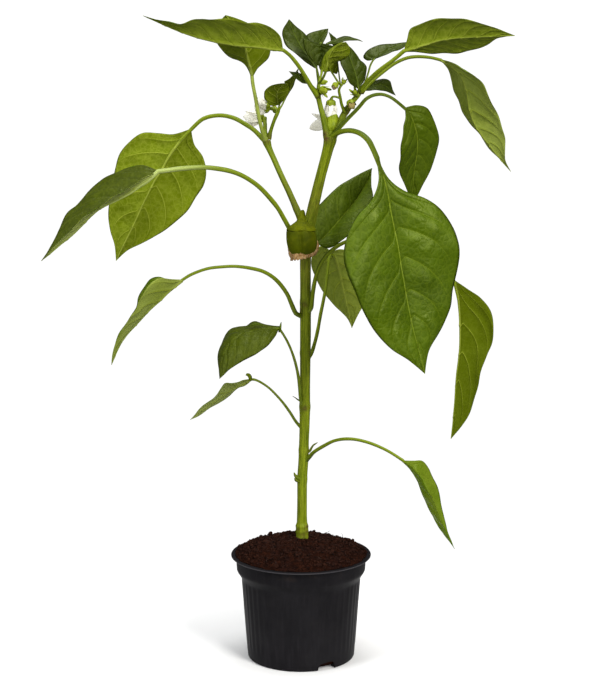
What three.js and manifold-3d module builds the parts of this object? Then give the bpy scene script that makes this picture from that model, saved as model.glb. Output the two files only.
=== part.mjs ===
import * as THREE from 'three';
import Module from 'manifold-3d';

// ---------------------------------------------------------------- driving dimensions (mm)
const RIM_D = 120;            // outside diameter of the pot's lip
const POT_H = 90.6;           // height of the pot
const LIP_T = 1.6;            // thickness of the lip
const LIP_W = 4.4;            // how far the lip stands out past the inner wall
const COLLAR_D = 112;         // outside diameter of the collar under the lip
const COLLAR_Z = 76;          // lower edge of the collar
const BODY_TOP_D = 101.6;     // outside diameter of the body just under the collar
const BASE_D = 92;            // outside diameter at the foot
const WALL = 1.8;             // wall thickness of the pot
const FLOOR = 2.2;            // floor thickness of the pot
const NOTCH_W = 17;           // width of a drain notch at the foot
const NOTCH_H = 7;            // height of a drain notch
const NOTCH_DEPTH = 10;       // how far a drain notch reaches in under the floor
const NOTCH_AT = [29, 149, 269];   // bearing of the drain notches, degrees right of the front
const SOIL_RIM_Z = 88.2;      // height of the soil where it meets the wall
const SOIL_TOP_Z = 100.4;     // height of the soil at the stem
const CLEAR = 0.3;            // gap between neighbouring pieces
const BLADE_T = 0.9;          // thickness of a leaf blade half way out
const RIB_T = 1.7;            // thickness of a leaf blade at its midrib near the base
const STEM_SIDES = 12;
const TWIG_SIDES = 8;

const wasm = await Module();
wasm.setup();
const { Manifold, Mesh } = wasm;

// ---------------------------------------------------------------- small vector helpers
const sub = (a, b) => [a[0] - b[0], a[1] - b[1], a[2] - b[2]];
const add = (a, b) => [a[0] + b[0], a[1] + b[1], a[2] + b[2]];
const mul = (a, k) => [a[0] * k, a[1] * k, a[2] * k];
const dot = (a, b) => a[0] * b[0] + a[1] * b[1] + a[2] * b[2];
const cross = (a, b) => [a[1] * b[2] - a[2] * b[1], a[2] * b[0] - a[0] * b[2], a[0] * b[1] - a[1] * b[0]];
const len = (a) => Math.hypot(a[0], a[1], a[2]);
const unit = (a) => { const l = len(a) || 1; return [a[0] / l, a[1] / l, a[2] / l]; };
const mix = (a, b, t) => [a[0] + (b[0] - a[0]) * t, a[1] + (b[1] - a[1]) * t, a[2] + (b[2] - a[2]) * t];

// a closed body from rings of equal count, capped by a fan at each end; from point "turn" of a ring on,
// the quads are split along their other diagonal, so that the two faces of a thin twisted blade stay parallel
function loft(rings, tip = null, turn = Infinity) {
  const n = rings[0].length, verts = [], tris = [];
  for (const r of rings) for (const p of r) verts.push(p);
  for (let i = 0; i + 1 < rings.length; i++) {
    for (let j = 0; j < n; j++) {
      const a = i * n + j, b = i * n + (j + 1) % n, c = a + n, d = b + n;
      if (j < turn) tris.push([a, b, d], [a, d, c]);
      else tris.push([a, b, c], [b, d, c]);
    }
  }
  const mid = (r) => mul(r.reduce(add, [0, 0, 0]), 1 / r.length);
  { const k = verts.length; verts.push(mid(rings[0])); for (let j = 0; j < n; j++) tris.push([k, (j + 1) % n, j]); }
  { const k = verts.length, o = (rings.length - 1) * n; verts.push(tip || mid(rings[rings.length - 1])); for (let j = 0; j < n; j++) tris.push([k, o + j, o + (j + 1) % n]); }
  return { verts, tris };
}

function volume({ verts, tris }) {
  let v = 0;
  for (const [a, b, c] of tris) v += dot(verts[a], cross(verts[b], verts[c]));
  return v / 6;
}

function solid(shape) {
  if (volume(shape) < 0) shape.tris = shape.tris.map(([a, b, c]) => [a, c, b]);
  const vp = new Float32Array(shape.verts.length * 3);
  shape.verts.forEach((p, i) => vp.set(p, i * 3));
  const tv = new Uint32Array(shape.tris.length * 3);
  shape.tris.forEach((t, i) => tv.set(t, i * 3));
  const mesh = new Mesh({ numProp: 3, vertProperties: vp, triVerts: tv });
  mesh.merge();
  return new Manifold(mesh);
}

// Catmull-Rom through rows of numbers of any width
function curve(rows, t) {
  const n = rows.length - 1;
  const x = Math.min(Math.max(t, 0), 1) * n;
  const i = Math.min(Math.floor(x), n - 1), f = x - i;
  const p0 = rows[Math.max(i - 1, 0)], p1 = rows[i], p2 = rows[i + 1], p3 = rows[Math.min(i + 2, n)];
  return p1.map((_, k) => 0.5 * (2 * p1[k] + (p2[k] - p0[k]) * f + (2 * p0[k] - 5 * p1[k] + 4 * p2[k] - p3[k]) * f * f
    + (3 * p1[k] - p0[k] - 3 * p2[k] + p3[k]) * f * f * f));
}

function frames(pts, seed = [0, -1, 0]) {
  const T = pts.map((p, i) => unit(sub(pts[Math.min(i + 1, pts.length - 1)], pts[Math.max(i - 1, 0)])));
  let u = unit(sub(seed, mul(T[0], dot(seed, T[0]))));
  return T.map((t) => { u = unit(sub(u, mul(t, dot(u, t)))); return { t, u, v: cross(t, u) }; });
}

// round closed tube through rows [x, y, z, radius]; grow widens it, ext lengthens its ends
function tube(rows, sides, count, grow = 0, ext = 0, flute = 0) {
  const s = [];
  for (let i = 0; i < count; i++) s.push(curve(rows, i / (count - 1)));
  if (ext) {
    const a = unit(sub(s[0], s[1])), b = unit(sub(s[count - 1], s[count - 2]));
    for (let k = 0; k < 3; k++) { s[0][k] += a[k] * ext; s[count - 1][k] += b[k] * ext; }
  }
  const fr = frames(s.map((p) => p.slice(0, 3)));
  const rings = s.map((p, i) => {
    const ring = [];
    for (let j = 0; j < sides; j++) {
      const a = (j / sides) * 2 * Math.PI;
      const r = p[3] * (1 + (flute && !grow ? flute * Math.cos(a * 4) : 0)) + grow;
      ring.push(add(p.slice(0, 3), add(mul(fr[i].u, r * Math.cos(a)), mul(fr[i].v, r * Math.sin(a)))));
    }
    return ring;
  });
  return solid(loft(rings));
}

// body of revolution about +Z; profile rows [r, z], fn may move a point
function turned(profile, segs, fn = null) {
  const verts = [], tris = [], idx = [];
  profile.forEach(([r, z], i) => {
    if (r < 1e-6) { idx.push([verts.length]); verts.push(fn ? fn(0, z, 0, i) : [0, 0, z]); return; }
    const row = [];
    for (let j = 0; j < segs; j++) {
      const a = (j / segs) * 2 * Math.PI;
      row.push(verts.length);
      verts.push(fn ? fn(r, z, a, i) : [r * Math.cos(a), r * Math.sin(a), z]);
    }
    idx.push(row);
  });
  const closed = profile[0][0] > 1e-6;
  const m = profile.length, last = closed ? m : m - 1;
  for (let i = 0; i < last; i++) {
    const A = idx[i], B = idx[(i + 1) % m];
    for (let j = 0; j < segs; j++) {
      const a = A[j % A.length], b = A[(j + 1) % A.length], c = B[j % B.length], d = B[(j + 1) % B.length];
      if (a !== b) tris.push([a, b, d]);
      if (c !== d) tris.push([a, d, c]);
    }
  }
  return solid({ verts, tris });
}

// move a body made about +Z so that +Z points along axis and its origin sits at the given place
function placed(body, at, axis, spin = 0) {
  const w = unit(axis), s = Math.abs(w[2]) > 0.95 ? [1, 0, 0] : [0, 0, 1];
  let u = unit(cross(s, w)), v = cross(w, u);
  const c = Math.cos(spin), k = Math.sin(spin);
  const u2 = add(mul(u, c), mul(v, k)), v2 = add(mul(u, -k), mul(v, c));
  return body.warp((p) => {
    const q = add(at, add(mul(u2, p[0]), add(mul(v2, p[1]), mul(w, p[2]))));
    p[0] = q[0]; p[1] = q[1]; p[2] = q[2];
  });
}

// ---------------------------------------------------------------- what stands where (mm)
// stems and shoots: rows of x, y, z, radius from the root end up
const STEMS = {
  main_stem: [[0.83, 12, 79, 3.2], [1.03, 12, 88, 4.6], [1.13, 12, 97.89, 5.6], [1.13, 12, 105.04, 5.2], [1.04, 12, 116.63, 4.5], [1.12, 11.5, 134.55, 4.3], [1.2, 11, 152.38, 4.35], [2.23, 10.5, 170.14, 4.3], [2.74, 10, 187.82, 4.2], [3.24, 9.5, 205.41, 4.3], [3.4, 9, 222.94, 4.45], [3.56, 9, 240.29, 4.4], [3.63, 8.5, 266.28, 4.5], [3.79, 8, 292.1, 4.6], [3.61, 7.5, 317.77, 4.5], [3.59, 7, 343.27, 4.6], [4.17, 6.5, 360.21, 4.9], [4.16, 6, 372.03, 5.2]],
  branch_left: [[2.07, 6, 369.51, 3.2], [-0.02, 6.5, 377.02, 3], [-4.21, 8, 386.93, 2.7], [-10.06, 10, 400.15, 2.5], [-16.75, 12, 414.2, 2.4], [-23.01, 14, 428.24, 2.4], [-26.77, 15, 436.5, 2.6], [-28.85, 15.5, 442.3, 2.9]],
  branch_right: [[6.25, 5, 369.62, 4.6], [8.33, 4, 378.94, 4.7], [10.8, 2, 390, 4.6], [14.08, -1, 404.41, 4.4], [17.75, -4, 419.54, 4.3], [21.39, -7, 433.74, 4.5], [23.41, -8, 442, 4.8], [24.22, -8, 446.92, 4.6]],
  shoot_left: [[-27.17, 15.5, 443.96, 1.7], [-25.06, 15, 451.46, 1.5], [-22.52, 14, 458.97, 1.45], [-20, 13, 464.81, 1.6], [-18.32, 12.5, 468.13, 1.2]],
  shoot_right_front: [[21.75, -8, 446.1, 2.7], [20.08, -8.5, 454.3, 2.5], [17.84, -9, 464.11, 2.3], [15.53, -9, 473.06, 2.1], [14.12, -9, 480.37, 2.1], [14.28, -8, 486.83, 1.6], [14.69, -7, 492.48, 1.3]],
  shoot_right_back: [[25.9, -6, 446.81, 2.9], [29.66, -2, 454.79, 2.7], [34.23, 1, 462.85, 2.6], [38.38, 3, 469.33, 2.4], [42.95, 5, 475.82, 2.2], [47.09, 6, 480.7, 2.1], [49.56, 6.5, 484.78, 1.9]],
  flower_stalk_right: [[36.25, 0, 466.99, 1.5], [33.52, -3, 472.84, 1.25], [32.14, -5, 479.43, 1.15], [31.11, -6, 485.15, 1.1], [33.12, -7, 489.24, 0.9]],
};

// leaves: stalk rows as above, then midrib and the two margins, base to tip
const LEAVES = {
  leaf_left_1: {
    up: -1, thin: 1, arch: 0.06, petioleRings: 8, bladeRings: 9,
    stalk: [[14.12, -9, 480.37, 2.5], [8.93, -13, 486.97, 1.89], [3.61, -18, 495.96, 1.74], [-2.07, -23, 504.88, 1.6], [-8.91, -28, 513.32, 1.5], [-14.5, -32, 517.72, 1.5]],
    rib: [[-14.5, -32, 517.72], [-24.13, -33.51, 518.83], [-33.71, -35.01, 520.16], [-43.33, -36.51, 520.94], [-52.92, -38.01, 521.76], [-62.41, -39.51, 523.19], [-71.78, -41.02, 525.16], [-81.06, -42.52, 527.39], [-90.15, -44.02, 530.2], [-99.04, -45.52, 533.49], [-107.74, -47.01, 537.17], [-116.32, -48.51, 541.02], [-124.93, -50, 544.78]],
    marginA: [[-14.5, -32, 518.51], [-16.55, -38.13, 528.72], [-23.66, -44.33, 535.63], [-33.53, -50.29, 538.47], [-43.64, -54.98, 539.67], [-53.63, -57.94, 541.64], [-63.82, -59.56, 542.29], [-74.07, -60.26, 542.21], [-84.32, -60.24, 541.37], [-94.26, -59.27, 538.6], [-104.36, -56.94, 540.26], [-114.8, -53.69, 541.75], [-124.93, -50, 544.78]],
    marginB: [[-14.5, -32, 517.33], [-24.29, -23.06, 517.04], [-31.92, -16.68, 523.81], [-39.68, -13.67, 529.91], [-49.32, -13.24, 532.8], [-59.2, -14.46, 534.46], [-69.09, -16.89, 535.5], [-78.94, -20.29, 535.96], [-88.7, -24.63, 535.94], [-98.33, -29.95, 536.43], [-107.58, -36.18, 538.23], [-116.45, -42.98, 541.2], [-124.93, -50, 544.78]],
  },
  leaf_left_2: {
    up: 1, thin: 1, arch: 0.06, petioleRings: 9, bladeRings: 9,
    stalk: [[-29.26, 15, 442.33, 2.2], [-32.44, 9, 451.77, 1.65], [-35.24, 6.5, 464.26, 1.59], [-37.7, 7.5, 478.19, 1.53], [-39.84, 12, 488.73, 1.5], [-40.74, 16, 496.03, 1.5]],
    rib: [[-40.74, 16, 496.03], [-41.49, 13.38, 500.64], [-42.43, 10.76, 505.18], [-43.62, 8.14, 509.65], [-44.63, 5.55, 514.14], [-45.52, 2.98, 518.64], [-46.75, 0.46, 523.05], [-48.35, -2.01, 527.27], [-50.66, -4.45, 531.11], [-53.27, -6.86, 534.81], [-55.82, -9.26, 538.49], [-58.45, -11.65, 542.07], [-61.19, -14.04, 545.57]],
    marginA: [[-41.98, 16, 496.03], [-44.22, 20.65, 500.96], [-47.75, 23.65, 505.14], [-52.26, 23.57, 508.19], [-57.16, 20.27, 510.56], [-61.69, 14.74, 513.25], [-65.51, 8.59, 516.92], [-68.46, 3.25, 521.25], [-69.4, -1.18, 526.49], [-69.25, -4.91, 531.79], [-67.3, -8.17, 536.86], [-64.94, -11.17, 541.67], [-61.19, -14.04, 545.57]],
    marginB: [[-39.49, 16, 496.03], [-36.27, 17.82, 501.42], [-31.54, 18.04, 505.85], [-27.11, 16.21, 510.65], [-25.27, 13.41, 516.69], [-25.76, 10.81, 522.99], [-28.75, 8.87, 528.63], [-33.06, 7.39, 533.28], [-38.24, 5.34, 536.74], [-43.91, 2.1, 539.51], [-49.58, -2.43, 542], [-55.34, -7.94, 544.01], [-61.19, -14.04, 545.57]],
  },
  leaf_left_3: {
    up: -1, thin: 1, arch: 0.06, petioleRings: 9, bladeRings: 9,
    stalk: [[-29.27, 15.5, 442.3, 2.4], [-32.63, 17, 444.71, 2.1], [-39.39, 21, 451.16, 1.85], [-47.03, 25, 455.96, 1.82], [-55.57, 30, 460.32, 1.79], [-64.14, 34, 462.41, 1.76], [-71.92, 38, 462.4, 1.73], [-79.69, 41, 460.84, 1.7], [-85.77, 43, 457.63, 1.7], [-94.03, 45, 449.93, 1.7]],
    rib: [[-94.03, 45, 449.93], [-101.39, 44.55, 442.11], [-108.1, 44.11, 433.72], [-114.16, 43.7, 424.85], [-119.25, 43.34, 415.38], [-125.31, 43.08, 406.43], [-130.2, 42.93, 396.77], [-135.16, 42.9, 387.1], [-139.79, 42.97, 377.24], [-144.48, 43.12, 367.37], [-149.47, 43.33, 357.61], [-154.54, 43.57, 347.85], [-159.21, 43.83, 337.87]],
    marginA: [[-95.73, 45, 450.35], [-108.86, 52.97, 446.12], [-122.63, 57.66, 446.91], [-136.09, 58.34, 446.6], [-147.06, 56.71, 439.64], [-155.81, 54.45, 429.6], [-159.4, 52.42, 416.89], [-161.69, 50.62, 403.73], [-164.33, 48.99, 390.61], [-165.67, 47.57, 377.31], [-164.08, 46.29, 363.99], [-160.4, 45.07, 351.18], [-159.21, 43.83, 337.87]],
    marginB: [[-93.19, 45, 448.66], [-90.89, 48.24, 437.21], [-83.92, 50.56, 426.89], [-81.24, 51.99, 414.49], [-83.57, 52.7, 402.26], [-90.73, 52.94, 391.56], [-97.58, 52.99, 380.74], [-106.77, 53.01, 371.97], [-116.88, 53.02, 364.03], [-127.83, 52.63, 357.44], [-138.87, 51.01, 351.32], [-150.08, 47.94, 345.98], [-159.21, 43.83, 337.87]],
  },
  leaf_left_4: {
    up: 1, thin: 1, arch: 0.06, petioleRings: 9, bladeRings: 9,
    stalk: [[2.49, 6, 361.95, 2.7], [-2.53, 3, 364.8, 2.49], [-8.36, -1, 369.42, 2.2], [-13.3, -6, 378.28, 2.13], [-19.03, -11, 388.72, 2.1], [-25.53, -16, 397.43, 2.07], [-33.59, -22, 406.56, 2.04], [-41.64, -26, 413.01, 2.01], [-49.67, -29, 417.72, 1.98], [-57.67, -32, 420.78, 1.96], [-65.68, -34, 422.54, 1.94], [-76.05, -37, 423.97, 1.91], [-85.64, -39, 424.12, 1.9], [-97.56, -42, 423.37, 1.9], [-105.56, -43, 422.39, 1.9], [-115.08, -45, 421.34, 1.9]],
    rib: [[-115.08, -45, 421.34], [-124.3, -46.4, 417.99], [-132.58, -47.8, 412.56], [-140.8, -49.21, 407.15], [-149.32, -50.63, 402.2], [-157.71, -52.04, 397.06], [-165.92, -53.46, 391.64], [-173.71, -54.88, 385.67], [-180.94, -56.31, 379.01], [-187.91, -57.73, 372.07], [-194.87, -59.15, 365.14], [-201.68, -60.58, 358.05], [-208.48, -62, 350.97]],
    marginA: [[-115.87, -45, 422.54], [-126.7, -38.54, 425.54], [-137.75, -32.96, 424.1], [-148.86, -29.47, 421.31], [-158.77, -28.02, 416.15], [-167.43, -28.29, 409.23], [-175.7, -30.21, 402.18], [-182.22, -33.51, 393.72], [-189.43, -38.1, 386.4], [-194.58, -43.32, 377.44], [-198.29, -49, 367.93], [-202.93, -55.3, 359.06], [-208.48, -62, 350.97]],
    marginB: [[-115.9, -45, 420.13], [-123.2, -56.92, 415.77], [-130.36, -67.19, 411.1], [-137.38, -74.35, 405.75], [-145.34, -78.49, 401.22], [-153.69, -80.36, 396.84], [-162.08, -80.48, 391.99], [-169.52, -79.25, 385.51], [-176.53, -76.93, 378.21], [-183.94, -73.79, 371.05], [-192.15, -70.1, 364.57], [-200.22, -66.09, 357.72], [-208.48, -62, 350.97]],
  },
  leaf_left_5: {
    up: 1, thin: 1, arch: 0.06, petioleRings: 9, bladeRings: 9,
    stalk: [[1.67, 8, 295.52, 2.4], [-2.55, 4, 297.42, 2.15], [-5.06, 1, 300.01, 1.93], [-8.39, -4, 308.39, 1.8], [-11.71, -8, 316.57, 1.75], [-17.47, -13, 325.67, 1.69], [-24.03, -18, 332.61, 1.64], [-32.18, -23, 337.85, 1.59], [-41.91, -28, 340.97, 1.54], [-49.99, -32, 342.64, 1.49], [-56.46, -34, 343.22, 1.46], [-64.55, -36, 343.07, 1.42], [-74.21, -39, 342.38, 1.4], [-82.27, -41, 340.34, 1.4], [-90.38, -42, 337.03, 1.4], [-96.87, -43, 333.06, 1.4]],
    rib: [[-96.87, -43, 332.65], [-102.79, -44.42, 328.12], [-108.51, -45.84, 323.38], [-113.76, -47.26, 318.1], [-119.34, -48.68, 313.19], [-124.73, -50.09, 308.11], [-129.72, -51.51, 302.61], [-134.76, -52.92, 297.16], [-139.82, -54.34, 291.74], [-144.44, -55.76, 286.01], [-148.01, -57.17, 279.49], [-151.09, -58.59, 272.75], [-153.81, -60, 265.86]],
    marginA: [[-97.68, -43, 333.47], [-105.71, -50.02, 334.82], [-113.71, -56.51, 336.42], [-120.04, -62.24, 333.37], [-125.35, -66.98, 327.84], [-128.78, -70.37, 320.91], [-130.96, -71.99, 313.01], [-136.91, -71.82, 307.13], [-141.9, -70.54, 300.14], [-145.5, -68.53, 291.9], [-149.63, -65.87, 283.74], [-152.62, -62.92, 275.01], [-153.81, -60, 265.86]],
    marginB: [[-97.68, -43, 333.06], [-106.7, -37.84, 331.75], [-115.29, -33.96, 333.94], [-122.99, -31.33, 331.52], [-128.73, -29.55, 324.26], [-133.61, -28.98, 317.12], [-134.74, -29.9, 308.47], [-139.33, -32.66, 301.45], [-144.14, -36.89, 294.96], [-147.86, -42.07, 287.98], [-150.85, -47.88, 280.81], [-153.14, -53.96, 273.5], [-153.81, -60, 265.86]],
  },
  leaf_left_6: {
    up: -1, thin: 1, arch: 0.06, petioleRings: 9, bladeRings: 9,
    stalk: [[2.55, 9, 216.85, 2.2], [-0.01, 5, 223.75, 1.68], [-1.11, -2, 235.51, 1.51], [-2.37, -9, 248.01, 1.39], [-5.03, -17, 261.4, 1.26], [-8.73, -25, 273.79, 1.13], [-13.22, -32, 284.2, 1.1], [-18.09, -37, 292.53, 1.1]],
    rib: [[-18.09, -37, 292.53], [-24.25, -39.37, 292.91], [-30.34, -41.75, 292.73], [-36.37, -44.14, 292.05], [-42.28, -46.54, 290.95], [-47.98, -48.95, 289.2], [-53.3, -51.36, 286.54], [-57.42, -53.79, 282.48], [-60.7, -56.22, 277.66], [-63.21, -58.66, 272.43], [-64.7, -61.1, 266.88], [-65.53, -63.54, 261.19], [-65.93, -65.98, 255.46]],
    marginA: [[-18.51, -37, 290.86], [-20.71, -46.33, 287.51], [-23.77, -54.56, 284.63], [-27.27, -60.43, 281.67], [-31.14, -63.89, 278.76], [-35.58, -65.68, 276.26], [-40.3, -66.53, 274.08], [-44.85, -66.97, 271.51], [-49.33, -67.18, 268.76], [-53.96, -67.2, 266.13], [-58.25, -66.96, 263.08], [-61.96, -66.48, 259.12], [-65.93, -65.98, 255.46]],
    marginB: [[-17.27, -37, 294.19], [-24.51, -30.19, 293.51], [-31.57, -24.95, 293.58], [-38.43, -22.46, 294.85], [-44.83, -22.59, 291.7], [-52, -24.79, 291.27], [-58.22, -28.52, 289.54], [-62.66, -33.26, 284.45], [-65.93, -38.84, 279.03], [-67.46, -45.04, 273.17], [-67.34, -51.72, 267.13], [-66.59, -58.76, 261.25], [-65.93, -65.98, 255.46]],
  },
  leaf_left_7: {
    up: -1, thin: 1, arch: 0.06, petioleRings: 9, bladeRings: 9,
    stalk: [[1.71, 10, 198.32, 2], [-1.72, 14, 200.07, 1.57], [-5.16, 19, 203.38, 1.41], [-9.48, 25, 209.14, 1.35], [-15.58, 33, 215.86, 1.27], [-22.59, 40, 222.41, 1.18], [-28.75, 45, 227.19, 1.12], [-35.81, 50, 230.84, 1.1], [-41.13, 53, 232.31, 1.1], [-45.12, 55, 231.49, 1.1]],
    rib: [[-45.13, 55, 231.04], [-49.93, 55.91, 228.66], [-54.81, 56.82, 226.45], [-59.51, 57.73, 223.8], [-63.98, 58.64, 220.75], [-68.2, 59.55, 217.3], [-72.5, 60.47, 213.93], [-76.84, 61.39, 210.62], [-81.19, 62.31, 207.3], [-85.53, 63.23, 203.95], [-89.76, 64.15, 200.43], [-94.01, 65.07, 196.93], [-98.33, 66, 193.49]],
    marginA: [[-45.12, 55, 232.38], [-50.48, 51.21, 232.22], [-55.62, 48.19, 230.89], [-61.09, 46.94, 230.38], [-66.32, 47.1, 230.42], [-69.81, 47.53, 225.45], [-73, 48.45, 220.6], [-77.05, 50.18, 216.22], [-81.64, 52.71, 212.31], [-86.4, 55.77, 208.34], [-90.48, 59.05, 203.63], [-94.1, 62.44, 198.34], [-98.33, 66, 193.49]],
    marginB: [[-45.14, 55, 229.25], [-49.42, 60.76, 225.08], [-54.7, 65.95, 222.57], [-58.79, 69.55, 218.69], [-62.64, 71.63, 214.38], [-66.95, 72.77, 211.01], [-71.63, 73.22, 208.38], [-76.2, 73.01, 205.74], [-80.62, 72.18, 203.02], [-84.69, 70.82, 199.96], [-88.92, 69.21, 197.21], [-93.49, 67.59, 195.07], [-98.33, 66, 193.49]],
  },
  leaf_right_1: {
    up: 1, thin: 1, arch: 0.06, petioleRings: 9, bladeRings: 9,
    stalk: [[24.63, -8, 446.1, 2.7], [27.41, -13, 448.99, 2.25], [31.77, -19, 451.74, 2.2], [37.27, -27, 453.37, 2.2], [43.52, -35, 452.98, 2.2], [48.94, -42, 450.79, 2.2], [53.57, -48, 446.73, 2.2], [56.65, -52, 441.39, 2.2], [60.54, -56, 432.5, 2.2]],
    rib: [[60.54, -56, 432.5], [65.62, -56.95, 418.77], [69.25, -57.92, 404.6], [71.87, -58.93, 390.17], [74.91, -60.02, 375.8], [77.93, -61.21, 361.42], [80.25, -62.5, 346.89], [82.85, -63.89, 332.4], [85.5, -65.39, 317.92], [88.48, -66.95, 303.5], [92.04, -68.56, 289.18], [95.89, -70.2, 274.94], [99.71, -71.85, 260.67]],
    marginA: [[59.74, -56, 432.5], [61.65, -60.31, 415.92], [56.18, -65.77, 400.55], [44.47, -72.51, 388.69], [36.7, -78.99, 374.4], [33.94, -83.8, 358.29], [36.89, -86.69, 341.98], [43.37, -87.26, 326.28], [50.73, -85.46, 310.67], [59.67, -82.09, 295.69], [71.55, -78.38, 282.34], [86.2, -75.02, 272.37], [99.71, -71.85, 260.67]],
    marginB: [[61.33, -56, 432.5], [69.76, -54.6, 417.24], [83.18, -52.82, 406.91], [99.46, -50.65, 400.19], [114, -48.78, 390.15], [123.42, -47.73, 375.29], [126.82, -47.55, 358], [126.85, -48.36, 340.5], [123.06, -50.22, 323.51], [118.47, -53.42, 306.84], [111.59, -57.94, 291.2], [102.99, -64.05, 276.73], [99.71, -71.85, 260.67]],
  },
  leaf_right_2: {
    up: -1, thin: 1, arch: 0.06, petioleRings: 5, bladeRings: 9,
    stalk: [[5.01, 7, 363.52, 2.1], [6.71, 12, 358.75, 1.6], [9.27, 17, 354.79, 1.6], [13.53, 21, 355.18, 1.6]],
    rib: [[13.53, 21, 355.18], [18.29, 24.46, 359.55], [23.1, 27.92, 363.9], [27.68, 31.36, 368.51], [32.12, 34.8, 373.27], [36.55, 38.22, 378.07], [40.93, 41.62, 382.95], [45.18, 45.02, 387.96], [49.26, 48.42, 393.13], [53.06, 51.81, 398.53], [56.47, 55.21, 404.18], [59.16, 58.6, 410.15], [61.29, 62, 416.43]],
    marginA: [[13.11, 21, 356.03], [9.9, 22.89, 362.61], [8.46, 24.97, 369.81], [9.11, 27.46, 377.12], [12.4, 30.34, 383.51], [17.26, 33.62, 388.99], [22.56, 37.34, 394.07], [28.08, 41.34, 398.98], [33.92, 45.45, 403.51], [40.53, 49.58, 407.08], [47.27, 53.72, 410.49], [54.14, 57.86, 413.71], [61.29, 62, 416.43]],
    marginB: [[14.38, 21, 354.76], [21.21, 18.71, 351.66], [28.69, 16.5, 353.85], [34.98, 15.45, 358.71], [40.56, 16.39, 364.06], [45.85, 19.26, 369.56], [50.9, 23.66, 375.17], [55.52, 28.95, 381.12], [59.4, 34.65, 387.52], [61.57, 40.55, 394.48], [60.46, 46.76, 401.79], [60.43, 53.95, 409.12], [61.29, 62, 416.43]],
  },
  leaf_right_3: {
    up: -1, thin: 1, arch: 0.06, petioleRings: 9, bladeRings: 9,
    stalk: [[5.08, 8, 258.61, 2.1], [8.92, 13, 262.9, 1.68], [11.94, 19, 271.38, 1.55], [14.54, 25, 281.64, 1.52], [16.72, 31, 292.83, 1.49], [19.35, 37, 304.95, 1.45], [21.54, 42, 316.41, 1.42], [22.86, 46, 328.05, 1.4], [23.92, 49, 336.36, 1.4], [25.08, 52, 343.82, 1.4]],
    rib: [[25.08, 52, 343.82], [29.27, 53.7, 339.9], [31.39, 55.39, 334.19], [33.01, 57.06, 328.42], [34.45, 58.71, 322.57], [35.79, 60.34, 316.69], [37.14, 61.99, 310.79], [38.51, 63.64, 304.88], [39.84, 65.31, 298.94], [41.13, 66.98, 292.96], [42.41, 68.65, 286.96], [43.7, 70.32, 280.94], [44.99, 72, 274.91]],
    marginA: [[24.21, 52, 345.12], [18.33, 55.13, 349.54], [11.88, 58.17, 344.92], [8.95, 61.06, 337.28], [9.27, 63.78, 328.98], [12.46, 66.39, 321.27], [16.1, 68.95, 313.74], [20.05, 71.43, 306.37], [24.9, 73.51, 299.63], [30.47, 74.74, 293.59], [36.23, 74.8, 287.91], [41.41, 73.76, 281.88], [44.99, 72, 274.91]],
    marginB: [[26.37, 52, 344.69], [33.33, 60.83, 346.16], [40.78, 67.44, 343.7], [46.9, 71, 338.41], [51.44, 71.83, 332.09], [54.99, 71.02, 325.38], [57.26, 69.88, 318.28], [58.29, 69.21, 310.74], [57.68, 69.1, 303.1], [55.34, 69.46, 295.84], [51.51, 70.14, 289.08], [48.12, 71.02, 282.08], [44.99, 72, 274.91]],
  },
  leaf_right_4: {
    up: 1, thin: 1, arch: 0.06, petioleRings: 9, bladeRings: 9,
    stalk: [[25.45, -8, 446.92, 2.3], [28.67, -11, 451.16, 1.86], [32.68, -14, 456.2, 1.7], [38.3, -17, 462.43, 1.63], [43.89, -20, 468.23, 1.56], [47.87, -22, 472.74, 1.51], [51.83, -24, 477.65, 1.46], [55.83, -25, 480.41, 1.42], [60.63, -26, 482.05, 1.38], [66.25, -27, 482.16, 1.33], [71.93, -27, 480.16, 1.3], [76.86, -26, 476.91, 1.3], [81.87, -24, 472.82, 1.3], [85.2, -23, 469.96, 1.3]],
    rib: [[85.2, -23, 469.96], [89.33, -21.74, 464.78], [91.81, -20.48, 458.66], [93.86, -19.23, 452.35], [94.95, -17.97, 445.83], [95.19, -16.73, 439.22], [94.84, -15.49, 432.61], [93.94, -14.25, 426.03], [93.06, -13.01, 419.44], [92.53, -11.77, 412.78], [92.24, -10.52, 406.07], [92.07, -9.27, 399.34], [92.04, -8.02, 392.58]],
    marginA: [[84.4, -23, 468.75], [84.55, -28.88, 462.67], [82.9, -33.26, 456.63], [81.91, -35.35, 450.43], [81.14, -35.34, 444.1], [80.59, -33.77, 437.65], [80.09, -31.06, 431.11], [79.29, -27.72, 424.55], [80.48, -24.27, 417.91], [83.17, -20.74, 411.61], [86.08, -16.9, 405.34], [89.05, -12.63, 399], [92.04, -8.02, 392.58]],
    marginB: [[85.59, -23, 471.98], [94.03, -18.9, 473.43], [102.43, -14.82, 471.12], [107.73, -10.9, 464.15], [111.26, -7.84, 456.14], [112.72, -6, 447.62], [112.33, -5.41, 439.04], [111.21, -5.78, 430.58], [108.53, -6.5, 422.48], [104.85, -7.16, 414.79], [100.79, -7.63, 407.26], [96.95, -7.89, 399.59], [92.04, -8.02, 392.58]],
  },
  leaf_right_5: {
    up: 1, thin: 1, arch: 0.06, petioleRings: 9, bladeRings: 9,
    stalk: [[48.73, 6, 483.16, 2.4], [52.68, 2, 489.4, 1.84], [58.21, -3, 495.63, 1.77], [64.51, -8, 501.4, 1.7], [72.39, -13, 507.53, 1.62], [77.89, -16, 511.99, 1.6], [83.35, -19, 516.82, 1.6]],
    rib: [[83.35, -19, 516.82], [90.49, -20.75, 519.08], [97.61, -22.5, 521.31], [104.73, -24.24, 523.47], [111.84, -25.98, 525.62], [119.16, -27.73, 526.75], [126.52, -29.48, 527.53], [133.89, -31.23, 527.94], [141.26, -32.99, 528.21], [148.6, -34.74, 528.47], [155.92, -36.49, 528.85], [163.23, -38.24, 529.07], [170.53, -40, 529.19]],
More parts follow.
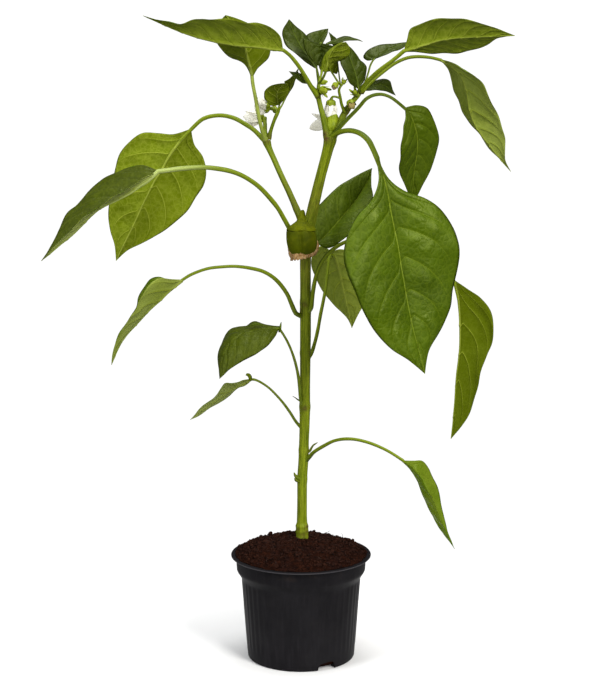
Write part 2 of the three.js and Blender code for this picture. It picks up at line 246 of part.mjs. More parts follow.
    marginA: [[83.35, -19, 517.62], [85.45, -23.48, 526.09], [87.56, -28.11, 534.45], [94.77, -32.85, 539], [102.77, -37.07, 541.76], [111.13, -40.17, 543.39], [119.71, -42.1, 543.65], [128.31, -43.12, 542.37], [136.86, -43.37, 540.53], [145.36, -43.02, 538.17], [153.79, -42.25, 535.42], [162.15, -41.2, 532.33], [170.53, -40, 529.19]],
    marginB: [[84.17, -19, 516.02], [92.22, -13.08, 515.73], [100.17, -8.65, 515.16], [107.94, -6.89, 513.72], [115.63, -7.37, 513.83], [123.2, -9.29, 514.29], [130.62, -12.15, 515.13], [137.83, -15.52, 516.7], [144.71, -19.25, 519.17], [151.19, -23.42, 522.33], [157.05, -28.22, 526.45], [163.72, -33.86, 528.32], [170.53, -40, 529.19]],
  },
  leaf_right_6: {
    up: -1, thin: 1, arch: 0.06, petioleRings: 9, bladeRings: 9,
    stalk: [[49.59, 7, 483.13, 2.4], [54.59, 9, 488.4, 1.88], [61.25, 11, 494.5, 1.76], [69.58, 13, 501.01, 1.67], [75.44, 15, 505.08, 1.61], [82.1, 16, 508.75, 1.55], [88.83, 18, 511.11, 1.49], [95.53, 19, 511.92, 1.43], [102.25, 20, 511.74, 1.4], [108.98, 21, 510.91, 1.4], [116.57, 22, 509.08, 1.4]],
    rib: [[116.57, 22, 509.08], [125.04, 23.86, 504.46], [132.55, 25.72, 498.46], [137.33, 27.59, 490.16], [139.88, 29.45, 480.91], [141.51, 31.33, 471.45], [143.99, 33.22, 462.1], [148.03, 35.12, 453.21], [153.58, 37.05, 445.14], [159.88, 39, 437.45], [166.12, 40.97, 429.71], [172.61, 42.96, 422.11], [179.36, 44.94, 414.68]],
    marginA: [[116.16, 22, 508.67], [123.15, 32.52, 501.42], [127.06, 41.58, 492.59], [130.37, 48.42, 483.43], [134.59, 53.13, 474.61], [137.99, 55.94, 465.58], [143.29, 57.12, 457.5], [148.53, 56.94, 449.5], [154.15, 55.68, 441.88], [160.04, 53.6, 434.58], [166.51, 50.97, 427.9], [173.07, 48.02, 421.4], [179.36, 44.94, 414.68]],
    marginB: [[117.82, 22, 509.5], [126.54, 14.48, 506.55], [134.28, 8.84, 501.46], [142.55, 6.85, 496.6], [150.16, 8.46, 490.1], [155.37, 12.48, 481.58], [159.91, 17.78, 472.42], [164.78, 23.3, 463.4], [168.8, 28.14, 453.91], [172.23, 32.11, 444.32], [172.74, 35.65, 434.16], [174.06, 39.76, 423.99], [179.36, 44.94, 414.68]],
  },
  leaf_right_7: {
    up: -1, thin: 1, arch: 0.06, petioleRings: 9, bladeRings: 9,
    stalk: [[3.43, 10.5, 169.26, 2.3], [6.84, 6, 173.4, 1.91], [10.22, 2, 178.28, 1.72], [14.44, -2, 182.26, 1.67], [19.48, -6, 186.23, 1.63], [26.16, -11, 191, 1.57], [32.79, -16, 194.03, 1.51], [39.41, -20, 195.45, 1.47], [45.99, -24, 195.84, 1.42], [53.39, -28, 195.03, 1.37], [61.58, -32, 193.04, 1.31], [69.8, -35, 189.9, 1.3], [76.37, -37, 186.53, 1.3], [84.61, -39, 181.47, 1.3]],
    rib: [[84.62, -39, 181.05], [89.08, -40.07, 175.64], [93.5, -41.14, 170.2], [96.69, -42.21, 164.02], [99.1, -43.28, 157.4], [101.72, -44.37, 150.89], [104.76, -45.45, 144.58], [107.94, -46.54, 138.33], [111.21, -47.63, 132.13], [114.8, -48.72, 126.12], [118.88, -49.81, 120.44], [123.3, -50.9, 115.03], [127.28, -52, 109.28]],
    marginA: [[85.04, -39, 180.62], [90.64, -47.17, 178.82], [95.26, -54.17, 175.34], [99.42, -58.93, 170.85], [103.15, -61.53, 165.42], [106.47, -62.64, 159.31], [109.55, -62.73, 152.77], [112.38, -62.1, 145.89], [115.01, -60.88, 138.72], [117.48, -59.19, 131.32], [120.48, -57.08, 124], [123.89, -54.64, 116.69], [127.28, -52, 109.28]],
    marginB: [[85.44, -39, 181.47], [93.49, -35.58, 180.56], [101.12, -32.49, 179.63], [106.83, -30.1, 173.03], [110.27, -28.93, 165.3], [113.63, -29.08, 157.89], [115.83, -30.26, 150.34], [117.5, -32.29, 142.89], [119.27, -35.09, 135.69], [120.54, -38.49, 128.57], [122.04, -42.49, 121.73], [124.89, -47.09, 115.52], [127.28, -52, 109.28]],
  },
  leaf_right_8: {
    up: -1, thin: 1, arch: 0.06, petioleRings: 9, bladeRings: 9,
    stalk: [[4.21, 8, 298.09, 2.5], [7.98, 4, 302.96, 2.31], [9.06, 2, 310.06, 2.05], [10.04, 0, 318.82, 1.94], [11.94, -2, 329.23, 1.91], [15, -3, 338.62, 1.88], [19.99, -3, 347.02, 1.85], [26.67, -2, 353.62, 1.83], [36.73, 1, 359.15, 1.79], [53.58, 6, 363.63, 1.74], [74.81, 12, 363.82, 1.68], [96.29, 18, 356.37, 1.62], [115.35, 22, 342.28, 1.6], [131.09, 24, 321.47, 1.6]],
    rib: [[131.09, 24, 321.47], [133.85, 25.34, 310.33], [135.32, 26.69, 298.91], [136.21, 28.04, 287.4], [136.64, 29.39, 275.83], [136.68, 30.74, 264.21], [135.87, 32.09, 252.59], [134.65, 33.43, 240.97], [133.98, 34.76, 229.25], [133.5, 36.07, 217.47], [132.75, 37.38, 205.66], [132.06, 38.69, 193.8], [130.95, 40, 181.93]],
    marginA: [[131.49, 24, 323.19], [137.62, 35.99, 311.24], [140.54, 46.52, 298.2], [142.18, 54.07, 285.31], [142.97, 58.21, 272.81], [142.81, 59.69, 260.69], [142.01, 59.47, 248.85], [140.57, 58.08, 237.26], [139.08, 55.76, 225.84], [137.5, 52.78, 214.57], [135.57, 49.28, 203.46], [133.44, 44.92, 192.58], [130.95, 40, 181.93]],
    marginB: [[131.92, 24, 323.19], [142.87, 22.79, 316.03], [153.38, 21.69, 308.66], [161.37, 20.72, 298.08], [164.45, 19.87, 285.65], [163.54, 19.26, 272.38], [158.22, 19.27, 260.12], [154.48, 20.9, 247.07], [152.88, 24.22, 233.01], [149.54, 28.26, 219.34], [145.83, 32.28, 205.48], [139.03, 36.18, 193.25], [130.95, 40, 181.93]],
  },
  leaf_top_1: {
    up: -1, thin: 0.75, arch: 0.06, petioleRings: 5, bladeRings: 6,
    stalk: [[14.28, -8.5, 483.6, 1], [14.54, -6, 490.02, 0.96], [14.15, -3, 496.44, 0.91], [12.69, 0, 502.88, 0.9]],
    rib: [[12.69, 0, 502.88], [10.27, 1.16, 505.85], [7.92, 2.31, 508.88], [5.65, 3.47, 511.97], [3.43, 4.62, 515.1], [1.21, 5.78, 518.25], [-0.85, 6.93, 521.48], [-2.68, 8.09, 524.85], [-4.37, 9.26, 528.31], [-6.01, 10.43, 531.79], [-7.56, 11.61, 535.31], [-8.85, 12.79, 538.93], [-9.94, 13.98, 542.63]],
    marginA: [[11.46, 0, 502.47], [7.6, -3.85, 504.92], [3.91, -6.9, 507.55], [0.6, -8.35, 510.6], [-2.86, -8.01, 513.44], [-6.51, -6.06, 516.04], [-10.25, -2.86, 518.72], [-13.05, 0.9, 521.96], [-14.64, 4.49, 526.23], [-15.67, 7.48, 530.58], [-14.7, 9.94, 534.94], [-12.27, 12.04, 538.77], [-9.94, 13.98, 542.63]],
    marginB: [[13.51, 0, 503.69], [13.97, 5.46, 507.54], [13.34, 10.4, 511.38], [12.22, 14.04, 515.15], [10.75, 16.23, 518.85], [9, 17.29, 522.42], [6.98, 17.62, 525.87], [4.77, 17.65, 529.22], [1.92, 17.63, 531.98], [-1.24, 17.5, 534.46], [-4.3, 16.8, 537.02], [-7.11, 15.51, 539.85], [-9.94, 13.98, 542.63]],
  },
  leaf_top_2: {
    up: -1, thin: 0.75, arch: 0.06, petioleRings: 6, bladeRings: 6,
    stalk: [[14.36, -8, 488.45, 0.8], [13.15, 4, 499.55, 0.8], [12.38, 12, 509.22, 0.8], [12.82, 17, 517.35, 0.8]],
    rib: [[12.82, 17, 517.35], [13.21, 19.09, 519.01], [13.69, 21.17, 520.64], [14.24, 23.25, 522.24], [14.86, 25.34, 523.81], [15.61, 27.42, 525.36], [16.45, 29.5, 526.87], [17.35, 31.58, 528.33], [18.36, 33.66, 529.74], [19.46, 35.75, 531.1], [20.57, 37.83, 532.43], [21.74, 39.92, 533.74], [22.95, 42, 535.01]],
    marginA: [[12, 17, 517.35], [9.76, 17.77, 519.12], [7.81, 18.9, 521.13], [6.07, 20.6, 523.4], [4.85, 22.67, 525.97], [4.14, 24.92, 528.68], [6.08, 27.26, 530.45], [8.84, 29.62, 531.69], [11.59, 32, 532.64], [14.36, 34.37, 533.43], [17.19, 36.8, 534.09], [20.05, 39.34, 534.61], [22.95, 42, 535.01]],
    marginB: [[13.65, 17, 517.35], [14.92, 15.76, 518.49], [16.08, 15.02, 519.7], [17.14, 15.14, 521], [18.12, 16, 522.39], [19.01, 17.59, 523.83], [19.78, 20.16, 525.33], [20.48, 23.41, 526.88], [21.22, 27, 528.43], [21.99, 30.68, 529.99], [22.48, 34.39, 531.6], [22.79, 38.15, 533.28], [22.95, 42, 535.01]],
  },
  leaf_top_3: {
    up: 1, thin: 0.75, arch: 0.06, petioleRings: 9, bladeRings: 6,
    stalk: [[14.69, -7, 491.67, 1], [17.05, 0, 499.63, 0.97], [17.9, 4, 509.32, 0.94], [17.24, 5, 517.44, 0.91], [16.39, 3, 521.83, 0.9], [16.01, -1, 523.47, 0.9], [15.72, -5, 522.84, 0.9]],
    rib: [[15.72, -5, 522.76], [15.91, -6.14, 521.19], [16.07, -7.29, 519.62], [16.2, -8.44, 518.05], [16.33, -9.6, 516.48], [16.4, -10.77, 514.91], [16.39, -11.93, 513.34], [16.33, -13.11, 511.77], [16.25, -14.28, 510.2], [16.13, -15.46, 508.64], [15.94, -16.63, 507.09], [15.67, -17.81, 505.55], [15.36, -18.99, 504.01]],
    marginA: [[15.07, -5, 522.92], [11.51, -7.65, 523.58], [8.08, -9.88, 524.62], [4.6, -11.54, 526.02], [1.58, -12.84, 527.35], [1.77, -13.9, 523.8], [2.36, -14.8, 520.25], [3.46, -15.6, 516.93], [5.27, -16.35, 513.87], [7.43, -17.04, 511.09], [9.92, -17.71, 508.55], [12.55, -18.36, 506.19], [15.36, -18.99, 504.01]],
    marginB: [[16.7, -5, 522.76], [19.37, -10.32, 522.6], [21.96, -14.98, 522.22], [24.49, -18.46, 521.39], [27.44, -20.81, 520.66], [26.95, -22.34, 519.02], [25.08, -23.38, 516.76], [23.41, -23.85, 514.68], [21.87, -23.69, 512.49], [20.41, -22.98, 510.25], [18.97, -21.86, 507.97], [17.32, -20.49, 505.88], [15.36, -18.99, 504.01]],
  },
  leaf_top_4: {
    up: 1, thin: 0.75, arch: 0.06, petioleRings: 5, bladeRings: 6,
    stalk: [[14.77, -8, 490.48, 0.9], [16.5, -13, 493.03, 0.94], [18.44, -20, 496.41, 0.98], [20.13, -26, 500.94, 1]],
    rib: [[20.13, -26, 500.94], [20.67, -27.19, 503.44], [21.17, -28.37, 505.94], [21.6, -29.56, 508.46], [22.01, -30.74, 510.98], [22.69, -31.92, 513.38], [23.85, -33.09, 515.67], [25.25, -34.25, 517.75], [26.96, -35.41, 519.65], [28.88, -36.56, 521.23], [31.07, -37.71, 522.53], [33.38, -38.86, 523.45], [35.83, -40.01, 524.08]],
    marginA: [[19.32, -26, 500.94], [16.69, -24.16, 502.72], [16.53, -22.31, 505.34], [16.69, -21.14, 508.3], [17.84, -20.85, 511.04], [19.32, -21.25, 513.58], [21.1, -22.02, 515.9], [23.16, -23.15, 518], [25.41, -24.96, 519.84], [27.82, -27.63, 521.48], [30.36, -31.18, 522.81], [33.04, -35.39, 523.73], [35.83, -40.01, 524.08]],
    marginB: [[20.94, -26, 500.94], [22.31, -23.23, 503.49], [24.14, -21.48, 505.56], [26.54, -21.53, 507.2], [29.17, -23.33, 508.26], [31.84, -26.14, 509.23], [34.45, -28.99, 510.26], [36.92, -31.44, 511.79], [38.61, -33.51, 513.87], [39.57, -35.31, 516.62], [38.99, -36.94, 519.37], [37.74, -38.49, 521.9], [35.83, -40.01, 524.08]],
  },
  leaf_top_5: {
    up: -1, thin: 0.75, arch: 0.06, petioleRings: 3, bladeRings: 6,
    stalk: [[49.57, 6.5, 483.14, 1.1], [48.59, 2, 484.51, 1.03], [47.22, -2, 486.66, 1]],
    rib: [[47.22, -2, 486.66], [46.71, -0.66, 489.78], [46.09, 0.69, 492.87], [45.34, 2.02, 495.93], [44.46, 3.36, 498.98], [43.51, 4.69, 502], [42.45, 6.02, 504.99], [41.38, 7.35, 507.98], [40.37, 8.68, 510.99], [39.37, 10.01, 514.01], [38.37, 11.34, 517.03], [37.37, 12.67, 520.06], [36.36, 14, 523.09]],
    marginA: [[46.4, -2, 486.25], [43.11, -4.58, 488.03], [40.04, -6.72, 490.27], [38.2, -7.88, 493.17], [37.11, -7.8, 496.67], [35.55, -6.4, 499.85], [33.75, -3.91, 502.94], [32.32, -0.82, 506.07], [32.03, 2.44, 509.62], [32.38, 5.64, 513.15], [33.16, 8.67, 516.65], [34.39, 11.44, 520.06], [36.36, 14, 523.09]],
    marginB: [[48.04, -2, 486.66], [50.22, 3.31, 489.72], [52.72, 7.78, 492.62], [53.93, 10.92, 496.14], [54.5, 12.84, 499.91], [54.49, 14.1, 503.59], [52.27, 15.22, 506.7], [49.38, 16.06, 509.2], [47.27, 16.3, 512.4], [44.89, 16.03, 515.4], [42.3, 15.45, 518.23], [39.47, 14.75, 520.82], [36.36, 14, 523.09]],
  },
  leaf_top_6: {
    up: -1, thin: 0.75, arch: 0.06, petioleRings: 6, bladeRings: 6,
    stalk: [[14.86, -6.5, 491.66, 0.8], [16.52, 10, 496.98, 0.75], [17.03, 20, 504.18, 0.72], [18.29, 22, 513.2, 0.7], [21.21, 24, 522.22, 0.7]],
    rib: [[21.21, 24, 522.22], [23.68, 24.5, 523.01], [26.17, 25, 523.74], [28.68, 25.5, 524.44], [31.2, 26, 525.09], [33.75, 26.5, 525.56], [36.34, 27, 525.95], [38.94, 27.5, 526.08], [41.56, 28, 526.02], [44.16, 28.5, 525.91], [46.73, 29, 525.59], [49.28, 29.5, 524.95], [51.8, 30, 524.09]],
    marginA: [[20.79, 24, 523.05], [23.37, 28.12, 524.04], [25.98, 31.58, 525], [28.6, 33.94, 525.91], [31.18, 35.26, 526.89], [33.73, 35.81, 527.9], [36.39, 35.82, 528.64], [39.08, 35.51, 528.63], [41.73, 34.94, 527.92], [44.26, 34.1, 526.93], [46.89, 32.97, 526.23], [49.42, 31.59, 525.37], [51.8, 30, 524.09]],
    marginB: [[21.62, 24, 521.81], [24.12, 20.96, 521.83], [26.6, 18.58, 521.84], [29.08, 17.23, 522.14], [31.55, 16.83, 522.73], [33.97, 17.13, 523.46], [36.36, 17.97, 524.34], [38.86, 19.24, 524.76], [41.43, 20.88, 525], [44.02, 22.83, 525.01], [46.63, 25.01, 524.96], [49.22, 27.4, 524.73], [51.8, 30, 524.09]],
  },
  leaf_top_7: {
    up: -1, thin: 0.75, arch: 0.06, petioleRings: 6, bladeRings: 6,
    stalk: [[50.39, 6.5, 485.6, 0.9], [53.88, 13, 492.81, 0.86], [56.18, 20, 499.24, 0.82], [58, 25, 504.92, 0.8], [60.59, 28, 509.42, 0.8]],
    rib: [[60.59, 28, 509.42], [62.84, 29.66, 511.21], [65.18, 31.32, 512.87], [67.62, 32.98, 514.38], [70.17, 34.64, 515.77], [72.78, 36.3, 517.06], [75.43, 37.96, 518.26], [78.13, 39.63, 519.37], [80.87, 41.3, 520.4], [83.65, 42.97, 521.37], [86.45, 44.65, 522.25], [89.29, 46.32, 523.06], [92.17, 48, 523.79]],
    marginA: [[59.76, 28, 509.01], [55.5, 30.78, 508.39], [52.24, 33.41, 511.02], [54.13, 35.81, 514.96], [57.34, 37.96, 517.9], [61.28, 39.92, 520.01], [65.53, 41.78, 521.45], [69.96, 43.6, 521.99], [74.44, 45.3, 522.3], [78.91, 46.65, 522.57], [83.33, 47.5, 523.14], [87.75, 47.9, 523.55], [92.17, 48, 523.79]],
    marginB: [[61.84, 28, 509.83], [64.29, 24.15, 510.71], [66.72, 21.75, 511.72], [69.16, 21.52, 512.9], [71.7, 22.86, 514], [74.34, 25.12, 515.01], [77.03, 27.89, 515.93], [79.83, 30.95, 516.68], [82.61, 34.2, 517.47], [85.27, 37.58, 518.6], [87.81, 41.03, 520.05], [90.1, 44.51, 521.75], [92.17, 48, 523.79]],
  },
  leaf_top_8: {
    up: -1, thin: 0.75, arch: 0.06, petioleRings: 3, bladeRings: 6,
    stalk: [[49.18, 7, 482.31, 1], [50.58, 12, 483.8, 0.93], [51.96, 16, 484.5, 0.9]],
    rib: [[51.96, 16, 484.5], [54.43, 18, 485.4], [56.91, 20, 486.24], [59.42, 22, 487.11], [61.96, 23.99, 487.87], [64.6, 25.99, 488.17], [67.29, 27.99, 488.3], [69.9, 29.99, 487.79], [72.34, 31.99, 486.48], [74.46, 33.99, 484.82], [76.45, 35.99, 482.91], [78.41, 38, 481.01], [80.3, 40, 479.02]],
    marginA: [[51.96, 16, 485.33], [54.22, 22.01, 487.69], [56.94, 27.39, 489.49], [60.01, 31.57, 490.89], [63.16, 34.47, 492.04], [66.37, 36.32, 492.98], [69.62, 37.42, 493.64], [72.95, 38.16, 493.16], [75.59, 38.85, 491.15], [76.49, 39.6, 488.09], [77.35, 40.11, 484.87], [78.68, 40.23, 481.87], [80.3, 40, 479.02]],
    marginB: [[52.38, 16, 483.68], [54.58, 13.76, 483.85], [56.81, 12.27, 484.01], [59.07, 12.08, 484.19], [61.39, 13.14, 484.36], [63.75, 15.11, 484.35], [66.15, 17.75, 484.09], [68.56, 20.82, 483.65], [70.95, 24.16, 483.06], [73.31, 27.77, 482.17], [75.62, 31.63, 481.15], [77.94, 35.73, 480.06], [80.3, 40, 479.02]],
  },
  leaf_top_9: {
    up: 1, thin: 0.75, arch: 0.06, petioleRings: 3, bladeRings: 6,
    stalk: [[-19.58, 13, 465.63, 0.9], [-18.72, 11, 469.01, 0.83], [-17.87, 10, 472.76, 0.8]],
    rib: [[-17.87, 10, 472.76], [-18.64, 7.85, 474.52], [-19.22, 5.69, 476.31], [-19.54, 3.53, 478.14], [-19.73, 1.37, 480.04], [-19.78, -0.8, 481.89], [-19.3, -2.97, 483.73], [-18.4, -5.14, 485.44], [-17.33, -7.31, 486.88], [-15.88, -9.49, 488.14], [-14.35, -11.66, 489.2], [-12.75, -13.83, 490.1], [-11.03, -16, 490.85]],
    marginA: [[-18.7, 10, 472.35], [-22.21, 6.24, 471.71], [-25.34, 2.69, 472.21], [-28.02, -0.34, 474.75], [-30.09, -2.79, 477.68], [-30.53, -4.94, 481.09], [-30.12, -6.97, 484.42], [-27.6, -9.08, 487.07], [-24.61, -11.13, 488.96], [-21.33, -12.9, 490.04], [-17.9, -14.3, 490.71], [-14.47, -15.3, 490.83], [-11.03, -16, 490.85]],
    marginB: [[-17.04, 10, 473.17], [-15.9, 4.18, 474.59], [-14.84, -0.98, 476.01], [-13.85, -4.9, 477.42], [-12.92, -7.54, 478.81], [-12.02, -9.21, 480.21], [-11.26, -10.28, 481.62], [-10.64, -11.01, 483.1], [-10.08, -11.63, 484.64], [-9.84, -12.37, 486.19], [-9.96, -13.37, 487.73], [-10.35, -14.61, 489.29], [-11.03, -16, 490.85]],
  },
  leaf_top_10: {
    up: 1, thin: 0.75, arch: 0.06, petioleRings: 4, bladeRings: 6,
    stalk: [[-18.74, 12.5, 467.3, 0.8], [-16.26, 15, 471.33, 0.75], [-14.19, 17, 475.39, 0.71], [-12.12, 19, 479.46, 0.7]],
    rib: [[-12.12, 19, 479.46], [-11.12, 18.5, 481.33], [-10.18, 17.99, 483.23], [-9.29, 17.49, 485.15], [-8.47, 16.99, 487.09], [-7.68, 16.49, 489.05], [-6.86, 15.99, 490.99], [-6.04, 15.49, 492.93], [-5.24, 14.99, 494.87], [-4.45, 14.49, 496.82], [-3.67, 13.99, 498.77], [-2.89, 13.5, 500.71], [-2.1, 13, 502.65]],
    marginA: [[-12.7, 19, 479.62], [-12.52, 15.13, 482.14], [-12.5, 12.01, 484.62], [-12.73, 10.13, 487.05], [-13.31, 9.38, 489.49], [-14.08, 9.17, 491.73], [-12.51, 8.85, 492.84], [-10.1, 8.54, 493.94], [-8.24, 8.64, 495.47], [-6.55, 9.22, 497.13], [-5, 10.2, 498.92], [-3.51, 11.48, 500.76], [-2.1, 13, 502.65]],
    marginB: [[-11.45, 19, 479.62], [-10.18, 22.13, 481.19], [-9, 24.58, 482.85], [-7.93, 25.95, 484.61], [-6.94, 26.31, 486.46], [-6.05, 25.94, 488.38], [-5.26, 25.02, 490.35], [-4.56, 23.69, 492.36], [-3.84, 22.02, 494.37], [-3.07, 20.05, 496.38], [-2.53, 17.87, 498.43], [-2.24, 15.52, 500.52], [-2.1, 13, 502.65]],
  },
  leaf_top_11: {
    up: -1, thin: 0.75, arch: 0.06, petioleRings: 3, bladeRings: 6,
    stalk: [[12.73, -7.5, 485.19, 0.8], [9.81, -4, 487.94, 0.73], [6.95, -1, 490.7, 0.7]],
    rib: [[6.95, -1, 490.7], [5.57, -0.75, 491.59], [4.18, -0.5, 492.46], [2.79, -0.25, 493.31], [1.38, 0, 494.16], [-0.03, 0.25, 495], [-1.44, 0.5, 495.82], [-2.87, 0.75, 496.63], [-4.31, 1, 497.42], [-5.75, 1.25, 498.2], [-7.21, 1.5, 498.95], [-8.68, 1.75, 499.69], [-10.16, 2, 500.4]],
    marginA: [[6.54, -1, 489.89], [4.78, -2.88, 490.02], [3.09, -4.43, 490.28], [1.48, -5.36, 490.67], [-0.08, -5.69, 491.43], [-1.55, -5.58, 492.36], [-2.89, -5.13, 493.35], [-4.14, -4.44, 494.5], [-5.39, -3.51, 495.66], [-6.68, -2.38, 496.75], [-7.94, -1.08, 497.87], [-9.09, 0.37, 499.09], [-10.16, 2, 500.4]],
    marginB: [[6.54, -1, 491.52], [5.68, 1.59, 492.93], [4.7, 3.74, 494.25], [3.63, 5.16, 495.47], [2.46, 5.89, 496.64], [1.14, 6.13, 497.76], [-0.29, 6.06, 498.63], [-1.84, 5.82, 499.23], [-3.51, 5.44, 499.64], [-5.19, 4.93, 499.7], [-6.88, 4.22, 499.71], [-8.54, 3.25, 499.86], [-10.16, 2, 500.4]],
  },
  leaf_top_12: {
    up: 1, thin: 0.75, arch: 0.06, petioleRings: 6, bladeRings: 6,
    stalk: [[32.72, -7, 488.42, 0.8], [30.44, 2, 491.44, 0.8], [27.65, 8, 495.79, 0.8], [24.81, 12, 500.21, 0.8]],
    rib: [[24.81, 12, 500.21], [24.21, 11.34, 501.75], [23.73, 10.69, 503.31], [23.45, 10.03, 504.89], [23.25, 9.37, 506.51], [23.11, 8.71, 508.13], [23.08, 8.04, 509.74], [23.26, 7.38, 511.34], [23.58, 6.71, 512.93], [23.93, 6.04, 514.5], [24.34, 5.36, 516.04], [24.86, 4.69, 517.57], [25.45, 4.01, 519.07]],
    marginA: [[23.99, 12, 499.8], [21.29, 12.93, 499.41], [18.75, 13.33, 499.45], [16.13, 13.1, 500.81], [14.99, 12.61, 502.78], [14.51, 12.04, 505.53], [14.67, 11.42, 508.12], [15.82, 10.72, 510.57], [17.21, 9.83, 512.76], [18.96, 8.7, 514.77], [20.92, 7.33, 516.47], [23.07, 5.74, 517.9], [25.45, 4.01, 519.07]],
    marginB: [[25.65, 12, 499.39], [28.06, 12.13, 497.98], [29.59, 12.29, 497.82], [30.56, 12.49, 499.81], [30.86, 12.71, 502.31], [30.7, 12.7, 504.53], [30.43, 12.3, 506.75], [30.03, 11.47, 508.95], [29.46, 10.29, 511.12], [28.75, 8.87, 513.23], [27.83, 7.31, 515.28], [26.74, 5.68, 517.23], [25.45, 4.01, 519.07]],
  },
  leaf_top_13: {
    up: -1, thin: 0.75, arch: 0.06, petioleRings: 6, bladeRings: 6,
    stalk: [[32.32, -6.5, 488.41, 0.7], [31.32, 18, 499.28, 0.64], [30.27, 38, 510.54, 0.6], [28.71, 46, 519.63, 0.6]],
    rib: [[28.71, 46, 519.63], [28.42, 45.67, 520.73], [28.1, 45.34, 521.82], [27.73, 45, 522.9], [27.35, 44.67, 523.97], [26.91, 44.34, 525.02], [26.42, 44, 526.05], [25.92, 43.67, 527.07], [25.42, 43.34, 528.09], [24.91, 43, 529.11], [24.38, 42.67, 530.11], [23.85, 42.33, 531.12], [23.3, 42, 532.11]],
    marginA: [[27.87, 46, 519.63], [27.08, 42.91, 520.54], [26.39, 40.3, 521.49], [25.83, 38.5, 522.47], [25.44, 37.46, 523.48], [25.15, 36.98, 524.55], [24.91, 36.92, 525.65], [24.67, 37.18, 526.74], [24.41, 37.72, 527.82], [24.13, 38.48, 528.89], [23.86, 39.45, 529.97], [23.58, 40.62, 531.04], [23.3, 42, 532.11]],
    marginB: [[29.56, 46, 519.63], [30.53, 48.02, 520.83], [31.12, 49.71, 522.05], [31.33, 50.74, 523.28], [31.09, 51.1, 524.57], [30.47, 50.95, 525.85], [29.76, 50.41, 526.95], [28.81, 49.59, 527.9], [27.69, 48.53, 528.77], [26.58, 47.23, 529.63], [25.51, 45.71, 530.48], [24.41, 43.96, 531.31], [23.3, 42, 532.11]],
  },
};

const FLOWERS = [
  { name: 'flower_1', at: [24.62, -3.2, 477.41], axis: [-0.02, 0.12, -1], spin: 0.2, cr: 4.5, ch: 4.6, lobes: 6, cut: 0.5, rows: [[0, 0, 0], [2.2, 0.6, 0], [3.2, 3.4, 0], [4.9, 8.5, 0.4], [5.5, 14.6, 1]], stalk: [[32.22, -5, 478.37, 0.9], [28.69, -5, 479.59, 0.8], [25.83, -4.4, 479.41, 0.8], [24.61, -4, 476.46, 1.1]] },
  { name: 'flower_2', at: [24.36, -8.5, 451.44], axis: [0.05, 0.5, 0.86], spin: 0.3, cr: 4.6, ch: 9.2, lobes: 5, cut: 0.62, rows: [[0, -1.6, 0], [2.6, -1.2, 0], [4, 1.2, 0], [8.8, 3.6, 0.75], [13.6, 4.6, 1]], seat: [22.81, 9, 458.38], face: [0.02, 0.98, 0.12], stalk: [[23.38, -9, 445.34, 1.4], [23.62, -8.8, 449, 1.3], [24.38, -7.5, 452.29, 1.5]], neck: [[24.66, -4.5, 456.55, 1.4], [24.09, 1, 457.93, 1.3], [22.78, 7, 458.47, 1.3]] },
  { name: 'flower_3', at: [-30.91, 30, 461.58], axis: [-0.97, 0.12, -0.1], spin: 0.1, cr: 4.1, ch: 3.8, lobes: 6, cut: 0.45, rows: [[0, 0, 0], [2, 0.6, 0], [3, 3, 0], [5.3, 8.6, 0.4], [5.7, 15, 1]], stalk: [[-29.27, 16, 445.6, 1.4], [-29.91, 20, 450.37, 1.2], [-30.24, 25, 455.96, 1.3], [-30.98, 29.5, 460.76, 1.3]] },
  { name: 'flower_4', at: [-25.64, 18, 469.32], axis: [-0.98, -0.05, 0.15], spin: 0.5, cr: 4.1, ch: 3.8, lobes: 6, cut: 0.5, rows: [[0, 0, 0], [2, 0.6, 0], [2.9, 2.8, 0], [5.2, 7, 0.5], [6.6, 11.5, 1]], stalk: [[-19.16, 13, 465.22, 1.1], [-21.27, 15.5, 468.01, 1], [-25.05, 17.8, 469.24, 1.2]] },
];

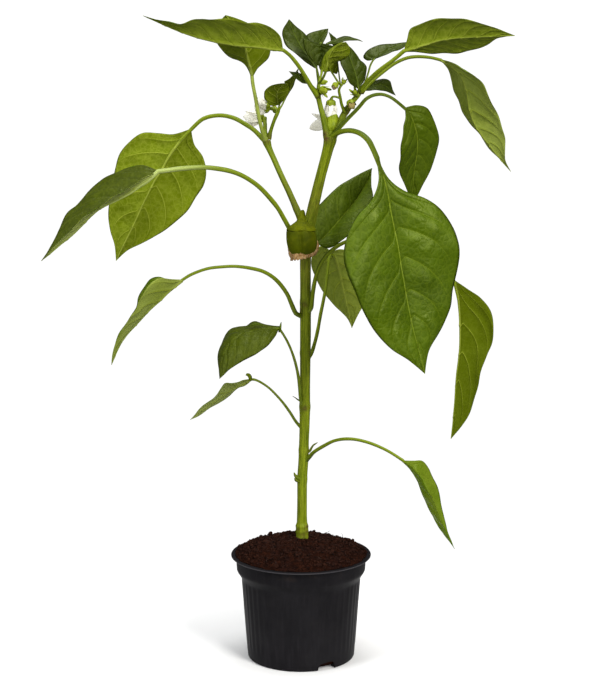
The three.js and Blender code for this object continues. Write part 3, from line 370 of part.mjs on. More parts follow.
const BUDS = [
  { name: 'bud_1', at: [15.4, -11, 486.51], axis: [0.817, -0.397, -0.417], rows: [[0, 0], [1.48, 0.23], [2.97, 1.89], [3.3, 3.77], [3.04, 5.44], [1.98, 6.95], [0, 7.55]], stalk: [[14.2, -8.3, 484.41, 1.3], [15.88, -11.3, 486.28, 1.2]] },
  { name: 'bud_2', at: [28.94, -11, 491.36], axis: [-0.393, -0.29, -0.872], rows: [[0, 0], [1.12, 0.21], [2.25, 1.72], [2.5, 3.44], [2.3, 4.96], [1.5, 6.34], [0, 6.89]], stalk: [[32.96, -7.2, 489, 0.8], [31.03, -9, 491.31, 0.8], [28.78, -11, 490.47, 0.9]] },
  { name: 'bud_3', at: [15.19, -7, 490.86], axis: [0.96, 0.209, 0.187], rows: [[0, 0], [0.9, 0.22], [1.8, 1.79], [2, 3.59], [1.84, 5.17], [1.2, 6.6], [0, 7.18]], stalk: [[14.53, -7.6, 489.25, 1], [16, -7, 491.02, 1.1]] },
  { name: 'bud_4', at: [40.26, -2.5, 476.41], axis: [0.207, -0.704, -0.68], rows: [[0, 0], [1.62, 0.28], [3.24, 2.31], [3.6, 4.62], [3.31, 6.65], [2.16, 8.5], [0, 9.24]], stalk: [[41.67, 3, 473.43, 1.4], [40.61, -2, 475.66, 1.5]] },
  { name: 'bud_5', at: [45.73, 2, 480.83], axis: [-0.351, -0.788, 0.506], rows: [[0, 0], [1.08, 0.23], [2.16, 1.9], [2.4, 3.81], [2.21, 5.48], [1.44, 7], [0, 7.61]], stalk: [[46.24, 5, 479.5, 1.3], [45.63, 1.5, 481.01, 1.3]] },
  { name: 'bud_6', at: [-20.87, 16, 465.92], axis: [-0.245, 0.738, 0.629], rows: [[0, 0], [1.03, 0.26], [2.07, 2.2], [2.3, 4.4], [2.12, 6.34], [1.38, 8.1], [0, 8.81]], stalk: [[-19, 13.2, 465.13, 0.9], [-21.04, 17, 466.62, 0.9]] },
  { name: 'bud_7', at: [34.06, -5.4, 490], axis: [0.409, 0.425, 0.807], rows: [[0, 0], [0.81, 0.13], [1.62, 1.12], [1.8, 2.24], [1.66, 3.22], [1.08, 4.11], [0, 4.47]], stalk: [[33.05, -6.6, 488.58, 0.8], [34.22, -5.2, 490.32, 0.9]] },
];

const FRUIT = { at: [0.21, -14, 380.74], axis: [-0.0173, -0.0605, -0.998], body: [[0, 3.4], [4.5, 3.6], [8.2, 5.6], [11, 9.5], [12.2, 15], [12.5, 20], [11.6, 25], [9.8, 28.5], [8.2, 29.6], [0, 29]], cap: [[0, 0], [3, 0.2], [5.6, 1.6], [9, 4.6], [11.4, 8.6], [11.75, 9.4], [11.1, 9.1], [8.3, 5.2], [4.6, 3.1], [0, 2.9]], capEdge: 5, withered: [[8.4, 30.2], [10.4, 29.3], [12.9, 26.6], [13.5, 27], [12.6, 30.2], [10, 32.6], [7.6, 32.8], [4.5, 31.6], [4.5, 30.7]], stalk: [[2.48, 2, 368.26, 1.5], [2.47, -3, 376.31, 1.4], [2.12, -8, 383.46, 1.4], [1.29, -11.5, 385.87, 1.5], [0.46, -13.6, 384.01, 1.8], [0.21, -14, 379.91, 2.4]] };

const SIDE_SHOOTS = [
  { name: 'side_bud_left', tubes: [[[-0, 10, 153.51, 2.6], [-3, 8, 155.33, 2.4], [-4.89, 7, 157.34, 1.6], [-6, 7, 159.98, 0.5]], [[-0.86, 10, 151.75, 2], [-3.86, 7, 153.11, 1.9], [-5.4, 6, 155.12, 0.6]]] },
  { name: 'side_shoot_right', tubes: [[[4.71, 11, 176.62, 1.8], [7.53, 9.5, 178.46, 1.5], [8.9, 8.5, 181.15, 1.2], [10.51, 7.5, 183.74, 1], [12.38, 6.5, 185.28, 0.8], [14.17, 6, 186.62, 0.3]]] },
  { name: 'side_spike_left', tubes: [[[-0.01, 10, 221.43, 1], [-2.56, 9, 223.11, 0.8], [-5.12, 8.5, 225.12, 0.5], [-7.42, 8, 226.61, 0.2]]] },
];

// ---------------------------------------------------------------- pot and soil
const Rl = RIM_D / 2, Rc = COLLAR_D / 2, Rb = BODY_TOP_D / 2, Rf = BASE_D / 2;
const potProfile = [
  [0, 0], [Rf - 1.4, 0], [Rf - 0.4, 0.5], [Rf, 1.8], [Rf + 0.4, 8], [Rb, COLLAR_Z - 7], [Rb + 0.7, COLLAR_Z - 5],
  [Rc - 1, COLLAR_Z + 0.8], [Rc - 0.4, POT_H - 5], [Rc, POT_H - LIP_T - 0.6], [Rl - 0.5, POT_H - LIP_T], [Rl, POT_H - LIP_T * 0.55], [Rl - 0.5, POT_H],
  [Rl - LIP_W, POT_H], [Rl - LIP_W - 0.5, POT_H - 0.6], [Rc - WALL - 0.2, POT_H - 5], [Rc - WALL - 1, COLLAR_Z + 1.6], [Rb - WALL, COLLAR_Z - 5.4],
  [Rb - WALL - 0.2, COLLAR_Z - 8], [Rf + 0.4 - WALL, 8], [Rf - WALL - 0.4, FLOOR + 1.4], [Rf - WALL - 1.8, FLOOR], [0, FLOOR],
];
let pot = turned(potProfile, 44);
for (const deg of NOTCH_AT) {
  const w = NOTCH_W / 2;
  const pts = [[-w, -2], [w, -2], [w * 0.92, NOTCH_H * 0.55], [w * 0.62, NOTCH_H * 0.93], [w * 0.25, NOTCH_H], [-w * 0.7, NOTCH_H * 0.86], [-w, NOTCH_H * 0.2]];
  const cut = new wasm.CrossSection([pts]).extrude(NOTCH_DEPTH + 6);
  // extrusion runs along the outward bearing
  const b = (deg * Math.PI) / 180, out = [Math.sin(b), -Math.cos(b), 0], side = [Math.cos(b), Math.sin(b), 0];
  const start = Rf - NOTCH_DEPTH;
  const body = cut.warp((p) => {
    const q = add(mul(out, start + p[2]), add(mul(side, p[0]), [0, 0, p[1]]));
    p[0] = q[0]; p[1] = q[1]; p[2] = q[2];
  });
  pot = pot.subtract(body);
}

const lump = (x, y) => 0.55 * Math.sin(x * 0.31 + 1.1) * Math.cos(y * 0.27) + 0.45 * Math.sin(x * 0.13 - y * 0.19 + 2.0) + 0.3 * Math.sin(y * 0.47 + x * 0.21);
const soilProfile = [
  [0, FLOOR + CLEAR], [Rf - WALL - 2.4, FLOOR + CLEAR], [Rf - WALL - 0.8, FLOOR + 2], [Rf + 0.4 - WALL - CLEAR - 0.1, 8], [Rb - WALL - 0.2 - CLEAR - 0.1, COLLAR_Z - 8],
  [Rb - WALL - CLEAR - 0.1, COLLAR_Z - 5.2], [Rc - WALL - 1 - CLEAR - 0.1, COLLAR_Z + 1.8], [Rc - WALL - 0.2 - CLEAR - 0.15, POT_H - 5],
  [Rc - WALL - 0.3 - CLEAR - 0.3, SOIL_RIM_Z], [50, SOIL_RIM_Z + 2.2], [42, SOIL_RIM_Z + 5.2], [32, SOIL_RIM_Z + 8.2], [21, SOIL_RIM_Z + 10.4], [10, SOIL_TOP_Z - 0.4], [0, SOIL_TOP_Z],
];
let soil = turned(soilProfile, 36, (r, z, a, i) => {
  const x = r * Math.cos(a), y = r * Math.sin(a);
  return [x, y, i > 8 ? z + lump(x, y) : z];
});

// ---------------------------------------------------------------- stems
const grown = {};
const T = (name, sides, count, flute = 0) => {
  grown[name] = tube(STEMS[name], sides, count, CLEAR, CLEAR);
  return tube(STEMS[name], sides, count, 0, 0, flute);
};
const body = {};
body.main_stem = T('main_stem', STEM_SIDES, 20, 0.035);
body.branch_right = T('branch_right', 10, 10, 0.04);
body.branch_left = T('branch_left', TWIG_SIDES, 10);
body.shoot_left = T('shoot_left', 7, 6);
body.shoot_right_front = T('shoot_right_front', TWIG_SIDES, 8);
body.shoot_right_back = T('shoot_right_back', TWIG_SIDES, 8);
body.flower_stalk_right = T('flower_stalk_right', 7, 6);
soil = soil.subtract(grown.main_stem);
// each younger axis is cut back to clear the older ones it springs from
const older = {
  branch_right: ['main_stem'], branch_left: ['main_stem', 'branch_right'], shoot_left: ['branch_left'],
  shoot_right_front: ['branch_right'], shoot_right_back: ['branch_right', 'shoot_right_front'], flower_stalk_right: ['shoot_right_back', 'branch_right'],
};
function biggest(m, again = true) {
  const parts = m.decompose();
  let best = parts[0];
  for (const p of parts) if (p.volume() > best.volume()) best = p;
  return again ? biggest(best.setTolerance(0.05).simplify(0.05), false) : best;
}
for (const [k, list] of Object.entries(older)) {
  for (const o of list) body[k] = body[k].subtract(grown[o]);
  body[k] = biggest(body[k]);
}
const woody = Object.values(grown);

// ---------------------------------------------------------------- leaves
// One skin runs from the leaf stalk into the blade: eight points a ring, which are
// margin, upper quarter, upper rib, upper quarter, margin, lower quarter, rib keel, lower quarter.
function leaf(L) {
  const rings = [];
  const nP = L.petioleRings, nB = L.bladeRings;
  const up0 = L.up;
  const pts = [];
  for (let i = 0; i < nP; i++) pts.push(curve(L.stalk, i / (nP - 1)));
  const bl = [];
  for (let i = 1; i <= nB; i++) {
    const t = i / (nB + 0.35), s = t * (2 - t) * 0.35 + t * 0.65;
    bl.push({ t: s, M: curve(L.rib, s), A: curve(L.marginA, s), B: curve(L.marginB, s) });
  }
  // stalk rings are turned so that their points line up with the first blade ring
  const f0 = bladeFrame(L, 0.06, up0);
  let u = f0.side, nrm = f0.up;
  const back = [];
  for (let i = nP - 1; i >= 0; i--) {
    const t = unit(sub(pts[Math.min(i + 1, nP - 1)], pts[Math.max(i - 1, 0)]).slice(0, 3));
    u = unit(sub(u, mul(t, dot(u, t)))); nrm = unit(sub(nrm, add(mul(t, dot(nrm, t)), mul(u, dot(nrm, u)))));
    const r = pts[i][3], ring = [];
    for (let j = 0; j < 8; j++) {
      const a = (j / 8) * 2 * Math.PI;
      ring.push(add(pts[i].slice(0, 3), add(mul(u, -r * Math.cos(a)), mul(nrm, r * Math.sin(a)))));
    }
    back.unshift(ring);
  }
  rings.push(...back);
  for (const { t, M, A, B } of bl) {
    const f = bladeFrame(L, Math.min(Math.max(t, 0.02), 0.97), up0);
    const taper = Math.min(1, (1.02 - t) / 0.25);
    const q = BLADE_T * 0.5 * Math.max(taper, 0.3) * L.thin, k = (RIB_T * Math.pow(1 - t, 1.1) + 0.5) * L.thin, top = 0.45 * L.thin;
    const nA = f.upA, nB2 = f.upB;
    const am = add(mix(M, A, 0.5), mul(nA, L.arch * len(sub(A, M)))), bm = add(mix(M, B, 0.5), mul(nB2, L.arch * len(sub(B, M))));
    rings.push([A, add(am, mul(nA, q)), add(M, mul(f.up, top * Math.max(taper, 0.3))), add(bm, mul(nB2, q)), B,
      add(bm, mul(nB2, -q)), add(M, mul(f.up, -k)), add(am, mul(nA, -q))]);
  }
  return solid(loft(rings, curve(L.rib, 1), 4));
}
function bladeFrame(L, t, sgn) {
  const e = 0.03;
  const T = unit(sub(curve(L.rib, Math.min(t + e, 1)), curve(L.rib, Math.max(t - e, 0))));
  const M = curve(L.rib, t), A = curve(L.marginA, t), B = curve(L.marginB, t);
  const side = unit(sub(B, A));
  const up = mul(unit(cross(T, side)), sgn);
  const upA = mul(unit(cross(T, unit(sub(M, A)))), sgn), upB = mul(unit(cross(T, unit(sub(B, M)))), sgn);
  return { T, side, up, upA, upB };
}
// leaf stalks that spring from the same spot: the second is cut back to clear the first
const SHARED_ROOT = [
  ['leaf_left_2', 'leaf_left_3'], ['leaf_right_1', 'leaf_right_4'], ['leaf_right_5', 'leaf_right_6'], ['leaf_right_5', 'leaf_top_5'],
  ['leaf_right_5', 'leaf_top_7'], ['leaf_right_6', 'leaf_top_7'], ['leaf_right_6', 'leaf_top_8'], ['leaf_top_7', 'leaf_top_8'], ['leaf_top_1', 'leaf_top_2'],
  ['leaf_top_1', 'leaf_top_6'], ['leaf_top_2', 'leaf_top_6'], ['leaf_top_3', 'leaf_top_6'], ['leaf_top_12', 'leaf_top_13'], ['leaf_top_3', 'leaf_top_4'], ['leaf_top_1', 'leaf_top_3'],
];
const stalks = [];
const stalkGrown = (name) => tube(LEAVES[name].stalk.slice(0, -1), 8, LEAVES[name].petioleRings + 2, CLEAR + 0.15, CLEAR);
for (const [name, L] of Object.entries(LEAVES)) {
  let m = leaf(L);
  for (const g of woody) m = m.subtract(g);
  for (const [a, b] of SHARED_ROOT) if (b === name) m = m.subtract(stalkGrown(a));
  body[name] = biggest(m);
  stalks.push(stalkGrown(name));
}

// ---------------------------------------------------------------- flowers, buds and the young fruit
// a thin bell or star about +Z; rows [r, z, lobe] run up the outside, the inside follows t deeper
function bell(rows, t, segs, lobes, depth) {
  const fn = (inner) => (r, z, a, lobe) => {
    const w = Math.pow(Math.abs(Math.cos((a * lobes) / 2)), 1.3);
    const k = 1 - lobe * depth * (1 - w);
    return [r * k * Math.cos(a), r * k * Math.sin(a), z - lobe * 0.4 * depth * r * (1 - w) + (inner ? 0 : 0)];
  };
  const outer = rows, inner = rows.slice().reverse().map(([r, z, l], i) => [Math.max(r - t, i === rows.length - 1 ? 0 : 0.2), z + (i === 0 ? 0.05 : t * 0.6), l]);
  const prof = [], lob = [];
  for (const [r, z, l] of outer) { prof.push([r, z]); lob.push(l); }
  for (const [r, z, l] of inner) { prof.push([r, z]); lob.push(l); }
  prof[0][0] = 0; prof[prof.length - 1][0] = 0;
  return turned(prof, segs, (r, z, a, i) => (r < 1e-6 ? [0, 0, z] : fn(false)(r, z, a, lob[i])));
}
function stalkTo(rows, sides, count) { return tube(rows, sides, count); }

for (const F of FLOWERS) {
  const calyx = placed(bell([[0, 0, 0], [F.cr * 0.5, 0.1, 0], [F.cr * 0.86, F.ch * 0.35, 0], [F.cr, F.ch * 0.75, 0.15], [F.cr * 1.06, F.ch, 1]], 0.7, 15, 5, 0.16), F.at, F.axis, F.spin);
  const seat = F.seat || add(F.at, mul(unit(F.axis), 0.9)), face = F.face || F.axis;
  const coro = placed(bell(F.rows, 0.6, F.lobes * 4, F.lobes, F.cut), seat, face, F.spin + 0.3);
  const stalk = stalkTo(F.stalk, 6, 5);
  let c = calyx.add(stalk);
  if (F.neck) c = c.add(stalkTo(F.neck, 6, 4));
  for (const g of woody.concat(stalks)) c = c.subtract(g);
  body[F.name + '_calyx'] = biggest(c);
  body[F.name + '_petals'] = coro;
}
for (const B of BUDS) {
  const rows = B.rows;
  let m = placed(turned(rows, 8), B.at, B.axis);
  if (B.stalk) m = m.add(stalkTo(B.stalk, 6, 3));
  for (const g of woody.concat(stalks)) m = m.subtract(g);
  body[B.name] = biggest(m);
}
{
  const R = FRUIT;
  const ribbed = (r, z, a, i) => { const k = 1 + 0.05 * Math.cos(3 * a + 0.4) - 0.035 * Math.pow(Math.abs(Math.sin(1.5 * a)), 6); return [r * k * Math.cos(a), r * k * Math.sin(a), z]; };
  let f = placed(turned(R.body, 24, ribbed), R.at, R.axis);
  let cal = placed(turned(R.cap, 20, (r, z, a, i) => { const k = 1 + 0.05 * Math.cos(3 * a + 0.4); return [r * k * Math.cos(a), r * k * Math.sin(a), z + (i === R.capEdge ? 1.3 * Math.cos(5 * a) : 0)]; }), R.at, R.axis).add(tube(R.stalk, 7, 7));
  let ring = placed(turned(R.withered, 24, (r, z, a, i) => { const k = 1 + 0.05 * Math.cos(3 * a + 0.4) + (i > 2 && i < 6 ? 0.035 * (1 + Math.sin(7 * a)) : 0); return [r * k * Math.cos(a), r * k * Math.sin(a), z + (i > 3 && i < 7 ? 0.6 * Math.sin(4 * a + 1) : 0)]; }), R.at, R.axis);
  for (const g of woody) cal = cal.subtract(g);
  body.young_fruit = f; body.fruit_calyx = biggest(cal); body.fruit_withered_petals = ring;
}
for (const S of SIDE_SHOOTS) {
  let m = null;
  for (const rows of S.tubes) { const t = tube(rows, 6, Math.max(4, rows.length)); m = m ? m.add(t) : t; }
  for (const g of woody) m = m.subtract(g);
  body[S.name] = biggest(m);
}
body.pot = pot;
body.soil = soil;

// ---------------------------------------------------------------- materials and the assembled group
const look = {
  pot: [0x262528, 0.5], soil: [0x2e1913, 0.95], stem: [0x5f7d1c, 0.55], leaf: [0x355c14, 0.45], leaf_pale: [0x6f8a2a, 0.5],
  calyx: [0x8aa32f, 0.55], petals: [0xe9e6d6, 0.6], fruit: [0x4a5a17, 0.35], withered: [0x8a5a34, 0.8], bud: [0x7c9430, 0.55],
};
function lookOf(name) {
  if (name === 'pot' || name === 'soil') return name;
  if (name.endsWith('_withered_petals')) return 'withered';
  if (name.endsWith('_petals')) return 'petals';
  if (name.endsWith('_calyx')) return 'calyx';
  if (name.startsWith('leaf')) return 'leaf';
  if (name === 'young_fruit') return 'fruit';
  if (name.startsWith('bud')) return 'bud';
  return 'stem';
}
const group = new THREE.Group();
group.name = 'potted_chilli_pepper_plant';
const order = ['pot', 'soil', ...Object.keys(body).filter((k) => k !== 'pot' && k !== 'soil')];
for (const name of order) {
  const m = body[name].getMesh();
  const geo = new THREE.BufferGeometry();
  const pos = new Float32Array(m.numVert * 3);
  for (let i = 0; i < m.numVert; i++) for (let k = 0; k < 3; k++) pos[i * 3 + k] = m.vertProperties[i * m.numProp + k];
  geo.setAttribute('position', new THREE.BufferAttribute(pos, 3));
  geo.setIndex(new THREE.BufferAttribute(new Uint32Array(m.triVerts), 1));
  geo.computeVertexNormals();
  const [color, roughness] = look[lookOf(name)];
  const mesh = new THREE.Mesh(geo, new THREE.MeshStandardMaterial({ color, roughness, metalness: 0 }));
  mesh.name = name;
  group.add(mesh);
}
export default group;
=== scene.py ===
import math
import numpy as np
import bpy, bmesh
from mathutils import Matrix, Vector


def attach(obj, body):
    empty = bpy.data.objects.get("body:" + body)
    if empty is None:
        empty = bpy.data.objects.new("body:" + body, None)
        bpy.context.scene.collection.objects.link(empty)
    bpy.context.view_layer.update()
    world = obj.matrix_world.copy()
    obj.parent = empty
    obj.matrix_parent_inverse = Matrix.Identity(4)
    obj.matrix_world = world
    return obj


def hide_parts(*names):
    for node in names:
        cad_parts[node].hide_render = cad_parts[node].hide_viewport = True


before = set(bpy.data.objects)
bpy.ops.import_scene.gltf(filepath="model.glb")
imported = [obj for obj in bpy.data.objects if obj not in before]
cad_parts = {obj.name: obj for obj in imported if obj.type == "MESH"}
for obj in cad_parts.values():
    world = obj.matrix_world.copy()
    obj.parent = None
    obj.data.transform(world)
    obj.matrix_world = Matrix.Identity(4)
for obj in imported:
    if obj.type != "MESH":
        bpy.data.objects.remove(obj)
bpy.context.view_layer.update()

# ---------------------------------------------------------------- tables in mm, the same as the frame's
STEMS = {
    "main_stem": [[0.83, 12.0, 79.0, 3.2], [1.03, 12.0, 88.0, 4.6], [1.13, 12.0, 97.89, 5.6], [1.13, 12.0, 105.04, 5.2], [1.04, 12.0, 116.63, 4.5], [1.12, 11.5, 134.55, 4.3], [1.2, 11.0, 152.38, 4.35], [2.23, 10.5, 170.14, 4.3], [2.74, 10.0, 187.82, 4.2], [3.24, 9.5, 205.41, 4.3], [3.4, 9.0, 222.94, 4.45], [3.56, 9.0, 240.29, 4.4], [3.63, 8.5, 266.28, 4.5], [3.79, 8.0, 292.1, 4.6], [3.61, 7.5, 317.77, 4.5], [3.59, 7.0, 343.27, 4.6], [4.17, 6.5, 360.21, 4.9], [4.16, 6.0, 372.03, 5.2]],
    "branch_left": [[2.07, 6.0, 369.51, 3.2], [-0.02, 6.5, 377.02, 3.0], [-4.21, 8.0, 386.93, 2.7], [-10.06, 10.0, 400.15, 2.5], [-16.75, 12.0, 414.2, 2.4], [-23.01, 14.0, 428.24, 2.4], [-26.77, 15.0, 436.5, 2.6], [-28.85, 15.5, 442.3, 2.9]],
    "branch_right": [[6.25, 5.0, 369.62, 4.6], [8.33, 4.0, 378.94, 4.7], [10.8, 2.0, 390.0, 4.6], [14.08, -1.0, 404.41, 4.4], [17.75, -4.0, 419.54, 4.3], [21.39, -7.0, 433.74, 4.5], [23.41, -8.0, 442.0, 4.8], [24.22, -8.0, 446.92, 4.6]],
    "shoot_left": [[-27.17, 15.5, 443.96, 1.7], [-25.06, 15.0, 451.46, 1.5], [-22.52, 14.0, 458.97, 1.45], [-20.0, 13.0, 464.81, 1.6], [-18.32, 12.5, 468.13, 1.2]],
    "shoot_right_front": [[21.75, -8.0, 446.1, 2.7], [20.08, -8.5, 454.3, 2.5], [17.84, -9.0, 464.11, 2.3], [15.53, -9.0, 473.06, 2.1], [14.12, -9.0, 480.37, 2.1], [14.28, -8.0, 486.83, 1.6], [14.69, -7.0, 492.48, 1.3]],
    "shoot_right_back": [[25.9, -6.0, 446.81, 2.9], [29.66, -2.0, 454.79, 2.7], [34.23, 1.0, 462.85, 2.6], [38.38, 3.0, 469.33, 2.4], [42.95, 5.0, 475.82, 2.2], [47.09, 6.0, 480.7, 2.1], [49.56, 6.5, 484.78, 1.9]],
    "flower_stalk_right": [[36.25, 0.0, 466.99, 1.5], [33.52, -3.0, 472.84, 1.25], [32.14, -5.0, 479.43, 1.15], [31.11, -6.0, 485.15, 1.1], [33.12, -7.0, 489.24, 0.9]],
}
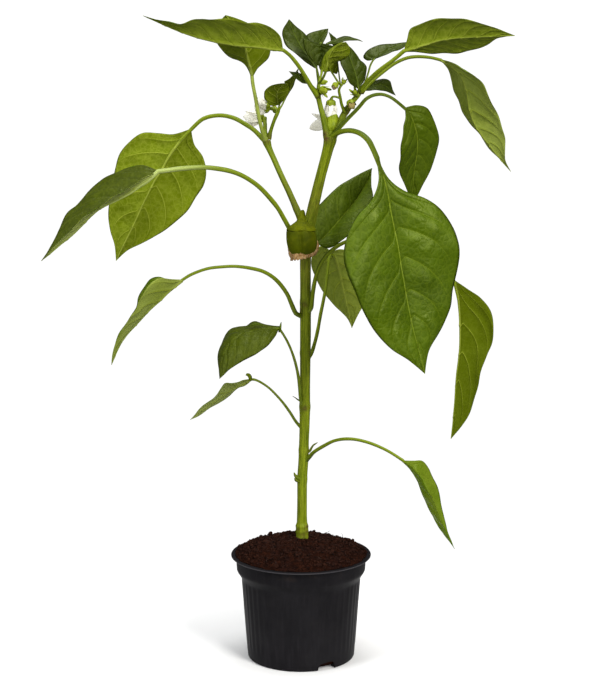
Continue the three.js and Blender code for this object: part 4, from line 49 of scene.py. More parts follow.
LEAVES = {
    "leaf_left_1": {"up": -1, "thin": 1, "arch": 0.06, "stalk": [[14.12, -9.0, 480.37, 2.5], [8.93, -13.0, 486.97, 1.89], [3.61, -18.0, 495.96, 1.74], [-2.07, -23.0, 504.88, 1.6], [-8.91, -28.0, 513.32, 1.5], [-14.5, -32.0, 517.72, 1.5]], "rib": [[-14.5, -32.0, 517.72], [-24.13, -33.51, 518.83], [-33.71, -35.01, 520.16], [-43.33, -36.51, 520.94], [-52.92, -38.01, 521.76], [-62.41, -39.51, 523.19], [-71.78, -41.02, 525.16], [-81.06, -42.52, 527.39], [-90.15, -44.02, 530.2], [-99.04, -45.52, 533.49], [-107.74, -47.01, 537.17], [-116.32, -48.51, 541.02], [-124.93, -50.0, 544.78]], "marginA": [[-14.5, -32.0, 518.51], [-16.55, -38.13, 528.72], [-23.66, -44.33, 535.63], [-33.53, -50.29, 538.47], [-43.64, -54.98, 539.67], [-53.63, -57.94, 541.64], [-63.82, -59.56, 542.29], [-74.07, -60.26, 542.21], [-84.32, -60.24, 541.37], [-94.26, -59.27, 538.6], [-104.36, -56.94, 540.26], [-114.8, -53.69, 541.75], [-124.93, -50.0, 544.78]], "marginB": [[-14.5, -32.0, 517.33], [-24.29, -23.06, 517.04], [-31.92, -16.68, 523.81], [-39.68, -13.67, 529.91], [-49.32, -13.24, 532.8], [-59.2, -14.46, 534.46], [-69.09, -16.89, 535.5], [-78.94, -20.29, 535.96], [-88.7, -24.63, 535.94], [-98.33, -29.95, 536.43], [-107.58, -36.18, 538.23], [-116.45, -42.98, 541.2], [-124.93, -50.0, 544.78]]},
    "leaf_left_2": {"up": 1, "thin": 1, "arch": 0.06, "stalk": [[-29.26, 15.0, 442.33, 2.2], [-32.44, 9.0, 451.77, 1.65], [-35.24, 6.5, 464.26, 1.59], [-37.7, 7.5, 478.19, 1.53], [-39.84, 12.0, 488.73, 1.5], [-40.74, 16.0, 496.03, 1.5]], "rib": [[-40.74, 16.0, 496.03], [-41.49, 13.38, 500.64], [-42.43, 10.76, 505.18], [-43.62, 8.14, 509.65], [-44.63, 5.55, 514.14], [-45.52, 2.98, 518.64], [-46.75, 0.46, 523.05], [-48.35, -2.01, 527.27], [-50.66, -4.45, 531.11], [-53.27, -6.86, 534.81], [-55.82, -9.26, 538.49], [-58.45, -11.65, 542.07], [-61.19, -14.04, 545.57]], "marginA": [[-41.98, 16.0, 496.03], [-44.22, 20.65, 500.96], [-47.75, 23.65, 505.14], [-52.26, 23.57, 508.19], [-57.16, 20.27, 510.56], [-61.69, 14.74, 513.25], [-65.51, 8.59, 516.92], [-68.46, 3.25, 521.25], [-69.4, -1.18, 526.49], [-69.25, -4.91, 531.79], [-67.3, -8.17, 536.86], [-64.94, -11.17, 541.67], [-61.19, -14.04, 545.57]], "marginB": [[-39.49, 16.0, 496.03], [-36.27, 17.82, 501.42], [-31.54, 18.04, 505.85], [-27.11, 16.21, 510.65], [-25.27, 13.41, 516.69], [-25.76, 10.81, 522.99], [-28.75, 8.87, 528.63], [-33.06, 7.39, 533.28], [-38.24, 5.34, 536.74], [-43.91, 2.1, 539.51], [-49.58, -2.43, 542.0], [-55.34, -7.94, 544.01], [-61.19, -14.04, 545.57]]},
    "leaf_left_3": {"up": -1, "thin": 1, "arch": 0.06, "stalk": [[-29.27, 15.5, 442.3, 2.4], [-32.63, 17.0, 444.71, 2.1], [-39.39, 21.0, 451.16, 1.85], [-47.03, 25.0, 455.96, 1.82], [-55.57, 30.0, 460.32, 1.79], [-64.14, 34.0, 462.41, 1.76], [-71.92, 38.0, 462.4, 1.73], [-79.69, 41.0, 460.84, 1.7], [-85.77, 43.0, 457.63, 1.7], [-94.03, 45.0, 449.93, 1.7]], "rib": [[-94.03, 45.0, 449.93], [-101.39, 44.55, 442.11], [-108.1, 44.11, 433.72], [-114.16, 43.7, 424.85], [-119.25, 43.34, 415.38], [-125.31, 43.08, 406.43], [-130.2, 42.93, 396.77], [-135.16, 42.9, 387.1], [-139.79, 42.97, 377.24], [-144.48, 43.12, 367.37], [-149.47, 43.33, 357.61], [-154.54, 43.57, 347.85], [-159.21, 43.83, 337.87]], "marginA": [[-95.73, 45.0, 450.35], [-108.86, 52.97, 446.12], [-122.63, 57.66, 446.91], [-136.09, 58.34, 446.6], [-147.06, 56.71, 439.64], [-155.81, 54.45, 429.6], [-159.4, 52.42, 416.89], [-161.69, 50.62, 403.73], [-164.33, 48.99, 390.61], [-165.67, 47.57, 377.31], [-164.08, 46.29, 363.99], [-160.4, 45.07, 351.18], [-159.21, 43.83, 337.87]], "marginB": [[-93.19, 45.0, 448.66], [-90.89, 48.24, 437.21], [-83.92, 50.56, 426.89], [-81.24, 51.99, 414.49], [-83.57, 52.7, 402.26], [-90.73, 52.94, 391.56], [-97.58, 52.99, 380.74], [-106.77, 53.01, 371.97], [-116.88, 53.02, 364.03], [-127.83, 52.63, 357.44], [-138.87, 51.01, 351.32], [-150.08, 47.94, 345.98], [-159.21, 43.83, 337.87]]},
    "leaf_left_4": {"up": 1, "thin": 1, "arch": 0.06, "stalk": [[2.49, 6.0, 361.95, 2.7], [-2.53, 3.0, 364.8, 2.49], [-8.36, -1.0, 369.42, 2.2], [-13.3, -6.0, 378.28, 2.13], [-19.03, -11.0, 388.72, 2.1], [-25.53, -16.0, 397.43, 2.07], [-33.59, -22.0, 406.56, 2.04], [-41.64, -26.0, 413.01, 2.01], [-49.67, -29.0, 417.72, 1.98], [-57.67, -32.0, 420.78, 1.96], [-65.68, -34.0, 422.54, 1.94], [-76.05, -37.0, 423.97, 1.91], [-85.64, -39.0, 424.12, 1.9], [-97.56, -42.0, 423.37, 1.9], [-105.56, -43.0, 422.39, 1.9], [-115.08, -45.0, 421.34, 1.9]], "rib": [[-115.08, -45.0, 421.34], [-123.2, -49.4, 415.77], [-130.36, -50.8, 411.1], [-137.38, -52.21, 405.75], [-145.34, -53.63, 401.22], [-153.69, -55.04, 396.84], [-162.08, -56.46, 391.99], [-169.52, -57.88, 385.51], [-176.53, -59.31, 378.21], [-183.94, -60.73, 371.05], [-192.15, -62.15, 364.57], [-200.22, -63.58, 357.72], [-208.48, -62.0, 350.97]], "marginA": [[-115.87, -45.0, 422.54], [-126.7, -38.54, 425.54], [-137.75, -32.96, 424.1], [-148.86, -29.47, 421.31], [-158.77, -28.02, 416.15], [-167.43, -28.29, 409.23], [-175.7, -30.21, 402.18], [-182.22, -33.51, 393.72], [-189.43, -38.1, 386.4], [-194.58, -43.32, 377.44], [-198.29, -49.0, 367.93], [-202.93, -55.3, 359.06], [-208.48, -62.0, 350.97]], "marginB": [[-115.9, -45.0, 420.13], [-124.3, -56.92, 417.99], [-132.58, -67.19, 412.56], [-140.8, -74.35, 407.15], [-149.32, -78.49, 402.2], [-157.71, -80.36, 397.06], [-165.92, -80.48, 391.64], [-173.71, -79.25, 385.67], [-180.94, -76.93, 379.01], [-187.91, -73.79, 372.07], [-194.87, -70.1, 365.14], [-201.68, -68.58, 358.05], [-208.48, -62.0, 350.97]]},
    "leaf_left_5": {"up": -1, "thin": 1, "arch": -0.06, "stalk": [[1.67, 8.0, 295.52, 2.4], [-2.55, 4.0, 297.42, 2.15], [-5.06, 1.0, 300.01, 1.93], [-8.39, -4.0, 308.39, 1.8], [-11.71, -8.0, 316.57, 1.75], [-17.47, -13.0, 325.67, 1.69], [-24.03, -18.0, 332.61, 1.64], [-32.18, -23.0, 337.85, 1.59], [-41.91, -28.0, 340.97, 1.54], [-49.99, -32.0, 342.64, 1.49], [-56.46, -34.0, 343.22, 1.46], [-64.55, -36.0, 343.07, 1.42], [-74.21, -39.0, 342.38, 1.4], [-82.27, -41.0, 340.34, 1.4], [-90.38, -42.0, 337.03, 1.4], [-96.87, -43.0, 333.06, 1.4]], "rib": [[-96.87, -43.0, 332.65], [-102.79, -44.42, 328.12], [-108.51, -45.84, 323.38], [-113.76, -47.26, 318.1], [-119.34, -48.68, 313.19], [-124.73, -50.09, 308.11], [-129.72, -51.51, 302.61], [-134.76, -52.92, 297.16], [-139.82, -54.34, 291.74], [-144.44, -55.76, 286.01], [-148.01, -57.17, 279.49], [-151.09, -58.59, 272.75], [-153.81, -60.0, 265.86]], "marginA": [[-97.68, -43.0, 333.47], [-105.71, -50.02, 334.82], [-113.71, -56.51, 336.42], [-120.04, -62.24, 333.37], [-125.35, -66.98, 327.84], [-128.78, -70.37, 320.91], [-130.96, -71.99, 313.01], [-136.91, -71.82, 307.13], [-141.9, -70.54, 300.14], [-145.5, -68.53, 291.9], [-149.63, -65.87, 283.74], [-152.62, -62.92, 275.01], [-153.81, -60.0, 265.86]], "marginB": [[-97.68, -43.0, 333.06], [-106.7, -37.84, 331.75], [-115.81500000000001, -33.96, 334.395], [-123.96499999999999, -31.33, 332.365], [-129.63, -29.55, 325.03999999999996], [-133.76000000000002, -28.98, 317.25], [-135.64000000000001, -29.9, 309.25], [-140.305, -32.66, 302.295], [-144.36499999999998, -36.89, 295.155], [-148.53500000000003, -42.07, 288.565], [-151.45, -47.88, 281.33], [-153.14, -53.96, 273.5], [-153.81, -60.0, 265.86]]},
    "leaf_left_6": {"up": -1, "thin": 1, "arch": 0.06, "stalk": [[2.55, 9.0, 216.85, 2.2], [-0.01, 5.0, 223.75, 1.68], [-1.11, -2.0, 235.51, 1.51], [-2.37, -9.0, 248.01, 1.39], [-5.03, -17.0, 261.4, 1.26], [-8.73, -25.0, 273.79, 1.13], [-13.22, -32.0, 284.2, 1.1], [-18.09, -37.0, 292.53, 1.1]], "rib": [[-18.09, -37.0, 292.53], [-24.25, -39.37, 292.91], [-30.34, -41.75, 292.73], [-36.37, -44.14, 292.05], [-42.28, -46.54, 290.95], [-47.98, -48.95, 289.2], [-53.3, -51.36, 286.54], [-57.42, -53.79, 282.48], [-60.7, -56.22, 277.66], [-63.21, -58.66, 272.43], [-64.7, -61.1, 266.88], [-65.53, -63.54, 261.19], [-65.93, -65.98, 255.46]], "marginA": [[-18.51, -37.0, 290.86], [-20.71, -46.33, 287.51], [-23.77, -54.56, 284.63], [-27.27, -60.43, 281.67], [-31.14, -63.89, 278.76], [-35.58, -65.68, 276.26], [-40.3, -66.53, 274.08], [-44.85, -66.97, 271.51], [-49.33, -67.18, 268.76], [-53.96, -67.2, 266.13], [-58.25, -66.96, 263.08], [-61.96, -66.48, 259.12], [-65.93, -65.98, 255.46]], "marginB": [[-17.27, -37.0, 294.19], [-24.51, -30.19, 293.51], [-31.57, -24.95, 293.58], [-38.43, -22.46, 294.85], [-44.83, -22.59, 291.7], [-52.0, -24.79, 291.27], [-58.22, -28.52, 289.54], [-62.66, -33.26, 284.45], [-65.93, -38.84, 279.03], [-67.46, -45.04, 273.17], [-67.34, -51.72, 267.13], [-66.59, -58.76, 261.25], [-65.93, -65.98, 255.46]]},
    "leaf_left_7": {"up": -1, "thin": 1, "arch": 0.06, "stalk": [[1.71, 10.0, 198.32, 2.0], [-1.72, 14.0, 200.07, 1.57], [-5.16, 19.0, 203.38, 1.41], [-9.48, 25.0, 209.14, 1.35], [-15.58, 33.0, 215.86, 1.27], [-22.59, 40.0, 222.41, 1.18], [-28.75, 45.0, 227.19, 1.12], [-35.81, 50.0, 230.84, 1.1], [-41.13, 53.0, 232.31, 1.1], [-45.12, 55.0, 231.49, 1.1]], "rib": [[-45.13, 55.0, 231.04], [-49.93, 55.91, 228.66], [-54.81, 56.82, 226.45], [-59.51, 57.73, 223.8], [-63.98, 58.64, 220.75], [-68.2, 59.55, 217.3], [-72.5, 60.47, 213.93], [-76.84, 61.39, 210.62], [-81.19, 62.31, 207.3], [-85.53, 63.23, 203.95], [-89.76, 64.15, 200.43], [-94.01, 65.07, 196.93], [-98.33, 66.0, 193.49]], "marginA": [[-45.12, 55.0, 232.38], [-50.48, 51.21, 232.22], [-55.62, 48.19, 230.89], [-61.09, 46.94, 230.38], [-66.32, 47.1, 230.42], [-69.81, 47.53, 225.45], [-73.0, 48.45, 220.6], [-77.05, 50.18, 216.22], [-81.64, 52.71, 212.31], [-86.4, 55.77, 208.34], [-90.48, 59.05, 203.63], [-94.1, 62.44, 198.34], [-98.33, 66.0, 193.49]], "marginB": [[-45.14, 55.0, 229.25], [-49.42, 60.76, 225.08], [-54.7, 65.95, 222.57], [-58.79, 69.55, 218.69], [-62.64, 71.63, 214.38], [-66.95, 72.77, 211.01], [-71.63, 73.22, 208.38], [-76.2, 73.01, 205.74], [-80.62, 72.18, 203.02], [-84.69, 70.82, 199.96], [-88.92, 69.21, 197.21], [-93.49, 67.59, 195.07], [-98.33, 66.0, 193.49]]},
    "leaf_right_1": {"up": 1, "thin": 1, "arch": 0.06, "stalk": [[24.63, -8.0, 446.1, 2.7], [27.41, -13.0, 448.99, 2.25], [31.77, -19.0, 451.74, 2.2], [37.27, -27.0, 453.37, 2.2], [43.52, -35.0, 452.98, 2.2], [48.94, -42.0, 450.79, 2.2], [53.57, -48.0, 446.73, 2.2], [56.65, -52.0, 441.39, 2.2], [60.54, -56.0, 432.5, 2.2]], "rib": [[60.54, -56.0, 432.5], [65.62, -56.95, 418.77], [69.25, -57.92, 404.6], [71.87, -58.93, 390.17], [74.91, -60.02, 375.8], [77.93, -61.21, 361.42], [80.25, -62.5, 346.89], [82.85, -63.89, 332.4], [85.5, -65.39, 317.92], [88.48, -66.95, 303.5], [92.04, -68.56, 289.18], [95.89, -70.2, 274.94], [99.71, -71.85, 260.67]], "marginA": [[59.74, -56.0, 432.5], [61.65, -60.31, 415.92], [56.18, -65.77, 400.55], [44.47, -72.51, 388.69], [36.7, -78.99, 374.4], [33.94, -83.8, 358.29], [36.89, -86.69, 341.98], [43.37, -87.26, 326.28], [50.73, -85.46, 310.67], [59.67, -82.09, 295.69], [71.55, -78.38, 282.34], [86.2, -75.02, 272.37], [99.71, -71.85, 260.67]], "marginB": [[61.33, -56.0, 432.5], [69.76, -54.6, 417.24], [83.18, -52.82, 406.91], [99.46, -50.65, 400.19], [114.0, -48.78, 390.15], [123.42, -47.73, 375.29], [126.82, -47.55, 358.0], [126.85, -48.36, 340.5], [123.06, -50.22, 323.51], [118.47, -53.42, 306.84], [111.59, -57.94, 291.2], [102.99, -64.05, 276.73], [99.71, -71.85, 260.67]]},
    "leaf_right_2": {"up": -1, "thin": 1, "arch": 0.06, "stalk": [[5.01, 7.0, 363.52, 2.1], [6.71, 12.0, 358.75, 1.6], [9.27, 17.0, 354.79, 1.6], [13.53, 21.0, 355.18, 1.6]], "rib": [[13.53, 21.0, 355.18], [18.29, 24.46, 359.55], [23.1, 27.92, 363.9], [27.68, 31.36, 368.51], [32.12, 34.8, 373.27], [36.55, 38.22, 378.07], [40.93, 41.62, 382.95], [45.18, 45.02, 387.96], [49.26, 48.42, 393.13], [53.06, 51.81, 398.53], [56.47, 55.21, 404.18], [59.16, 58.6, 410.15], [61.29, 62.0, 416.43]], "marginA": [[13.11, 21.0, 356.03], [9.9, 22.89, 362.61], [8.46, 24.97, 369.81], [9.11, 27.46, 377.12], [12.4, 30.34, 383.51], [17.26, 33.62, 388.99], [22.56, 37.34, 394.07], [28.08, 41.34, 398.98], [33.92, 45.45, 403.51], [40.53, 49.58, 407.08], [47.27, 53.72, 410.49], [54.14, 57.86, 413.71], [61.29, 62.0, 416.43]], "marginB": [[14.38, 21.0, 354.76], [21.21, 18.71, 351.66], [28.69, 16.5, 353.85], [34.98, 15.45, 358.71], [40.56, 16.39, 364.06], [45.85, 19.26, 369.56], [50.9, 23.66, 375.17], [55.52, 28.95, 381.12], [59.4, 34.65, 387.52], [61.57, 40.55, 394.48], [60.46, 46.76, 401.79], [60.43, 53.95, 409.12], [61.29, 62.0, 416.43]]},
    "leaf_right_3": {"up": -1, "thin": 1, "arch": 0.06, "stalk": [[5.08, 8.0, 258.61, 2.1], [8.92, 13.0, 262.9, 1.68], [11.94, 19.0, 271.38, 1.55], [14.54, 25.0, 281.64, 1.52], [16.72, 31.0, 292.83, 1.49], [19.35, 37.0, 304.95, 1.45], [21.54, 42.0, 316.41, 1.42], [22.86, 46.0, 328.05, 1.4], [23.92, 49.0, 336.36, 1.4], [25.08, 52.0, 343.82, 1.4]], "rib": [[25.08, 52.0, 343.82], [29.27, 53.7, 339.9], [31.39, 55.39, 334.19], [33.01, 57.06, 328.42], [34.45, 58.71, 322.57], [35.79, 60.34, 316.69], [37.14, 61.99, 310.79], [38.51, 63.64, 304.88], [39.84, 65.31, 298.94], [41.13, 66.98, 292.96], [42.41, 68.65, 286.96], [43.7, 70.32, 280.94], [44.99, 72.0, 274.91]], "marginA": [[24.21, 52.0, 345.12], [18.33, 55.13, 349.54], [11.88, 58.17, 344.92], [8.95, 61.06, 337.28], [9.27, 63.78, 328.98], [12.46, 66.39, 321.27], [16.1, 68.95, 313.74], [20.05, 71.43, 306.37], [24.9, 73.51, 299.63], [30.47, 74.74, 293.59], [36.23, 74.8, 287.91], [41.41, 73.76, 281.88], [44.99, 72.0, 274.91]], "marginB": [[26.37, 52.0, 344.69], [33.33, 60.83, 346.16], [40.78, 67.44, 343.7], [46.9, 71.0, 338.41], [51.44, 71.83, 332.09], [54.99, 71.02, 325.38], [57.26, 69.88, 318.28], [58.29, 69.21, 310.74], [57.68, 69.1, 303.1], [55.34, 69.46, 295.84], [51.51, 70.14, 289.08], [48.12, 71.02, 282.08], [44.99, 72.0, 274.91]]},
    "leaf_right_4": {"up": 1, "thin": 1, "arch": 0.06, "stalk": [[25.45, -8.0, 446.92, 2.3], [28.67, -11.0, 451.16, 1.86], [32.68, -14.0, 456.2, 1.7], [38.3, -17.0, 462.43, 1.63], [43.89, -20.0, 468.23, 1.56], [47.87, -22.0, 472.74, 1.51], [51.83, -24.0, 477.65, 1.46], [55.83, -25.0, 480.41, 1.42], [60.63, -26.0, 482.05, 1.38], [66.25, -27.0, 482.16, 1.33], [71.93, -27.0, 480.16, 1.3], [76.86, -26.0, 476.91, 1.3], [81.87, -24.0, 472.82, 1.3], [85.2, -23.0, 469.96, 1.3]], "rib": [[85.2, -23.0, 469.96], [89.33, -21.74, 464.78], [91.81, -20.48, 458.66], [93.86, -19.23, 452.35], [94.95, -17.97, 445.83], [95.19, -16.73, 439.22], [94.84, -15.49, 432.61], [93.94, -14.25, 426.03], [93.06, -13.01, 419.44], [92.53, -11.77, 412.78], [92.24, -10.52, 406.07], [92.07, -9.27, 399.34], [92.04, -8.02, 392.58]], "marginA": [[84.4, -23.0, 468.75], [84.55, -28.88, 462.67], [82.9, -33.26, 456.63], [81.91, -35.35, 450.43], [81.14, -35.34, 444.1], [80.59, -33.77, 437.65], [80.09, -31.06, 431.11], [79.29, -27.72, 424.55], [80.48, -24.27, 417.91], [83.17, -20.74, 411.61], [86.08, -16.9, 405.34], [89.05, -12.63, 399.0], [92.04, -8.02, 392.58]], "marginB": [[85.59, -23.0, 471.98], [94.03, -18.9, 473.43], [102.43, -14.82, 471.12], [107.73, -10.9, 464.15], [111.26, -7.84, 456.14], [112.72, -6.0, 447.62], [112.33, -5.41, 439.04], [111.21, -5.78, 430.58], [108.53, -6.5, 422.48], [104.85, -7.16, 414.79], [100.79, -7.63, 407.26], [96.95, -7.89, 399.59], [92.04, -8.02, 392.58]]},
    "leaf_right_5": {"up": 1, "thin": 1, "arch": 0.06, "stalk": [[48.73, 6.0, 483.16, 2.4], [52.68, 2.0, 489.4, 1.84], [58.21, -3.0, 495.63, 1.77], [64.51, -8.0, 501.4, 1.7], [72.39, -13.0, 507.53, 1.62], [77.89, -16.0, 511.99, 1.6], [83.35, -19.0, 516.82, 1.6]], "rib": [[83.35, -19.0, 516.82], [90.49, -20.75, 519.08], [97.61, -22.5, 521.31], [104.73, -24.24, 523.47], [111.84, -25.98, 525.62], [119.16, -27.73, 526.75], [126.52, -29.48, 527.53], [133.89, -31.23, 527.94], [141.26, -32.99, 528.21], [148.6, -34.74, 528.47], [155.92, -36.49, 528.85], [163.23, -38.24, 529.07], [170.53, -40.0, 529.19]], "marginA": [[83.35, -19.0, 517.62], [85.45, -23.48, 526.09], [87.56, -28.11, 534.45], [94.77, -32.85, 539.0], [102.77, -37.07, 541.76], [111.13, -40.17, 543.39], [119.71, -42.1, 543.65], [128.31, -43.12, 542.37], [136.86, -43.37, 540.53], [145.36, -43.02, 538.17], [153.79, -42.25, 535.42], [162.15, -41.2, 532.33], [170.53, -40.0, 529.19]], "marginB": [[84.17, -19.0, 516.02], [92.22, -13.08, 515.73], [100.17, -8.65, 515.16], [107.94, -6.89, 513.72], [115.63, -7.37, 513.83], [123.2, -9.29, 514.29], [130.62, -12.15, 515.13], [137.83, -15.52, 516.7], [144.71, -19.25, 519.17], [151.19, -23.42, 522.33], [157.05, -28.22, 526.45], [163.72, -33.86, 528.32], [170.53, -40.0, 529.19]]},
    "leaf_right_6": {"up": -1, "thin": 1, "arch": 0.06, "stalk": [[49.59, 7.0, 483.13, 2.4], [54.59, 9.0, 488.4, 1.88], [61.25, 11.0, 494.5, 1.76], [69.58, 13.0, 501.01, 1.67], [75.44, 15.0, 505.08, 1.61], [82.1, 16.0, 508.75, 1.55], [88.83, 18.0, 511.11, 1.49], [95.53, 19.0, 511.92, 1.43], [102.25, 20.0, 511.74, 1.4], [108.98, 21.0, 510.91, 1.4], [116.57, 22.0, 509.08, 1.4]], "rib": [[116.57, 22.0, 509.08], [125.04, 23.86, 504.46], [132.55, 25.72, 498.46], [137.33, 27.59, 490.16], [139.88, 29.45, 480.91], [141.51, 31.33, 471.45], [143.99, 33.22, 462.1], [148.03, 35.12, 453.21], [153.58, 37.05, 445.14], [159.88, 39.0, 437.45], [166.12, 40.97, 429.71], [172.61, 42.96, 422.11], [179.36, 44.94, 414.68]], "marginA": [[116.16, 22.0, 508.67], [123.15, 32.52, 501.42], [127.06, 41.58, 492.59], [130.37, 48.42, 483.43], [134.59, 53.13, 474.61], [137.99, 55.94, 465.58], [143.29, 57.12, 457.5], [148.53, 56.94, 449.5], [154.15, 55.68, 441.88], [160.04, 53.6, 434.58], [166.51, 50.97, 427.9], [173.07, 48.02, 421.4], [179.36, 44.94, 414.68]], "marginB": [[117.82, 22.0, 509.5], [126.54, 14.48, 506.55], [134.28, 8.84, 501.46], [142.55, 6.85, 496.6], [150.16, 8.46, 490.1], [155.37, 12.48, 481.58], [159.91, 17.78, 472.42], [164.78, 23.3, 463.4], [168.8, 28.14, 453.91], [172.23, 32.11, 444.32], [172.74, 35.65, 434.16], [174.06, 39.76, 423.99], [179.36, 44.94, 414.68]]},
    "leaf_right_7": {"up": -1, "thin": 1, "arch": 0.06, "stalk": [[3.43, 10.5, 169.26, 2.3], [6.84, 6.0, 173.4, 1.91], [10.22, 2.0, 178.28, 1.72], [14.44, -2.0, 182.26, 1.67], [19.48, -6.0, 186.23, 1.63], [26.16, -11.0, 191.0, 1.57], [32.79, -16.0, 194.03, 1.51], [39.41, -20.0, 195.45, 1.47], [45.99, -24.0, 195.84, 1.42], [53.39, -28.0, 195.03, 1.37], [61.58, -32.0, 193.04, 1.31], [69.8, -35.0, 189.9, 1.3], [76.37, -37.0, 186.53, 1.3], [84.61, -39.0, 181.47, 1.3]], "rib": [[84.62, -39.0, 181.05], [89.08, -40.07, 175.64], [93.5, -41.14, 170.2], [96.69, -42.21, 164.02], [99.1, -43.28, 157.4], [101.72, -44.37, 150.89], [104.76, -45.45, 144.58], [107.94, -46.54, 138.33], [111.21, -47.63, 132.13], [114.8, -48.72, 126.12], [118.88, -49.81, 120.44], [123.3, -50.9, 115.03], [127.28, -52.0, 109.28]], "marginA": [[85.04, -39.0, 180.62], [90.64, -47.17, 178.82], [95.26, -54.17, 175.34], [99.42, -58.93, 170.85], [103.15, -61.53, 165.42], [106.47, -62.64, 159.31], [109.55, -62.73, 152.77], [112.38, -62.1, 145.89], [115.01, -60.88, 138.72], [117.48, -59.19, 131.32], [120.48, -57.08, 124.0], [123.89, -54.64, 116.69], [127.28, -52.0, 109.28]], "marginB": [[85.44, -39.0, 181.47], [93.49, -35.58, 180.56], [101.12, -32.49, 179.63], [106.83, -30.1, 173.03], [110.27, -28.93, 165.3], [113.63, -29.08, 157.89], [115.83, -30.26, 150.34], [117.5, -32.29, 142.89], [119.27, -35.09, 135.69], [120.54, -38.49, 128.57], [122.04, -42.49, 121.73], [124.89, -47.09, 115.52], [127.28, -52.0, 109.28]]},
    "leaf_right_8": {"up": -1, "thin": 1, "arch": 0.06, "stalk": [[4.21, 8.0, 298.09, 2.5], [7.98, 4.0, 302.96, 2.31], [9.06, 2.0, 310.06, 2.05], [10.04, 0.0, 318.82, 1.94], [11.94, -2.0, 329.23, 1.91], [15.0, -3.0, 338.62, 1.88], [19.99, -3.0, 347.02, 1.85], [26.67, -2.0, 353.62, 1.83], [36.73, 1.0, 359.15, 1.79], [53.58, 6.0, 363.63, 1.74], [74.81, 12.0, 363.82, 1.68], [96.29, 18.0, 356.37, 1.62], [115.35, 22.0, 342.28, 1.6], [131.09, 24.0, 321.47, 1.6]], "rib": [[131.09, 24.0, 321.47], [133.85, 25.34, 310.33], [135.32, 26.69, 298.91], [136.21, 28.04, 287.4], [136.64, 29.39, 275.83], [136.68, 30.74, 264.21], [135.87, 32.09, 252.59], [134.65, 33.43, 240.97], [133.98, 34.76, 229.25], [133.5, 36.07, 217.47], [132.75, 37.38, 205.66], [132.06, 38.69, 193.8], [130.95, 40.0, 181.93]], "marginA": [[131.49, 24.0, 323.19], [137.62, 35.99, 311.24], [140.54, 46.52, 298.2], [142.18, 54.07, 285.31], [142.97, 58.21, 272.81], [142.81, 59.69, 260.69], [142.01, 59.47, 248.85], [140.57, 58.08, 237.26], [139.08, 55.76, 225.84], [137.5, 52.78, 214.57], [135.57, 49.28, 203.46], [133.44, 44.92, 192.58], [130.95, 40.0, 181.93]], "marginB": [[131.92, 24.0, 323.19], [142.87, 22.79, 316.03], [153.38, 21.69, 308.66], [161.37, 20.72, 298.08], [164.45, 19.87, 285.65], [163.54, 19.26, 272.38], [158.22, 19.27, 260.12], [154.48, 20.9, 247.07], [152.88, 24.22, 233.01], [149.54, 28.26, 219.34], [145.83, 32.28, 205.48], [139.03, 36.18, 193.25], [130.95, 40.0, 181.93]]},
    "leaf_top_1": {"up": -1, "thin": 0.75, "arch": 0.06, "stalk": [[14.28, -8.5, 483.6, 1.0], [14.54, -6.0, 490.02, 0.96], [14.15, -3.0, 496.44, 0.91], [12.69, 0.0, 502.88, 0.9]], "rib": [[12.69, 0.0, 502.88], [10.27, 1.16, 505.85], [7.92, 2.31, 508.88], [5.65, 3.47, 511.97], [3.43, 4.62, 515.1], [1.21, 5.78, 518.25], [-0.85, 6.93, 521.48], [-2.68, 8.09, 524.85], [-4.37, 9.26, 528.31], [-6.01, 10.43, 531.79], [-7.56, 11.61, 535.31], [-8.85, 12.79, 538.93], [-9.94, 13.98, 542.63]], "marginA": [[11.46, 0.0, 502.47], [7.6, -3.85, 504.92], [3.91, -6.9, 507.55], [0.6, -8.35, 510.6], [-2.86, -8.01, 513.44], [-6.51, -6.06, 516.04], [-10.25, -2.86, 518.72], [-13.05, 0.9, 521.96], [-14.64, 4.49, 526.23], [-15.67, 7.48, 530.58], [-14.7, 9.94, 534.94], [-12.27, 12.04, 538.77], [-9.94, 13.98, 542.63]], "marginB": [[13.51, 0.0, 503.69], [13.97, 5.46, 507.54], [13.34, 10.4, 511.38], [12.22, 14.04, 515.15], [10.75, 16.23, 518.85], [9.0, 17.29, 522.42], [6.98, 17.62, 525.87], [4.77, 17.65, 529.22], [1.92, 17.63, 531.98], [-1.24, 17.5, 534.46], [-4.3, 16.8, 537.02], [-7.11, 15.51, 539.85], [-9.94, 13.98, 542.63]]},
    "leaf_top_2": {"up": -1, "thin": 0.75, "arch": 0.06, "stalk": [[14.36, -8.0, 488.45, 0.8], [13.15, 4.0, 499.55, 0.8], [12.38, 12.0, 509.22, 0.8], [12.82, 17.0, 517.35, 0.8]], "rib": [[12.82, 17.0, 517.35], [13.21, 19.09, 519.01], [13.69, 21.17, 520.64], [14.24, 23.25, 522.24], [14.86, 25.34, 523.81], [15.61, 27.42, 525.36], [16.45, 29.5, 526.87], [17.35, 31.58, 528.33], [18.36, 33.66, 529.74], [19.46, 35.75, 531.1], [20.57, 37.83, 532.43], [21.74, 39.92, 533.74], [22.95, 42.0, 535.01]], "marginA": [[12.0, 17.0, 517.35], [9.76, 17.77, 519.12], [7.81, 18.9, 521.13], [6.07, 20.6, 523.4], [4.85, 22.67, 525.97], [4.14, 24.92, 528.68], [6.08, 27.26, 530.45], [8.84, 29.62, 531.69], [11.59, 32.0, 532.64], [14.36, 34.37, 533.43], [17.19, 36.8, 534.09], [20.05, 39.34, 534.61], [22.95, 42.0, 535.01]], "marginB": [[13.65, 17.0, 517.35], [14.92, 15.76, 518.49], [16.08, 15.02, 519.7], [17.14, 15.14, 521.0], [18.12, 16.0, 522.39], [19.01, 17.59, 523.83], [19.78, 20.16, 525.33], [20.48, 23.41, 526.88], [21.22, 27.0, 528.43], [21.99, 30.68, 529.99], [22.48, 34.39, 531.6], [22.79, 38.15, 533.28], [22.95, 42.0, 535.01]]},
